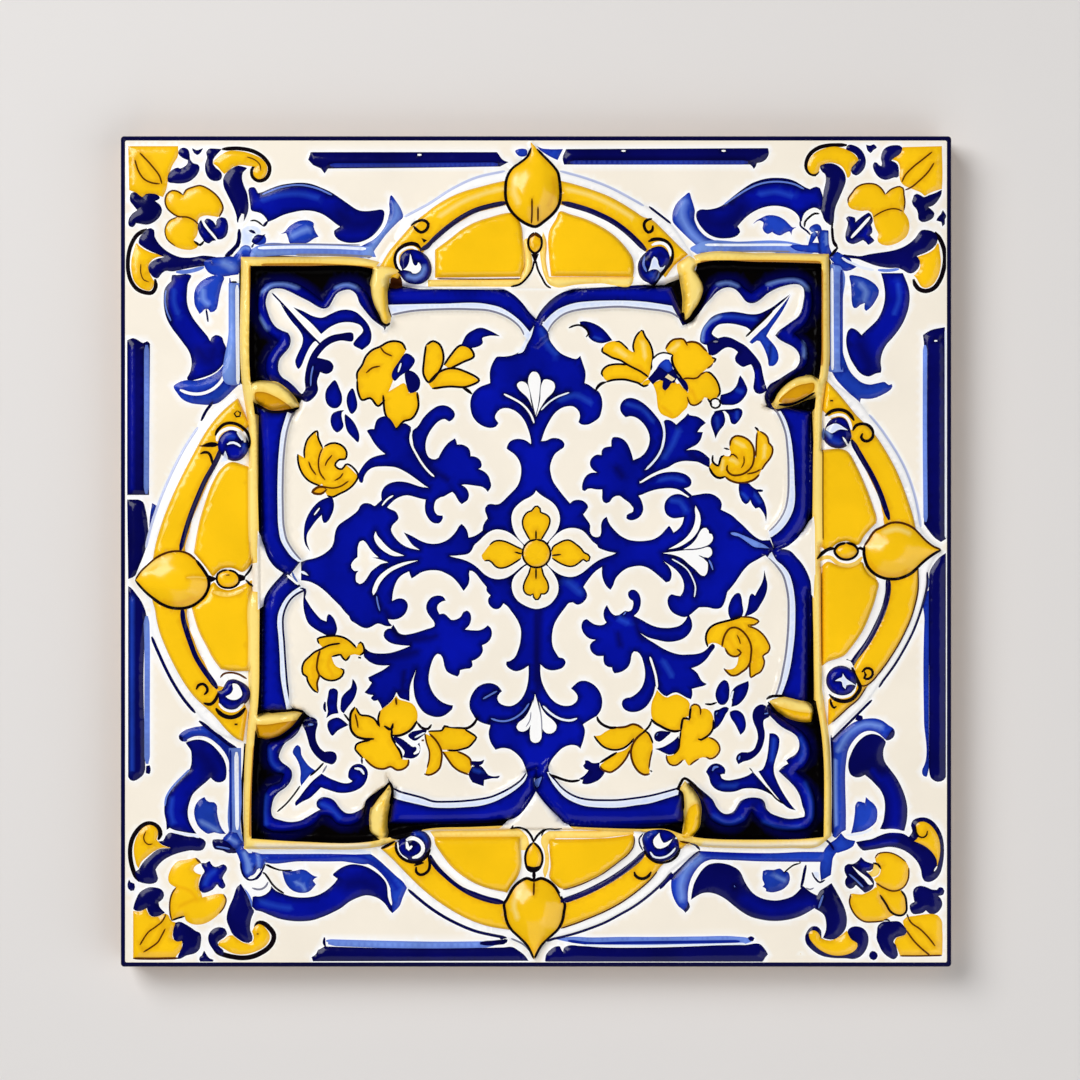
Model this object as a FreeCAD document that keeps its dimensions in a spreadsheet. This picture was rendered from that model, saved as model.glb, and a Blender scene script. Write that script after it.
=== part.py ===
"""Relief azulejo tile: one pressed and fired square of glazed earthenware.

The blank is a square with eased edges, a keyed back and a square sunk field. Round the field runs a half-round
square frame with a low step outside it. One side of the relief is drawn and mirrored about the diagonals to the
other three: an arched lunette with its panels, petal, bud and bosses, leaf tabs that hook over the frame, edge
bars and acanthus scrolls. The lobed cartouche in the field is drawn in one eighth of the face and mirrored.
Millimetres, +Z out of the glazed face, origin in the middle of the back.
"""
import FreeCAD, Part
import os

import Sketcher

Vector = FreeCAD.Vector
Rotation = FreeCAD.Rotation
X_AXIS = Vector(1, 0, 0)
Y_AXIS = Vector(0, 1, 0)
Z_AXIS = Vector(0, 0, 1)

# Driving dimensions: name, millimetres, what it measures. Places are from the middle of the tile.
SIZES = [
    ("tile_size", 150.0, "edge of the square tile"),
    ("body_thickness", 8.0, "back to the plain glazed face"),
    ("corner_round", 1.2, "plan radius of the four corners"),
    ("face_edge_round", 0.9, "glaze-softened edge of the face"),
    ("back_chamfer", 0.6, "bevel round the back"),
    ("key_width", 6.0, "keying groove in the back"),
    ("key_depth", 0.8, "depth of a keying groove"),
    ("key_pitch", 13.0, "spacing of the keying grooves"),
    ("recess_depth", 1.6, "sunk field inside the frame"),
    ("relief_root", 0.5, "how far the relief reaches below the sunk field"),
    ("frame_span", 104.6, "frame, middle to middle"),
    ("frame_width", 2.0, "width of the half-round frame"),
    ("frame_height", 1.4, "frame above the face"),
    ("frame_round", 0.9, "rounded edges of the frame"),
    ("step_width", 2.4, "low step outside the frame"),
    ("step_height", 0.5, "step above the face"),
    ("lunette_reach", 70.0, "crown of the lunette's arch"),
    ("lunette_chord", 59.0, "lunette's width along the frame"),
    ("lunette_base", 50.2, "inner edge of the lunette"),
    ("plate_height", 0.5, "lunette's ground above the face"),
    ("arch_edge", 0.9, "from the lunette's edge to its arch"),
    ("arch_width", 4.4, "raised arch"),
    ("arch_height", 1.3, "arch above the face"),
    ("arch_bevel", 0.6, "bevelled edges of the arch"),
    ("panel_inset", 1.9, "groove between the arch and a panel"),
    ("panel_start", 2.6, "inner end of a panel"),
    ("panel_end_height", 4.4, "length of a panel's outer end"),
    ("panel_border", 0.9, "from the lunette's inner edge to a panel"),
    ("panel_height", 1.5, "panel above the face"),
    ("panel_bevel", 0.7, "bevelled edges of a panel"),
    ("petal_width", 10.0, "petal over the crown of the arch"),
    ("petal_middle", 64.2, "where the petal is widest"),
    ("petal_tip", 73.4, "point of the petal"),
    ("petal_height", 2.6, "petal above the face"),
    ("bud_width", 2.4, "bud below the petal"),
    ("bud_length", 4.4, "length of the bud"),
    ("bud_middle", 55.6, "middle of the bud"),
    ("bud_height", 1.9, "bud above the face"),
    ("boss_width", 6.4, "round boss at the foot of the arch"),
    ("boss_height", 1.7, "boss above the face"),
    ("boss_bevel", 0.9, "bevelled edge of a boss"),
    ("boss_along", 22.3, "boss from the lunette's middle line"),
    ("boss_out", 52.3, "boss from the middle of the tile"),
    ("tab_length", 12.0, "leaf tab that hooks over the frame"),
    ("tab_width", 3.8, "width of a leaf tab"),
    ("tab_height", 2.1, "leaf tab above the face"),
    ("tab_along", 28.2, "tab from the lunette's middle line"),
    ("tab_out", 47.0, "tab from the middle of the tile"),
    ("bar_start", 5.4, "inner end of an edge bar"),
    ("bar_end", 41.0, "outer end of an edge bar"),
    ("bar_width", 3.0, "width of an edge bar"),
    ("bar_height", 0.7, "edge bar above the face"),
    ("bar_inset", 4.0, "edge bar from the tile's edge"),
    ("scroll_start", 27.6, "tip of an acanthus scroll"),
    ("scroll_length", 23.4, "length of an acanthus scroll"),
    ("scroll_width", 10.8, "width of an acanthus scroll"),
    ("scroll_out", 55.9, "inner edge of an acanthus scroll"),
    ("scroll_height", 0.9, "crown of a scroll above the face"),
    ("cartouche_span", 98.4, "cartouche, side to side"),
    ("bend_along", 7.4, "where a side starts to bend into the middle cusp"),
    ("bend_round", 7.7, "radius of that bend"),
    ("side_band", 3.2, "rim along the cartouche's sides"),
    ("corner_band", 1.8, "rim round the cartouche's corner lobes"),
    ("rim_height", 1.1, "cartouche's rim above the face"),
    ("lobe_round", 4.2, "radius of a side lobe"),
    ("lobe_along", 33.4, "side lobe from the middle line"),
    ("lobe_out", 44.8, "side lobe from the middle of the tile"),
    ("notch_out", 44.6, "notch between the lobes"),
    ("corner_lobe_round", 5.3, "radius of a corner lobe"),
    ("corner_lobe_place", 44.4, "corner lobe along X and along Y"),
]
KEY_COUNT = 10

# Outline of an acanthus scroll, along its length and across its width: arcs through three points and straight runs.
SCROLL_TIP = (0.00, 0.54)
SCROLL_HOLLOW = (0.20, 0.54)
SCROLL_NECK = (0.37, 0.76)
SCROLL_CROWN = (0.65, 1.00)
SCROLL_ROOT_OUTER = (0.97, 0.80)
SCROLL_ROOT_INNER = (0.92, 0.36)
SCROLL_ARCH = (0.62, 0.53)
SCROLL_NOTCH = (0.35, 0.27)
SCROLL_LOBE_TOP = (0.40, 0.20)
SCROLL_LOBE = (0.37, 0.05)
SCROLL_FOOT = (0.26, 0.00)
SCROLL_BELLY = (0.06, 0.18)


def add_sheet(doc):
    """Spreadsheet of the driving dimensions, one alias for each."""
    sheet = doc.addObject("Spreadsheet::Sheet", "Sizes")
    for row, (name, value, note) in enumerate(SIZES, start=1):
        sheet.set(f"A{row}", note)
        sheet.set(f"B{row}", str(value))
        sheet.setAlias(f"B{row}", name)
    doc.recompute()
    return sheet


def cell(text):
    """An expression in which each known size name stands for its cell."""
    names = {name for name, _, _ in SIZES}
    words = text.replace("(", " ( ").replace(")", " ) ").split()
    return " ".join("Sizes." + word if word in names else word for word in words)


def bind(thing, **expressions):
    """Ties properties to the sheet."""
    for name, text in expressions.items():
        thing.setExpression(name, cell(text))
    return thing


def place(thing, x="0", y="0", z="0", turn=None):
    """Ties a place to the sheet, after an optional rotation."""
    if turn is not None:
        thing.Placement = FreeCAD.Placement(Vector(), turn)
    for axis, text in zip("xyz", (x, y, z)):
        thing.setExpression(f".Placement.Base.{axis}", cell(text))
    return thing


def box(doc, name, length, width, height, x, y, z):
    solid = bind(doc.addObject("Part::Box", name), Length=length, Width=width, Height=height)
    return place(solid, x, y, z)


def disc(doc, name, radius, height, x, y, z):
    """Upright cylinder."""
    solid = bind(doc.addObject("Part::Cylinder", name), Radius=radius, Height=height)
    return place(solid, x, y, z)


def rod(doc, name, radius, length, x, y, z, direction=X_AXIS):
    """Cylinder lying along X, or along another level direction."""
    solid = bind(doc.addObject("Part::Cylinder", name), Radius=radius, Height=length)
    return place(solid, x, y, z, Rotation(Z_AXIS, direction))


def fuse(doc, name, solids):
    joined = doc.addObject("Part::MultiFuse", name)
    joined.Shapes = solids
    joined.Refine = True
    return joined


def common(doc, name, solids):
    shared = doc.addObject("Part::MultiCommon", name)
    shared.Shapes = solids
    shared.Refine = True
    return shared


def cut(doc, name, base, tool):
    left = doc.addObject("Part::Cut", name)
    left.Base = base
    left.Tool = tool
    left.Refine = True
    return left


def ease_top(doc, name, base, size, kind):
    """Eases the edges round the flat top of a solid, with a Part::Fillet or a Part::Chamfer."""
    doc.recompute()
    top = base.Shape.BoundBox.ZMax
    edges = [
        (number, size, size)
        for number, edge in enumerate(base.Shape.Edges, start=1)
        if all(abs(vertex.Z - top) < 1e-6 for vertex in edge.Vertexes)
    ]
    eased = doc.addObject(kind, name)
    eased.Base = base
    eased.Edges = edges
    return eased


# Levels shared by the whole relief
FLOOR = "body_thickness - recess_depth - relief_root"


def rise(height):
    """Height of a solid that stands on the relief's root and ends that far above the face."""
    return f"( recess_depth + relief_root + {height} )"


def dome_radius(width, height):
    """Radius of a round cap of that width and height."""
    return f"( {width} ^2 / 4 + {height} ^2 ) / ( 2 * {height} )"


# The blank


def origin_plane(body, role):
    return next(plane for plane in body.Origin.OriginFeatures if plane.Role == role)


def rectangle(body, name, plane, centre_x, width, depth):
    """Sketch of a rectangle about a point of the sketch's X axis."""
    sketch = body.newObject("Sketcher::SketchObject", name)
    sketch.AttachmentSupport = (plane, [""])
    sketch.MapMode = "FlatFace"
    corners = [Vector(-1, -1, 0), Vector(1, -1, 0), Vector(1, 1, 0), Vector(-1, 1, 0)]
    for start, end in zip(corners, corners[1:] + corners[:1]):
        sketch.addGeometry(Part.LineSegment(start, end))
    for line in range(4):
        sketch.addConstraint(Sketcher.Constraint("Coincident", line, 2, (line + 1) % 4, 1))
        sketch.addConstraint(Sketcher.Constraint("Vertical" if line % 2 else "Horizontal", line))
    middle = sketch.addGeometry(Part.Point(Vector(0, 0, 0)))
    sketch.toggleConstruction(middle)
    sketch.addConstraint(Sketcher.Constraint("PointOnObject", middle, 1, -1))
    sketch.addConstraint(Sketcher.Constraint("Symmetric", 0, 1, 2, 1, middle, 1))
    for kind, line, label, text in (
        ("DistanceX", 0, "width", width),
        ("DistanceY", 1, "depth", depth),
    ):
        number = sketch.addConstraint(Sketcher.Constraint(kind, line, 1, line, 2, 2.0))
        sketch.renameConstraint(number, label)
        sketch.setExpression(f"Constraints.{label}", cell(text))
    number = sketch.addConstraint(Sketcher.Constraint("DistanceX", -1, 1, middle, 1, 0.0))
    sketch.renameConstraint(number, "centre")
    sketch.setExpression("Constraints.centre", cell(centre_x))
    return sketch


def edges_where(shape, wanted):
    """Names of the edges that a test picks."""
    return [f"Edge{number}" for number, edge in enumerate(shape.Edges, start=1) if wanted(edge)]


def is_upright(edge):
    return abs(edge.tangentAt(edge.FirstParameter).z) > 0.99


def at_level(level):
    return lambda edge: all(abs(vertex.Z - level) < 1e-6 for vertex in edge.Vertexes)


def make_blank(doc, sheet):
    """Square blank with eased edges, the sunk field in its face and keying grooves in its back."""
    body = doc.addObject("PartDesign::Body", "blank")
    ground = origin_plane(body, "XY_Plane")
    pad = body.newObject("PartDesign::Pad", "square")
    pad.Profile = rectangle(body, "square_outline", ground, "0", "tile_size", "tile_size")
    bind(pad, Length="body_thickness")
    doc.recompute()

    corners = body.newObject("PartDesign::Fillet", "round_corners")
    corners.Base = (pad, edges_where(pad.Shape, is_upright))
    bind(corners, Radius="corner_round")
    doc.recompute()

    face_edge = body.newObject("PartDesign::Fillet", "soft_face_edge")
    face_edge.Base = (corners, edges_where(corners.Shape, at_level(sheet.body_thickness)))
    bind(face_edge, Radius="face_edge_round")
    doc.recompute()

    bevel = body.newObject("PartDesign::Chamfer", "back_bevel")
    bevel.Base = (face_edge, edges_where(face_edge.Shape, at_level(0.0)))
    bind(bevel, Size="back_chamfer")
    doc.recompute()

    sunk = body.newObject("PartDesign::Pocket", "sunk_field")
    sunk.Profile = rectangle(body, "sunk_outline", ground, "0", "frame_span", "frame_span")
    sunk.Profile[0].setExpression(".AttachmentOffset.Base.z", cell("body_thickness"))
    bind(sunk, Length="recess_depth")
    doc.recompute()

    groove = body.newObject("PartDesign::Pocket", "key_groove")
    first = f"- key_pitch * {(KEY_COUNT - 1) / 2}"
    groove.Profile = rectangle(body, "key_outline", ground, first, "key_width", "tile_size + corner_round")
    groove.Reversed = True
    bind(groove, Length="key_depth")
    doc.recompute()

    row = body.newObject("PartDesign::LinearPattern", "key_row")
    row.Originals = [groove]
    row.Direction = (groove.Profile[0], ["H_Axis"])
    row.Occurrences = KEY_COUNT
    bind(row, Length=f"key_pitch * {KEY_COUNT - 1}")
    body.Tip = row
    doc.recompute()
    return body


# The relief: the frame whole, the side above it in full, and the cartouche's eighth where 0 <= x <= y


def ring(doc, name, outer, inner, height):
    """Square ring about the middle of the tile."""
    solids = [
        box(doc, f"{name}_{place_name}", span, span, height, f"- {span} / 2", f"- {span} / 2", FLOOR)
        for place_name, span in (("outside", f"( {outer} )"), ("inside", f"( {inner} )"))
    ]
    return cut(doc, name, *solids)


def make_frame(doc, sheet):
    """Half-round frame bar and the low step outside it."""
    bar = ring(
        doc, "frame_bar", "frame_span + frame_width", "frame_span - frame_width", rise("frame_height"),
    )
    step = ring(
        doc, "frame_step", "frame_span + frame_width + 2 * step_width", "frame_span", rise("step_height"),
    )
    return [ease_top(doc, "frame", bar, sheet.frame_round, "Part::Fillet"), step]


LUNETTE_RISE = "( lunette_reach - frame_span / 2 )"
LUNETTE_RADIUS = f"( ( lunette_chord ^2 / 4 + {LUNETTE_RISE} ^2 ) / ( 2 * {LUNETTE_RISE} ) )"
LUNETTE_CENTRE = f"lunette_reach - {LUNETTE_RADIUS}"
ARCH_RADIUS = f"( {LUNETTE_RADIUS} - arch_edge )"
PANEL_RADIUS = f"( {ARCH_RADIUS} - arch_width - panel_inset )"
PANEL_BASE = "lunette_base + panel_border"
PANEL_END_TOP = f"( {PANEL_BASE} + panel_end_height - ( {LUNETTE_CENTRE} ) )"
PANEL_END = f"( {PANEL_RADIUS} ^2 - {PANEL_END_TOP} ^2 ) ^0.5"


def lunette_part(doc, name, radius, height, start, end, inner):
    """Part of a disc about the lunette's centre: from start to end along the frame, outward of inner."""
    whole = disc(doc, f"{name}_disc", radius, rise(height), "0", LUNETTE_CENTRE, FLOOR)
    room = box(
        doc, f"{name}_room", f"{end} - {start}", "tile_size / 2", rise(height), start, inner, FLOOR,
    )
    return common(doc, name, [whole, room])


def make_lunette(doc, sheet):
    """Arched lunette on one side of the frame: its middle pieces, and those of its right half."""
    half = "lunette_chord"
    ground = lunette_part(doc, "lunette_ground", LUNETTE_RADIUS, "plate_height", f"- {half}", half, "lunette_base")
    outer = lunette_part(doc, "arch_outer", ARCH_RADIUS, "arch_height", f"- {half}", half, "lunette_base")
    inner = disc(
        doc, "arch_inner", f"{ARCH_RADIUS} - arch_width", rise("arch_height"), "0", LUNETTE_CENTRE, FLOOR,
    )
    arch = ease_top(doc, "arch", cut(doc, "arch_ring", outer, inner), sheet.arch_bevel, "Part::Chamfer")
    blunt_panel = lunette_part(
        doc, "panel_block", PANEL_RADIUS, "panel_height", "panel_start", PANEL_END, PANEL_BASE,
    )
    panel = ease_top(doc, "panel", blunt_panel, sheet.panel_bevel, "Part::Chamfer")
    bud = leaf(doc, "bud", "bud_width", "bud_length", "bud_height", "0", "bud_middle")
    blunt_boss = disc(
        doc, "boss_block", "boss_width / 2", rise("boss_height"), "boss_along", "boss_out", FLOOR,
    )
    boss = ease_top(doc, "boss", blunt_boss, sheet.boss_bevel, "Part::Chamfer")
    return [ground, arch, make_petal(doc), bud], [panel, boss]


def vault(doc, name, width, height, x, y, direction):
    """Rod under whose round top a piece of that width ends that far above the face."""
    radius = dome_radius(width, height)
    level = f"body_thickness + {height} - {radius}"
    if direction == X_AXIS:
        x = f"{x} - tile_size / 2"
    else:
        y = f"{y} - tile_size / 2"
    return rod(doc, name, radius, "tile_size", x, y, level, direction)


def leaf(doc, name, width, length, height, x, y):
    """Two arcs that meet at both ends, under a top that falls to the ends."""
    radius = f"( ( {width} ^2 + {length} ^2 ) / ( 4 * {width} ) )"
    sides = [
        disc(
            doc, f"{name}_arc_{hand}", radius, rise(f"2 * {height}"),
            f"{x} + {sign} * ( {radius} - {width} / 2 )", y, FLOOR,
        )
        for hand, sign in (("left", 1), ("right", -1))
    ]
    crown = vault(doc, f"{name}_crown", length, height, x, y, X_AXIS)
    return common(doc, name, sides + [crown])


def make_petal(doc):
    """Pointed petal: a round foot and two arcs that meet at the tip, under a top that falls all round."""
    half = "petal_width / 2"
    reach = "( petal_tip - petal_middle )"
    radius = f"( ( petal_width ^2 / 4 + {reach} ^2 ) / petal_width )"
    height = rise("2 * petal_height")
    foot = disc(doc, "petal_foot", half, height, "0", "petal_middle", FLOOR)
    sides = [
        disc(doc, f"petal_arc_{hand}", radius, height, f"{sign} * ( {radius} - {half} )", "petal_middle", FLOOR)
        for hand, sign in (("left", 1), ("right", -1))
    ]
    room = box(doc, "petal_room", "petal_width", reach, height, f"- {half}", "petal_middle", FLOOR)
    point = common(doc, "petal_point", sides + [room])
    outline = fuse(doc, "petal_outline", [foot, point])
    ridge = vault(doc, "petal_ridge", "petal_width", "petal_height", "0", "petal_middle", Y_AXIS)
    fall = vault(doc, "petal_fall", f"( 2 * {reach} )", "petal_height", "0", "petal_middle", X_AXIS)
    return common(doc, "petal", [outline, ridge, fall])


def make_tab(doc):
    """Leaf tab that hooks over the frame."""
    return leaf(doc, "tab", "tab_width", "tab_length", "tab_height", "tab_along", "tab_out")


def make_bar(doc):
    """Rounded bar along the edge of the face."""
    radius = dome_radius("bar_width", "bar_height")
    return rod(
        doc, "edge_bar", radius, "bar_end - bar_start",
        "bar_start", "tile_size / 2 - bar_inset", f"body_thickness + bar_height - {radius}",
    )


def make_scroll(doc, sheet):
    """Acanthus scroll outside the frame, from its tip beside the lunette to its root near the corner."""

    def point(share):
        along, across = share
        return Vector(
            sheet.scroll_start + along * sheet.scroll_length,
            sheet.scroll_out + across * sheet.scroll_width,
            sheet.body_thickness - sheet.recess_depth,
        )

    def arc(start, through, end):
        return Part.Arc(point(start), point(through), point(end)).toShape()

    def line(start, end):
        return Part.LineSegment(point(start), point(end)).toShape()

    wire = Part.Wire([
        arc(SCROLL_TIP, SCROLL_HOLLOW, SCROLL_NECK),
        arc(SCROLL_NECK, SCROLL_CROWN, SCROLL_ROOT_OUTER),
        line(SCROLL_ROOT_OUTER, SCROLL_ROOT_INNER),
        arc(SCROLL_ROOT_INNER, SCROLL_ARCH, SCROLL_NOTCH),
        line(SCROLL_NOTCH, SCROLL_LOBE_TOP),
        arc(SCROLL_LOBE_TOP, SCROLL_LOBE, SCROLL_FOOT),
        arc(SCROLL_FOOT, SCROLL_BELLY, SCROLL_TIP),
    ])
    height = sheet.recess_depth + 2 * sheet.scroll_height
    block = doc.addObject("Part::Feature", "scroll_block")
    block.Shape = Part.Face(wire).extrude(Z_AXIS * height)
    radius = dome_radius("scroll_width", "scroll_height")
    crown = rod(
        doc, "scroll_crown", radius, "tile_size / 2", "0", "scroll_out + scroll_width / 2",
        f"body_thickness + scroll_height - {radius}",
    )
    return common(doc, "scroll", [block, crown])


def cartouche_outline(doc, name, side_inset, corner_inset, height):
    """The cartouche's outline as one solid: straight sides with rounded ends, side lobes and a corner lobe."""
    side = f"( cartouche_span / 2 - {side_inset} )"
    bend_out = "( cartouche_span / 2 - bend_round )"
    pieces = [
        box(doc, f"{name}_core", "notch_out + bend_along", bend_out, height, "- bend_along", "0", FLOOR),
        box(
            doc, f"{name}_side", "tab_along - bend_along", f"{side} - lobe_along",
            height, "bend_along", "lobe_along", FLOOR,
        ),
        disc(doc, f"{name}_bend", f"bend_round - {side_inset}", height, "bend_along", bend_out, FLOOR),
        box(
            doc, f"{name}_neck", f"notch_out - {corner_inset} - tab_along",
            f"notch_out - {corner_inset} - lobe_along", height, "tab_along", "lobe_along", FLOOR,
        ),
        disc(doc, f"{name}_lobe", f"lobe_round - {corner_inset}", height, "lobe_along", "lobe_out", FLOOR),
        disc(
            doc, f"{name}_corner", f"corner_lobe_round - {corner_inset}", height,
            "corner_lobe_place", "corner_lobe_place", FLOOR,
        ),
    ]
    return fuse(doc, name, pieces)


def mirror_onto(doc, name, part, normal):
    """A part together with its mirror image in the upright plane through the middle of the tile."""
    image = doc.addObject("Part::Mirroring", f"{name}_image")
    image.Source = part
    image.Normal = normal
    return fuse(doc, name, [part, image])


def make_cartouche(doc):
    """Lobed cartouche in the sunk field: its ground level with the face and a raised rim round it."""
    ground = cartouche_outline(doc, "cartouche_ground", "0", "0", rise("0"))
    outer = cartouche_outline(doc, "rim_outer", "0", "0", rise("rim_height"))
    inner = cartouche_outline(doc, "rim_inner", "side_band", "corner_band", rise("rim_height"))
    rim = cut(doc, "rim", outer, inner)
    tall = "body_thickness + petal_height"
    right = box(doc, "right_of_middle", "tile_size", "tile_size", tall, "0", "0", "0")
    above = box(doc, "above_diagonal", "tile_size", "tile_size", tall, "0", "0", "0")
    above.Placement = FreeCAD.Placement(Vector(), Rotation(Z_AXIS, 45))
    part = common(doc, "cartouche_eighth", [fuse(doc, "cartouche_pieces", [ground, rim]), right, above])
    part = mirror_onto(doc, "cartouche_quarter", part, Vector(1, -1, 0))
    part = mirror_onto(doc, "cartouche_half", part, Vector(1, 0, 0))
    return mirror_onto(doc, "cartouche", part, Vector(0, 1, 0))


def make_sides(doc, sheet):
    """The relief on all four sides of the frame."""
    middle, right = make_lunette(doc, sheet)
    right += [make_tab(doc), make_bar(doc), make_scroll(doc, sheet)]
    both_hands = mirror_onto(doc, "both_hands", fuse(doc, "right_hand", right), Vector(1, 0, 0))
    side = fuse(doc, "side", middle + [both_hands])
    pair = mirror_onto(doc, "two_sides", side, Vector(1, -1, 0))
    return mirror_onto(doc, "four_sides", pair, Vector(1, 1, 0))


def check(doc, parts):
    """Stops if anything in the document failed, or a part isn't one valid solid."""
    failed = [thing.Name for thing in doc.Objects if {"Invalid", "Error"} & set(thing.State)]
    if failed:
        raise RuntimeError(f"failed objects: {failed}")
    for part in parts:
        if part.Shape.isNull() or not part.Shape.isValid():
            raise RuntimeError(f"{part.Label} has no valid shape")


def main():
    doc = FreeCAD.newDocument("AzulejoTile")
    sheet = add_sheet(doc)
    blank = make_blank(doc, sheet)
    relief = make_frame(doc, sheet) + [make_sides(doc, sheet), make_cartouche(doc)]
    tile = fuse(doc, "tile", [blank] + relief)
    tile.Label = "azulejo_tile"
    doc.recompute()
    check(doc, [tile])
    os.makedirs("parts", exist_ok=True)
    tile.Shape.exportStep(f"parts/{tile.Label}.step")
    size = tile.Shape.BoundBox
    print(tile.Label, len(tile.Shape.Solids), "solid", round(tile.Shape.Volume), "mm3")
    print("size", round(size.XLength, 3), round(size.YLength, 3), round(size.ZLength, 3))


main()
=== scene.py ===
"""Looks of the azulejo tile: one closed mesh, its painted relief face drawn from traced outlines.

The outlines are in pixels of the photo and are turned into millimetres on the tile. Each row of the
drawing is one brush shape: a glaze, then optional settings, then its points. A line that starts with
a space goes on with the row before it, and a row that starts with # is a comment.
  w4        a brush stroke 4 pixels wide along the points; without it the points are a closed outline
  +0.3/0.5  the shape swells 0.3 mm above what lies under it, over 0.5 mm from its edge
  @1.4/0.9  the shape levels off 1.4 mm above the plain face, over 0.9 mm from its edge
  x,y!      a sharp corner; other points are passed smoothly
  family~glaze  a soft-edged brush stroke that tints only glazes of that family; many are painted highlights
  and painted shade
"""
import math

import bpy
import numpy as np
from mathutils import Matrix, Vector, kdtree
from mathutils.geometry import delaunay_2d_cdt


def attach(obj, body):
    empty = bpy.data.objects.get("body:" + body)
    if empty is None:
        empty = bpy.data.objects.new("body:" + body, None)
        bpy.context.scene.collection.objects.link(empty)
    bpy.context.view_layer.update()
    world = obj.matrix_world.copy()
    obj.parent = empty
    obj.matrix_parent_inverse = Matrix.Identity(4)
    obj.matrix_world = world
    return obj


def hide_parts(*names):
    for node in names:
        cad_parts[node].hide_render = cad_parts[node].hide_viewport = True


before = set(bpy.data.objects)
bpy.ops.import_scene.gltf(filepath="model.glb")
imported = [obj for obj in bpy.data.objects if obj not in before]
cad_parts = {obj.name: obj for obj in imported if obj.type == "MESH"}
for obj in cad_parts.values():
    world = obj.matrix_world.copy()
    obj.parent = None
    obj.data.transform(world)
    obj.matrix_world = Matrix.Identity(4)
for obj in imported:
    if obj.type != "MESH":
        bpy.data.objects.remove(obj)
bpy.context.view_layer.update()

# The tile, in millimetres. The keys are the grooves in its back.
TILE = 150.0
THICKNESS = 8.0
CORNER_ROUND = 0.6
LEAST_ROUND = 0.3
FACE_ROUND = 0.9
BACK_BEVEL = 0.6
KEY_COUNT = 10
KEY_PITCH = 13.0
KEY_WIDTH = 6.0
KEY_DEPTH = 0.8
KEY_WALL = 0.04
KEY_END_ZONE = 2.0
MILLIMETRE = 0.001

# The tile in the photo, in pixels, and the size of one pixel in millimetres.
TILE_PIXELS = 832.0
MIDDLE_X = 536.0
MIDDLE_Y = 551.5
PIXEL = TILE / TILE_PIXELS

# Brush strokes: width of their tips as a share of the full width, and length of their taper in widths.
STROKE_TIP = 0.45
STROKE_TAPER = 1.2

# Spacing of the mesh's points, in millimetres or as counts.
OUTLINE_STEP = 0.46
GRID_STEP = 1.2
RIM_MARGIN = 0.12
RING_INSET = 0.34
RELIEF_INSETS = [0.12, 0.7]
DOME_INSET = 1.3
DOME_INSET_STEP = 0.7
FINE_INSET = 0.3
RING_CLEARANCE = 0.85
POINT_CLEARANCE = 0.1
POINT_CELL = 0.2
MERGE_GAP = 1e-4
SIDE_POINTS = 150
CORNER_STEPS = 6
FACE_ROUND_STEPS = 4
BACK_COLUMN = 70.0
BACK_MARGIN = 2.0
BACK_ROWS = 24

# Relief whose edge is wider than DOME_BLUR is a dome; its slope is averaged over DOME_TURNS directions.
DOME_BLUR = 1.6
DOME_TURNS = 12

# Least divisors, and the kind of triangles asked for: all those inside the outermost points.
TINY = 1e-9
TINY_SQUARE = 1e-12
ALL_TRIANGLES = 0

# Glazes: family, fill colour, colour of the pooled edge, width of that edge in millimetres.
# Amber and pit are painted shade only; in places straw, sky, pale and white lay painted highlights, honey
# painted shade, and grey both.
GLAZES = {
    "cream": ("pale", (243, 234, 218), (248, 245, 238), 0.3),
    "white": ("pale", (250, 249, 248), (250, 250, 250), 0.3),
    "pale": ("pale", (204, 217, 246), (232, 238, 250), 0.5),
    "haze": ("pale", (178, 186, 222), (196, 204, 232), 0.3),
    "grey": ("pale", (150, 152, 168), (120, 120, 140), 0.4),
    "tan": ("pale", (222, 196, 140), (236, 218, 180), 0.4),
    "navy": ("blue", (4, 5, 84), (2, 2, 56), 0.4),
    "cobalt": ("blue", (3, 14, 146), (1, 2, 52), 0.8),
    "blue": ("blue", (28, 62, 178), (12, 30, 132), 0.5),
    "sky": ("blue", (112, 144, 216), (92, 118, 200), 0.5),
    "yellow": ("gold", (247, 194, 12), (226, 168, 8), 0.5),
    # amber is painted shade: the darker side of the frame's rods and of the tabs
    "amber": ("gold", (212, 152, 6), (176, 116, 4), 0.5),
    "honey": ("gold", (236, 172, 8), (220, 152, 6), 0.5),
    "straw": ("gold", (250, 221, 124), (240, 196, 78), 0.5),
    "ink": ("dark", (9, 4, 10), (14, 8, 14), 0.3),
    "brown": ("dark", (70, 32, 6), (84, 44, 8), 0.3),
    # near-black painted shade, laid in the recess inside the frame and in a patch behind one roundel
    "pit": ("dark", (5, 3, 3), (5, 3, 3), 0.3),
}

# Families in the order of their materials; the bare clay's material comes after them.
FAMILIES = ["pale", "blue", "gold", "dark"]
BARE_CLAY = len(FAMILIES)

# Materials: name, roughness, strength of the mottling, strength of the orange peel, shine.
FINISHES = [
    ("cream glaze", 0.2, 0.025, 0.05, 0.5),
    ("cobalt glaze", 0.14, 0.3, 0.05, 0.17),
    ("yellow glaze", 0.18, 0.06, 0.05, 0.4),
    # the black glaze also carries the pit's near-black painted shade
    ("black glaze", 0.25, 0.12, 0.05, 0.03),
    ("biscuit", 0.85, 0.1, 0.6, 0.3),
]
MOTTLE_SCALE = 90
MOTTLE_DETAIL = 5
PEEL_SCALE = 900
PEEL_DETAIL = 3
PEEL_DEPTH = 0.0002
GLOSSIEST = 0.75
DULLEST = 1.3
GLAZE_IOR = 1.5

# Other colours, and how the cream whitens beside blue and how far a soft stroke tints.
EDGE_LINE = (8, 8, 56)
BISCUIT = (214, 176, 136)
HALO = (250, 250, 252)
HALO_START = 1.1
HALO_WIDTH = 0.7
TINT_SHARE = 0.8
TINT_MARGIN = 1.0

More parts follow.
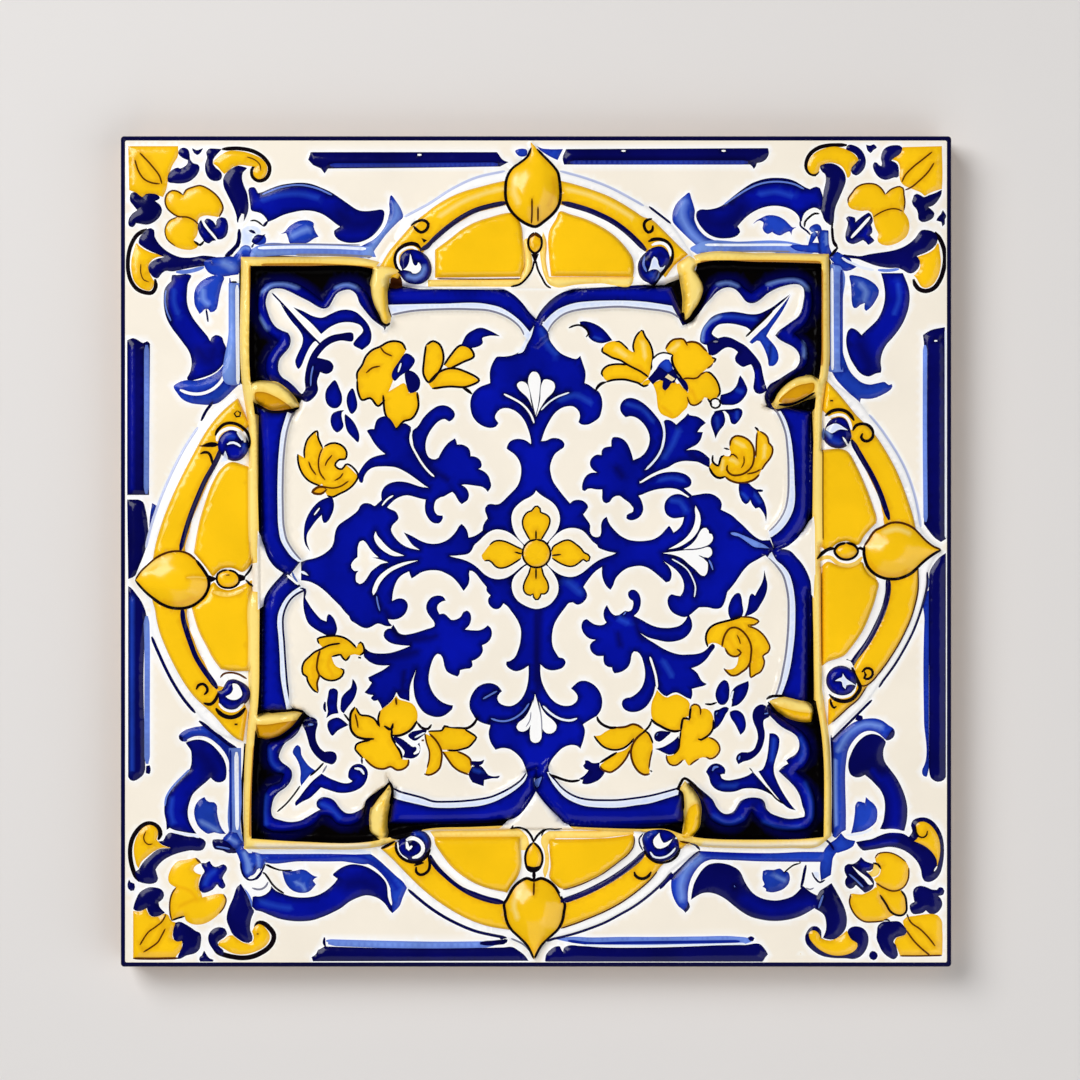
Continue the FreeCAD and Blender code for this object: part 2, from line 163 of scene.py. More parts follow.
# Stage, in metres. Lamps: name, place, size, power; all of them aim at the tile's middle.
FLOOR_COLOUR = (218, 215, 213)
FLOOR_HALF = 2
CAMERA_OFFSET = (0.00072, 0.00207)
CAMERA_ABOVE_FACE = 0.541
CAMERA_LENS = 100
CAMERA_SENSOR = 36
CAMERA_CLIP = 0.01
LAMPS = [
    ("key", (-0.55, 0.45, 0.75), 0.6, 9.8),
    ("fill", (0.7, -0.3, 0.7), 0.9, 4.4),
    ("front", (0.1, -0.75, 0.65), 0.9, 2.7),
]
SKY_COLOUR = (0.5, 0.5, 0.51, 1)
SKY_STRENGTH = 0.15

# a patch of the pit's near-black painted shade behind the roundel
# amber strokes along the rods' inner side are painted shade where the rods turn down into the pit
# grey mark on the navy: a painted highlight
# grey stroke between the drops: painted shade
# half-round square frame, and the pit inside it painted near-black as the shade down in that recess
# lighter blue strokes along this lobe are painted highlights
# lighter blue tints along the corner rims are painted highlights
# lighter blue tints along these rims are painted highlights
# on the petal dome, honey along its lower edge is painted shade and straw on its left and top painted
# highlights
# on the petal dome, straw along its top is a painted highlight and honey along its bottom painted shade
# on the petal dome, straw on its left is a painted highlight and honey low down painted shade
# on the petal dome, straw on its left is a painted highlight and honey on its right painted shade
# pale blue sliver beside the palmette: a painted highlight
# pale crescent on the roundel: a painted highlight
# pale dot: a painted highlight on the roundel
# pale line along the arm's edge: a painted highlight
# pale stroke in the curl: a painted highlight
# pale stroke on the bud: a painted highlight
# sky stroke on the leaf: a painted highlight
# sky stroke on the navy leaf: a painted highlight
# sky strokes on the navy lobe: painted highlights
# small sky stroke on the navy: a painted highlight
# small sky stroke: a painted highlight
# small sky stroke: a painted highlight
# straw stroke on the flower: a painted highlight
# straw strokes along the top of the yellow arch are painted highlights
# tab painted pale straw on its upper part as a highlight over its own yellow lower part
# tab painted pale straw on top as a highlight over its own yellow lower half
# tabs over the bottom of the frame; the tab is painted pale straw as a highlight, with a stroke of its own
# yellow down it
# tabs over the left of the frame: pale straw on top as a painted highlight, the amber lower half as painted
# shade
# tabs over the top of the frame, painted pale straw as a highlight, with a stroke of their own yellow down
# each
# the grey line at the right drop's left side is painted shade, and the pale line below it a painted
# highlight
# the pit's near-black painted shade turning navy beside the corner rims
# this tab is painted pale straw on top as a highlight and amber on its lower half as shade
# white dash: a painted highlight on the navy bar
# white dash: a painted highlight on the navy bar
# white dash: a painted highlight on the navy bar
# white dashes: painted highlights on the navy bar
# white stroke at the roundel's left: a painted highlight
DRAWING = """
# upper left corner: leaf patch, buds and comma leaves
yellow +0.35/0.8 128,146! 178,146! 178,155 172,166 168,180 166,190 163,197! 150,194 142,197 134,192
  129,190!
brown w1.7 140,153 152,166 160,177 162,184
brown w1.7 135,160 139,172 144,179 152,183 160,184
navy +0.4/0.9 129.5,197 131,193 135,192 139,195 142,197 146,194 152,193.5 157,194.5 160,198 155,201!
  160,205 162,210 160,216 154,222 148,224.5 141,224 136,223! 133,227 129,226 128,222 130,216 134,212
  137,210! 133,205 130,201
navy +0.4/0.9 178,153 180,148.5 184,147.5 188,149.5 189.5,154 190,159 193,163 198,164.5 199.5,167 198,173
  194,178 188,182 180,183.5 173,183 168,182 167.5,178 169,173 173,169 178,167.5 180,168.5! 184,166.5
  187.5,163 187.5,160! 182,157.5
navy +0.2/0.4 192,148 196,150 203,148! 201,152 197,155 194,153
ink w4 222,149 240,148.5 254,151.5 264,158 269.5,167 269,173 265,179 258,180.5 253,177 252,170 254.5,165
yellow +0.35/0.8 213,163 219,156 228,151 240,151 252,154 262,159 267,166 267,172 263,178 258,179 254,176
  253,171 255,166.5! 249,166 240,165 233,167 227,172 224.5,174! 221,171 218,167
brown w1.2 247,157 255,160 260,165 261,171
navy +0.35/0.8 206,152 208,149 215,148.5 222,149! 217,154 213,160 213,164! 216,168 220,171 222,175 221,179
  217,181 211,180 207,176 205,170 205,163 207,157
navy +0.45/1.0 247,168 243,166.5 238,165.5 232,168 226,173 223,179 223.5,186 227,194 231,202 234.5,210
  236.5,217 237,222 240,224 243,222 246,217 248.5,208 248,199 247,193 244,186 242,178 243,172
# corner flower
yellow +0.4/0.9 166,197 168,192.5 173,190.5 178,192 183,195! 187,190 193,187.5 199,185.5 207,188 214,193
  220,200 223,207 222,212 218,217! 212,216 205,215.5 199,218 197.5,223! 198,229 196.5,236 193.5,240!
  197,243 198,246 194,249 184,249.5 174,246 167,240 164.5,232 166,225 171,220 177,217! 171,213 167,208
  165,203
brown w1.7 183,195 178,191.5 172,190.5 167,194 165,201 167,208 172,213 178,216.5 188,217.5 195,221 199,225
brown w1.7 183,195 186,190 193,187 199,185.5 210,190 220,200 223,208 219,217
brown w1.3 177,217 169,221 165,229 167,239 175,246
cobalt +0.3/0.6 198,224 201,219.5! 204,226 209,232 214,237.5 216,240.5! 212,241 209,243.5 205,242 202,238
  199,233
cobalt +0.3/0.6 204,222 206,218.5 210,219 213,221 216,225.5! 217,219 219,217.5 224,217.5 225,237 222,239
  218,239.5 213,234 208,228
white w2.4 202,220 207,228 213,235 217,240
ink w2.6 194,241 200,245 204,241
ink w2.1 239,228 240,240 237,248 231,254 222,258.5 213,260
# left crescent and its navy leaf
ink w4.2 147,229 137,235 131,245 128,258 128,270 131,281 137,289 145,292.5 152,292.5 155.5,287 155,279
yellow +0.35/0.8 137,243 133,252 131,262 131.5,272 134,281 139,287 145,290 150,290.5 153,287 154,281!
  151,276 149,270 148.5,265 151,261 158,257 163,256.5! 157,254 150,252 143,248.5 138.5,245
brown w1.2 141,264 141,273 144,280 149,282
navy +0.4/0.9 142,234 147,229 151,228 154,230 154.5,236 157,241 163,248 172,254 180,257 190,257.5
  203,255.5 210,256 225,259 240,262 240,268 225,267 204,266 190,268 180,270 172,271.5 165,271 162,273
  157,278.5 153,277 149,272! 148,267 150,263 156,259 164,257! 157,254 150,251 143,247 138.5,243 139,238
sky w4 176,272 188,271.5 198,269 204,267
# ribbon knot
blue +0.3/0.7 204,262 212,258 226,257 241,258 241,270 232,275 218,276 208,272
pale w3 212,263 224,262 236,264
blue +0.3/0.7 238,252 246,250 256,252 256,260 246,263 239,262
# shell at the frame's corner
white w5 243,214 240,228 243,240 250,248
ink w1.8 252,221 256,220 260,222 264,226 268,221
cobalt w4 247,231 256,231
blue +0.2/0.5 252,237 258,235 265,236 266,242 260,245 253,243
pale w3 246,238 250,246 256,250
# top scroll, its leaf, lip and rail
cobalt +0.38/2.2 249,188 251,187 254,187 256.5,190 258,193! 262,192 270,188.5 280,185 290,183.3 300,182.5
  310,183.5 320,187 330,191.5 340,198 350,205 356,209 360,210.5 367,211 376,210 382,209.5 384,211 384,217
  382,224 378,230 371,237 362,241.5 352,243 344,242 337,238.5 334,234 334,231 337,228.5 340,226.5!
  337.5,225 331,220 324,215 315,211.5 304,210.5 292,212.5 282,215.5 274,219.5 268,222! 265,217 260,213
  254,211.5 252,211 250,203 249,196
blue~navy w34 340,215 352,224 366,224 380,214
blue~blue w9 262,200 280,195 300,194 318,198
sky w1.8 262,194.5 280,187.5 300,185 316,188 332,195
blue +0.5/1.2 391,195 396,201 401,209 403,217 398,222 391,229 384,237 379,244 374,251 370,258 366,258
  362,252 361,246! 367,243 374,239 380,233 385,226 388,218 389.5,210 389,203
blue~sky w15 396,206 397,214 388,226 376,242 368,252
pale +0.3/0.8 252,250 265,244 300,244.5 340,245 361,246! 366,257 370,259! 368,262 350,259 300,257 262,256
  252,258
sky w3.5 262,252.5 300,253.5 340,254.5 364,257
navy w2.2 252,258.5 262,257 300,257.6 350,259.6 368,262.5
blue +0.4/0.9 280,234! 285,231.5 287,228.5 292,224 298,221 305,220 311,221 314,223.5 313.5,226.5! 315,231
  318.5,236.5! 314,238.5 308,242.5 300,244 290,244 288,238 286,233!
blue~sky w10 292,236 300,232 308,229
# left scroll, its leaf, lip and rail
cobalt +0.38/2.2 177,275 188,274 191,275 188,283 187,292 187,302 189,310 193,318 199,326 204,332 208,337
  210,341! 212,337 215,335 219,335.5 222.5,338 223.5,342 226,347 227,353 225.5,360 221,367 214,373
  206,376.5 198,379 190,380.5 187,379.5 190,372 191.5,364 191,358 188,350 183,343 177,335 171,327 166,317
  164,308 163.5,298 165,288 168,284 171,281 172,275
blue~navy w30 200,352 210,360 214,350
blue~blue w8 174,290 174,302 178,314
sky w1.6 166,290 165,300 166.5,310 171,321
blue +0.5/1.2 173.5,386 178,382.5 186,380 195,380.5 207,377.5 217,372 224,364 228,355 229,340 229,278!
  236,278! 237,340 238,375 240,382 233,390 226,397 218,403 208,405 200,404.5 190,403 182,399 177,393
white w3 180,390 190,393.5 200,394 210,391 220,383 226,372 229,362
pale w3.6 238,276 238,320 238.5,352 239,378
ink w2.7 241,268 241,300 241,340 241.5,384
navy w3 213,402 206,411 201,421
blue +0.4/0.9 219,274.5 213,275.5 206,278 200,282 196,287 194,293 194,300 195,306 197.5,310.5 199.5,314!
  202,312 205,309 208,309! 210,312 214,311.5 216.5,309 218,303 219.5,294 222,284 224,277
navy w2 206,309 207,315 208,322
blue~sky w10 203,290 204,300 208,304
# edge bars
navy +0.5/0.9 310.5,152! 497,152! 504,160.5 508.5,162! 500,166.5! 440,167.5 328,168.5! 324.5,173.5!
  321,168.5! 313,165! 308,159.5!
blue w4 330,165.4 420,165 498,164.6
white w3 417.5,155 421.5,155
blue +0.2/0.4 515,151 527,150 527,155 519,156
navy +0.5/0.9 127,340! 133,338 138,340 143,343 147,341 150,344! 149.5,400 149,495! 127,495!
sky w5 146.8,345 146.8,400 146.5,494
blue~cobalt w9 132,350 132,420 132,488
navy +0.5/0.9 127,499.5! 138,499.5! 143,502 145,508 147,518 148,528 149,540 146,552 144.5,560 142,567
  138,572.5 132.5,577.5 128,579!
blue +0.2/0.4 152,503! 157,506! 152,518 149,530! 150,515
# knot and strips beside the frame
sky 250,250! 258,245.5 300,244.5 340,245 372,247! 376,257! 320,255.5 260,257 250,258.5!
grey w1.3 264,244.3 300,243.8 360,245
pale w3.2 258,248 300,247 340,247.6 366,249
grey w2.4 296,254.8 330,255 372,256.6
sky 228.5,283! 239,283! 239.5,330 240,385! 229.5,385 228.5,330
pale w3.6 237,285 237.3,330 238,384
ink w1.6 239.8,268 240,330 240.5,384
white 252.3,212.3! 257,212.5 262,215.5 266.5,219! 263,226 258,230 252,230! 246,232! 242,228! 248,222
ink w1.8 250.3,220.9 254.3,220.3 258.3,222 263,226
navy w1.6 262.5,226 267.7,220.5
pale 247,226! 255,226 260,229 261,233 255,236 250,244 243,246! 241,238 241.5,230
navy 248.3,230.5! 251,229.5 254,230.5 256,233.5 253,233.5 250,232
cobalt 254.5,236! 258,234.3 262,235 265.5,234! 263,238 257,243.3 254,244.3! 251.5,241.5
navy w2.6 253.5,244 251.5,247.5
blue 233.5,256! 237.5,251.7 241,247 245,245 250,246.5 251.5,250 249,256 245,262 241.7,264.5! 238,261
blue~sky w6 238,252 244,247.5 249,248.5
white w2.4 232.5,255.5 236.5,251 240.5,246.5
navy w4 239,229 239,238 237.5,244 233.5,249 229,253 225,256
blue 212,262! 225,257 231,256! 238,262 241,266! 240,270 238,275! 228,276 215,274
blue~sky w14 224,263 232,267
white 230,275.5! 238.5,274.5! 238.8,280.5! 231,282!
ink w2.1 230.7,282 237,282.3
# upper right corner: leaf patch, buds and comma leaves
yellow +0.35/0.8 903,147! 942,146! 942.5,180 942,189! 935,191 930,193 925,196! 920,192 915,190 910,188
  905,186 901,182 899.5,176 900,168 898,162 892,159.5! 900,153
brown w1.7 932,152 922,160 912,168 904,177 902,182
brown w1.7 934,163 928,172 919,181 910,188 905,190
navy +0.4/0.9 902.5,147.5 900,145.5 895,145 889,146 884,149 881.5,154 881,159 882,163 881.5,166 879,165
  877,162.5 874.5,162 873,164.5 873.5,169 876,174 880,178 885,179.8 890,179 894,177.5 897,177.5 899,176!
  899,170 898,165 895,162 891.5,160.5! 894,158 899,155 902,150.5
navy +0.2/0.4 866,144.5! 870,145.5 874,144! 877,147.5 873.5,150 870.5,153 868,151
navy +0.4/0.9 913,198 914,195 917,193.5 920.5,195 924,197 929,195 935,193 939,191 942,189.5! 941.5,194
  939,199 935,204 931,206.5 928.5,207! 932,210 934.5,213 933,218 928,221 922,222 918.5,219 918,213
  916.5,209 913,205 912,202
navy +0.2/0.4 943,210 945,213 947,215.5 945,219 945,224 942.5,226.5 941.5,222 936.5,220.5 938.5,216.5
  941,214
ink w4 819,171 815,174.5 810,173 806.5,168 807,160 811,153 818,148 827,145.5 836,145 847,145
yellow +0.35/0.8 807.5,167 809,160 813,154.5 820,150 827,147.5 835,146.5 843,148 850,151 855,154.5
  858.5,159! 857,163 853,167 851,171 850.5,176 848,178 845.5,172 842,166.5 836,163.5 830,162.5 824,164
  820,166.5 819.5,170 817,173 813,174 809.5,172
navy +0.35/0.8 848,145 856,146 861,149.5 864.5,155 866,162 864.5,168 861,172.5 856,175.5 852.5,174 851,171
  852,167 855.5,163.5 858.5,160! 857,156 852,152 846,149
navy +0.45/1.0 820,166 824,164 830,163 836,164.5 841,168 845,174 846,180 844.5,186 842,192 839,199 836,206
  834.5,213 834,220 833,224.5 829,225 825,222 822,217 821,211 823,197 823.5,192 825,185 826,179 825,174
  822,171.5
ink w2.1 832.5,222 832,232 834,241 837,247 834,251 829,257
# corner flower
yellow +0.4/0.9 848,199 852,193 857,187 862,184.5 869,183.5 876,184.5 881,188 885.5,194.5! 890,190
  895,187.5 900,186.5 903,188 904,194 904.5,200 905.5,206 904,212! 907.5,217 909.5,224 909,231 906,237
  901,241 895,244 888,245.5 882,244.5 878,241.5 877.5,238 878.5,234 876,229 874,223 873,217 872,213!
  868,210.5 862,211 856,210 851,208.5 848,205
brown w1.7 848,203 848.5,198 852,193 857,187 862,184.5 869,183.5 876,184.5 881,188 885.5,194.5
brown w1.6 886,194 890,190 895,187.5 900,186.5 903,188 904,194 905,202 904,210
brown w1.4 902.5,211.5 898,209.5 891,209 884,211 878,214 873.5,217
cobalt +0.35/0.8 846,218 848.5,216 852,216.5 855,217.5 855.5,222! 860,218 865,214.5 869,212.5 872,216
  873,221 871,225! 872.5,229 872.5,232 870,235! 872,237.5 874.5,240.5 871,243.5 868.5,245 866,242 863,240!
  859,242 854,244 849,243 846,240 845.5,234 847,228 848,222
white w3 870,217 862,226 851,238
# right crescent and its navy leaf
ink w4.5 935,232 940,239 944,249 945,260 943.5,270 940,280 934,288 926,291 919,289 915,284 913.5,279
yellow +0.35/0.8 938,243 940,252 941,262 940,271 937,279 932.5,285 927,288 922,287 919,283 917,279
  914,275.5! 917,272.5 920,268 920,262 917,257! 921,255.5 928,253 934,249
navy +0.4/0.9 843,255 850,255 860,256 870,254 880,252.5 890,251 898,249 905,246 911,242 916,237 919,232.5
  922,230 928,230 934,232 937.5,237 937,243 933,248 927,252 917,256! 920,261 919.5,266 916,271 911,273.5
  907,272.5 904,270.5 898,268 890,268 882,267 874,265 866,262 858,259 850,258
white w3 838,253 848,260 858,263 868,267 878,270 886,270
sky w3 878,270 888,270.5 899,269
blue +0.3/0.7 830,258 836,253 842,258 850,262 858,265 853,269 847,271 843,270.5 838,267 833,262
# shell at the frame's corner
ink w2.1 805,228 806,221 810,215 815,213 821,214
cobalt w4 809,228 815,226 822,227.5
blue +0.2/0.5 819,230 828,230 830,238 830,250 827,257 822,254 819,246
pale w3 807,236 811,245 818,252
# top scroll, its leaf, lip and rail
cobalt +0.38/2.2 722,205.5 728,200.5 736,194 744,188 752,183 760,180 769,178 778,177.7 787,178.5 795,181
  801,184.5 806,187.5 810,189! 813,187.5 816,186.5 820,188! 823,197 822,208 816,214 810,216 804,220
  800,222! 799,217 796,213 790,209 782,206.5 773,205.8 765,207 757,210 750,214 744,219 739.5,224
  737.5,226.5! 739.5,229 740.3,232 738,235 733,237.5 727,238.3 720,238.3 713,236.5 707,233 702,228 698,222
  696,216 697,211.5 700,209.5 707,209.5 714,208.5 719,207
blue~navy w34 700,216 714,224 730,222 742,208
blue~blue w9 760,194 776,192 792,196
sky w1.8 724,204.5 735,197 747,189.5 758,184.5 770,182 783,182 795,184.5 804,189
blue +0.5/1.2 689.5,192.5 684,196 678,201.5 674,208 672.3,215 673,222 678,228 685,235 692,241.5 699,247.5
  704,251.5 712,254 722,253 722,241.5! 714,240 707,237 701,232 697,226 694.5,219 695,211 692.5,201.5
  691,197
blue~sky w14 684,202 681,212 686,226 698,240 710,248
pale +0.3/0.8 712,242! 722,242 760,242.5 795,243 806,248 806,253 795,253 720,253.5!
blue w5 792,249 800,250 806,252
navy w2.2 704,252 720,254 760,254 806,254
blue +0.4/0.9 753,224! 757,220 761,218 766,215.5 772,215 779,216.5 785,220 790,225 793,227.5 796.5,227!
  792.5,230 791.5,235! 790,231.5 786,232.5 780,235.5 775,234 772,232! 768,234 764.5,232 762.5,228
  763.5,222.5 760,220.5
# right scroll, its leaf, lip and rail
cobalt +0.38/2.2 881,273! 903,273! 906,280 908.5,287 909.8,296 909,306 906.5,315 903,323 898,331 892,338.5
  887,344 883.5,350 881.5,356 880.8,363 881.5,370 881,372.5! 876,373.5 869,376.5 864,375.5 859,372
  855,366.5 851,360 848,352 846.3,344 846.5,336 848.5,330 851,328 855,329 859,332 861.5,335! 865,331.5
  871,326 877,320 881,313 884,304 885,296 884.5,288 883,280
blue~navy w30 860,345 866,358 870,366
blue~blue w8 898,284 899,300 894,314
blue +0.5/1.2 832,262! 843,268! 842,340 843,352 846,362 850,371 856,378 862,382.5 870,384.5 878,383
  885,382 889,385 892,384 892.5,387 889,391 882,395 875,398 868,399 861,398.5! 860,402 864,407! 857,401.5
  850,394 843,387 836,379 832,372!
white w2.4 844,342 846,355 851,367 858,376 866,381 876,380 882,375
pale w3 834,268 834,320 834,366
ink w2.5 830,260 830,310 830,368
blue +0.4/0.9 850,275 856,275.5 864,277.5 871,281 876,285 879,290 878.5,295 876,300 872,306 868.5,309.5
  866,311 864.5,309 865,303! 860,305 856.5,308 854,308 852,303 851.5,295 851,285
blue~sky w10 860,284 866,292 864,300
# edge bars
navy +0.5/0.9 566,149! 768,148! 769,153 767,158 762,162 757,163! 756,166 754,169! 752,166 750,164.5!
  640,164.5 564,164.5! 562.5,158
blue w4 570,162.6 660,162.6 748,162.6
white w3 621.5,151 625.5,151
white w3 721.5,151 725.5,151
blue +0.2/0.4 537,146! 541,148 549,149 563,149! 560.5,154 557.5,160! 551,157 545,153.5 540,150
navy +0.5/0.9 923,335! 930,330.5 945,327! 944.5,540 941,542! 935,538 929,531 924,524! 923.5,440 924,343!
sky w4 925,345 924.8,440 925.5,522
white w3 934,341 937,341
pale w1.8 945.5,330 945.5,440 945.5,538
# knot and strips beside the frame
sky 697,254! 690,249 700,243 740,241.5 790,241.8 800,244! 818,250! 815,252 760,251 700,253.5
pale w2.6 705,245 740,245 780,244.8 792,245
grey w1.5 700,253 740,251.6 775,251.3 790,251.6
sky 830.5,264! 840,266! 843,270 843,300 842.5,340 843,372! 831,372 830.5,320
pale w2.8 832,268 832.2,320 832.5,370
blue w3 841.5,270 841.5,320 841.5,370
ink w1.7 829.5,258 829.5,300 829.5,366
white 802.3,218.5 804.7,213 809.5,209.4 814.3,207.8 819,209.4 821.7,212.6 823.3,218 826,222.2 830.3,225.4
  831.3,229! 822,232! 809,232! 804,228
ink w2.2 804.5,227 805.2,221.7 809.5,217 814.8,213.5 819.5,213.7
navy w2 800.5,220 800.5,225.5 803.3,228.3 807,231 810.5,235
blue 809,229! 810.5,226.5 813,224.8 817.5,223.8 820.7,226 822,230! 826.5,230.2 828.5,231! 829,240
  830.5,248 833,255! 829,260! 824,257 818,253! 818,245 818.5,237 817.5,231 812,232.5!
blue 808,245! 810,238 811,234! 815,231! 818,234 818.5,243 818.5,253! 806,252 795,250 790,246 797,244.5!
blue~sky w6 812,230 814,233
blue~navy w6 819,232 819,245 820,252
blue~sky w5 826,234 826.5,244
white 812.7,242.6! 817,236! 818.8,242.6!
white 828.7,231! 831,231! 831.5,240 833,245 835.3,248.5! 831.5,251.8! 829.3,246 828.6,238
ink w2.9 832,226 832.4,232 832.9,238 834,243 837,247.5
blue 830.5,258! 834,253 837.5,251.5! 842,254 850,258! 852,262 846,266 840,265.5 834,262
pale w2.6 842,257.5 847,261 853,263.5 862,267.5 874,270
navy w2.8 843.5,254.8 850,257.3
ink w3.1 838,247.5 834,252 829.5,257
# lower left corner: leaf patch, buds and comma leaves
yellow +0.35/0.8 133,911! 140,911.5 146,908.5! 148,913 151,916.5 155,917 160,916 164.5,913.5 168,915
  170,919 172,921.5 175.5,922.5! 173.5,929 172.5,934 173,939 177,941.5 182,941! 182,945 181,950 178,954
  175,958! 133,958!
brown w2.5 133,958.5 150,958.8 178,958.3
brown w1.6 166,914 162.5,921 156,926.5 148.5,932 143.5,939 140,945
brown w1.7 165.5,928.5 161.5,936 158,942 153,946 143.5,952
navy +0.4/0.9 133,909! 134,904.5 136.5,898 139.5,892.5 144.5,889 149.5,887.3 155,887.5 160.5,889
  163.5,892.5 164,895.5 163,898.5 158.5,902.5! 159,906 161.5,909.5 165,912.7! 160,915.7 155,917 150.7,916
  148,912.2 146.7,908.3! 144.3,909.5 140,911.2 135,910.6
navy +0.2/0.4 129,879.5! 130.5,882.2 134.3,883.8 135,887.4 133.8,890.6 130.6,891.1 128,888.5 127.3,884.3
navy +0.4/0.9 175.4,922.7! 179,921.7 185.4,924.3 190.7,927.5 196,931.2 199.7,932.8 201.2,937 200.7,943.3
  199.7,948.6 196,952.8 191.8,954.4 185.4,956 181.2,958.6 177,959 178,956 180.2,950.7 182.5,945 181.7,941!
  177,941.7 173.8,939.6 172.8,936 173.3,929.6
navy +0.2/0.4 204,950.7 206.5,955 209.7,958.6 213.4,960 212.8,962.8 207.6,965 202.3,963.8 199,959.6
  199.7,957 201.8,955.4
ink w4.6 158,840 160.2,834.8 159,829 154.4,824.7 148.6,823.4 142.2,825.8 136.4,831.6 132.2,839 130.1,848.5
  130.4,859 132.2,867.4 135.4,875.8 139.6,881.6
yellow +0.35/0.8 149.6,825 153.8,826.3 157,829.5 157.8,834.8 156.5,839.5! 160,843.7 170.2,848! 160,848.5
  153.8,851.6 147.5,856.4 141.2,862.2 138.6,868.5! 137,866.4 135,860 133.6,851.6 134.3,843.2 137.5,834.8
  142.2,828.4
brown w1.4 146,831.5 143.8,837 145,841.6 148.6,844.4 152.8,843.7
navy +0.4/0.9 158,841.5! 163,840.5 165.5,836 168.5,833 177,834 187.5,836.5 199,837.5 203.5,839.5 205.7,842
  205,846.5 202.5,850 198,851 192,850.5 181,852.5 172,855.5 164.5,859.5 159,864.5 155.5,869.5! 157,875
  158,878.5 156,882.5 151,884 144.5,883.5 139.5,882 136,877 135,872 138.5,869.5! 143,862.5 149.5,856
  158,849.5 170.5,848! 160,843.5
pale w2.6 173,831.5 183,834 192,835 199,837.5
# corner flower
yellow +0.4/0.9 195.4,858 190.7,858.8 185.4,859.8 177,861.6 172.8,865.8 169.6,871.6 168,877.4 168.6,882.2
  172.8,886 176,887.5! 172.3,892.7 170.2,899 169.6,907.5 170.2,914.8 171.7,920.6! 177,918.5 184.4,916.4!
  185.4,920 190.7,923.8 197,924.9 204.4,923.8 211.8,920 219.2,913.8 224.4,906.4 226,899 223.4,894.3
  219.2,893.8 210.7,895.3 202.3,897.5! 201.2,893.2 198.6,887.4 199,881 201.2,874.8! 195.4,872.7
  193.3,869.5 196,865.3 200.2,863.2
white 196,866 200,864.5 205,868 205,872 202,875 197.5,872.5 194.5,870
brown w2.1 195.5,858 198,860.5 201,863.5
brown w1.7 176,887.5 172.5,892.5 170.3,899 169.6,907.5 170.2,914.8 171.7,920.6
ink w2.1 171.7,920.6 177,918.5 184.4,916.4
brown w1.4 223.4,894.3 226,899 224.4,906.4 219.2,913.8
gold~honey w6 177,887 184,888 192,892 196,898
gold~honey w7 180,906 188,902 196,899
cobalt +0.35/0.8 201.2,863.2 205.5,863.2 209.7,861 211.3,864.3 215,867 219.2,865.8 223.4,864.3 226,865.8
  227,869.5 224.4,873.7 222.3,878! 224,882.2 225.5,886 222.3,889 219.2,887.4 217,884.3! 212.8,889.5
  207.6,892.2 202.3,892.9 199.7,890.6 198.6,886.4 199.7,881 202.3,874.8 204.4,871.6 202.3,867.4
blue~blue w9 205,884 209,876 215,871
# navy stem leaf and bottom comma
sky 243.5,887.5! 248,892.5 251,898 252.5,905 251.5,907.5! 249.5,900.5 246.5,893.5
navy +0.45/1.0 240.8,883.8! 243,887.4 246.6,893.8 249.7,901 251.8,907.5 254,910.6 251.8,917 250.2,924.3
  250.2,930.6 252.4,936 251.8,941.2 248.7,943 243.4,942.2 238,939 233,935 229.2,927.5 226.5,920 227,913.8
  229.7,905.4 233,898 235,891.7 237,887
ink w5 255,928 256,925 259.7,923 265,924.3 269.7,928.5 273.8,935 273,941.2 268.7,947.5 261.3,952.8
  253,956.5 243.4,958 233,957 224.4,955 218,952.3 212.8,947.5
yellow +0.35/0.8 226.5,937! 229.7,935.4 232.5,935.3! 238,939.5 243.4,942.8 249.7,943.3 253,940.7 253.4,936
  251.8,931.7! 254,927.5 258.2,924.3 262.4,925.4 266.6,929.6 269.7,935 269.7,939 267,944.4 261.3,949
  254,952.3 245.5,954.4 237,954.4 229.7,952.3 223.4,948.6 218,944.4 219.2,941.7 223.4,939.6
brown w2.7 256.8,933.8 258.8,933.8
navy +0.4/0.9 227,934.3 226.5,931.7 224.4,928.5 220.2,927.3 215,928 210.7,931.2 208,937 209,943.3
  211.8,948 217,952.8 223.4,955.4 223.4,950.7 218.6,946 217.6,942.8 220.7,940 225,937
# bottom scroll, its leaf, lip and rail
pale w3.4 258,851.5 300,852 364,851.5 370,853
blue +0.4/0.9 252,852 262,854 320,854 364,852.8 370,854 378,859.5 387.5,868 396,876 404,883 407,888!
  403,897 399,907 395,911 392.3,913.3! 391,905 389.5,898 390.5,889! 387.5,882 382,874.5 373.5,867
  367,863.7 358.5,862 300,861.5 262,861
blue~cobalt w8 270,858 320,858 362,857 376,864 388,876 397,888
white w2.2 389.2,889 390,897 391.5,905
cobalt +0.38/2.2 271,886! 275.5,890.5 282,893.5 291.5,896.5 300,897.5 310.5,897 318,895 325.5,891
  331,886.5 334.5,883 337.5,879! 333,875.5! 333,874! 338.5,869.5 345,866 352,864.3 360,865 368,867.5
  375.5,872 382,877.5 386.5,884 387.5,890.5 388,897 389.5,902 392,907 392.3,913.3! 389.5,910.5 385.5,904.5
  380,899.5 372.5,896.3 366,895.5 358.5,897.5 350,901.5 340.5,908.5 332,913 321.5,917.5 313,920.3
  302,921.5 289,920.8 278.5,918.7 269,915 260.5,911.5 255.5,910.5! 252,907! 252.5,897! 258.5,895.2 265,893
  269,889.5
blue~navy w34 348,884 362,882 376,888
blue~blue w10 262,902 276,906 290,908
blue +0.4/0.9 282,870.7! 289.3,871.2 295.7,870.7 301,869.4 306.4,870.7 310.7,874 314,876 317.6,877!
  314.4,878.7 312.8,880.8! 315.8,884.5! 312.8,888.3 308.5,892 304.3,893 298,892.7 291.5,890 286,884
  283.5,877.6
blue~sky w6 296,882 303,886 305,890
ink w1.8 266.4,864.3 272.3,867.5 280.8,870.7
ink w2.3 262.7,872.3 267,877 271.2,884.5
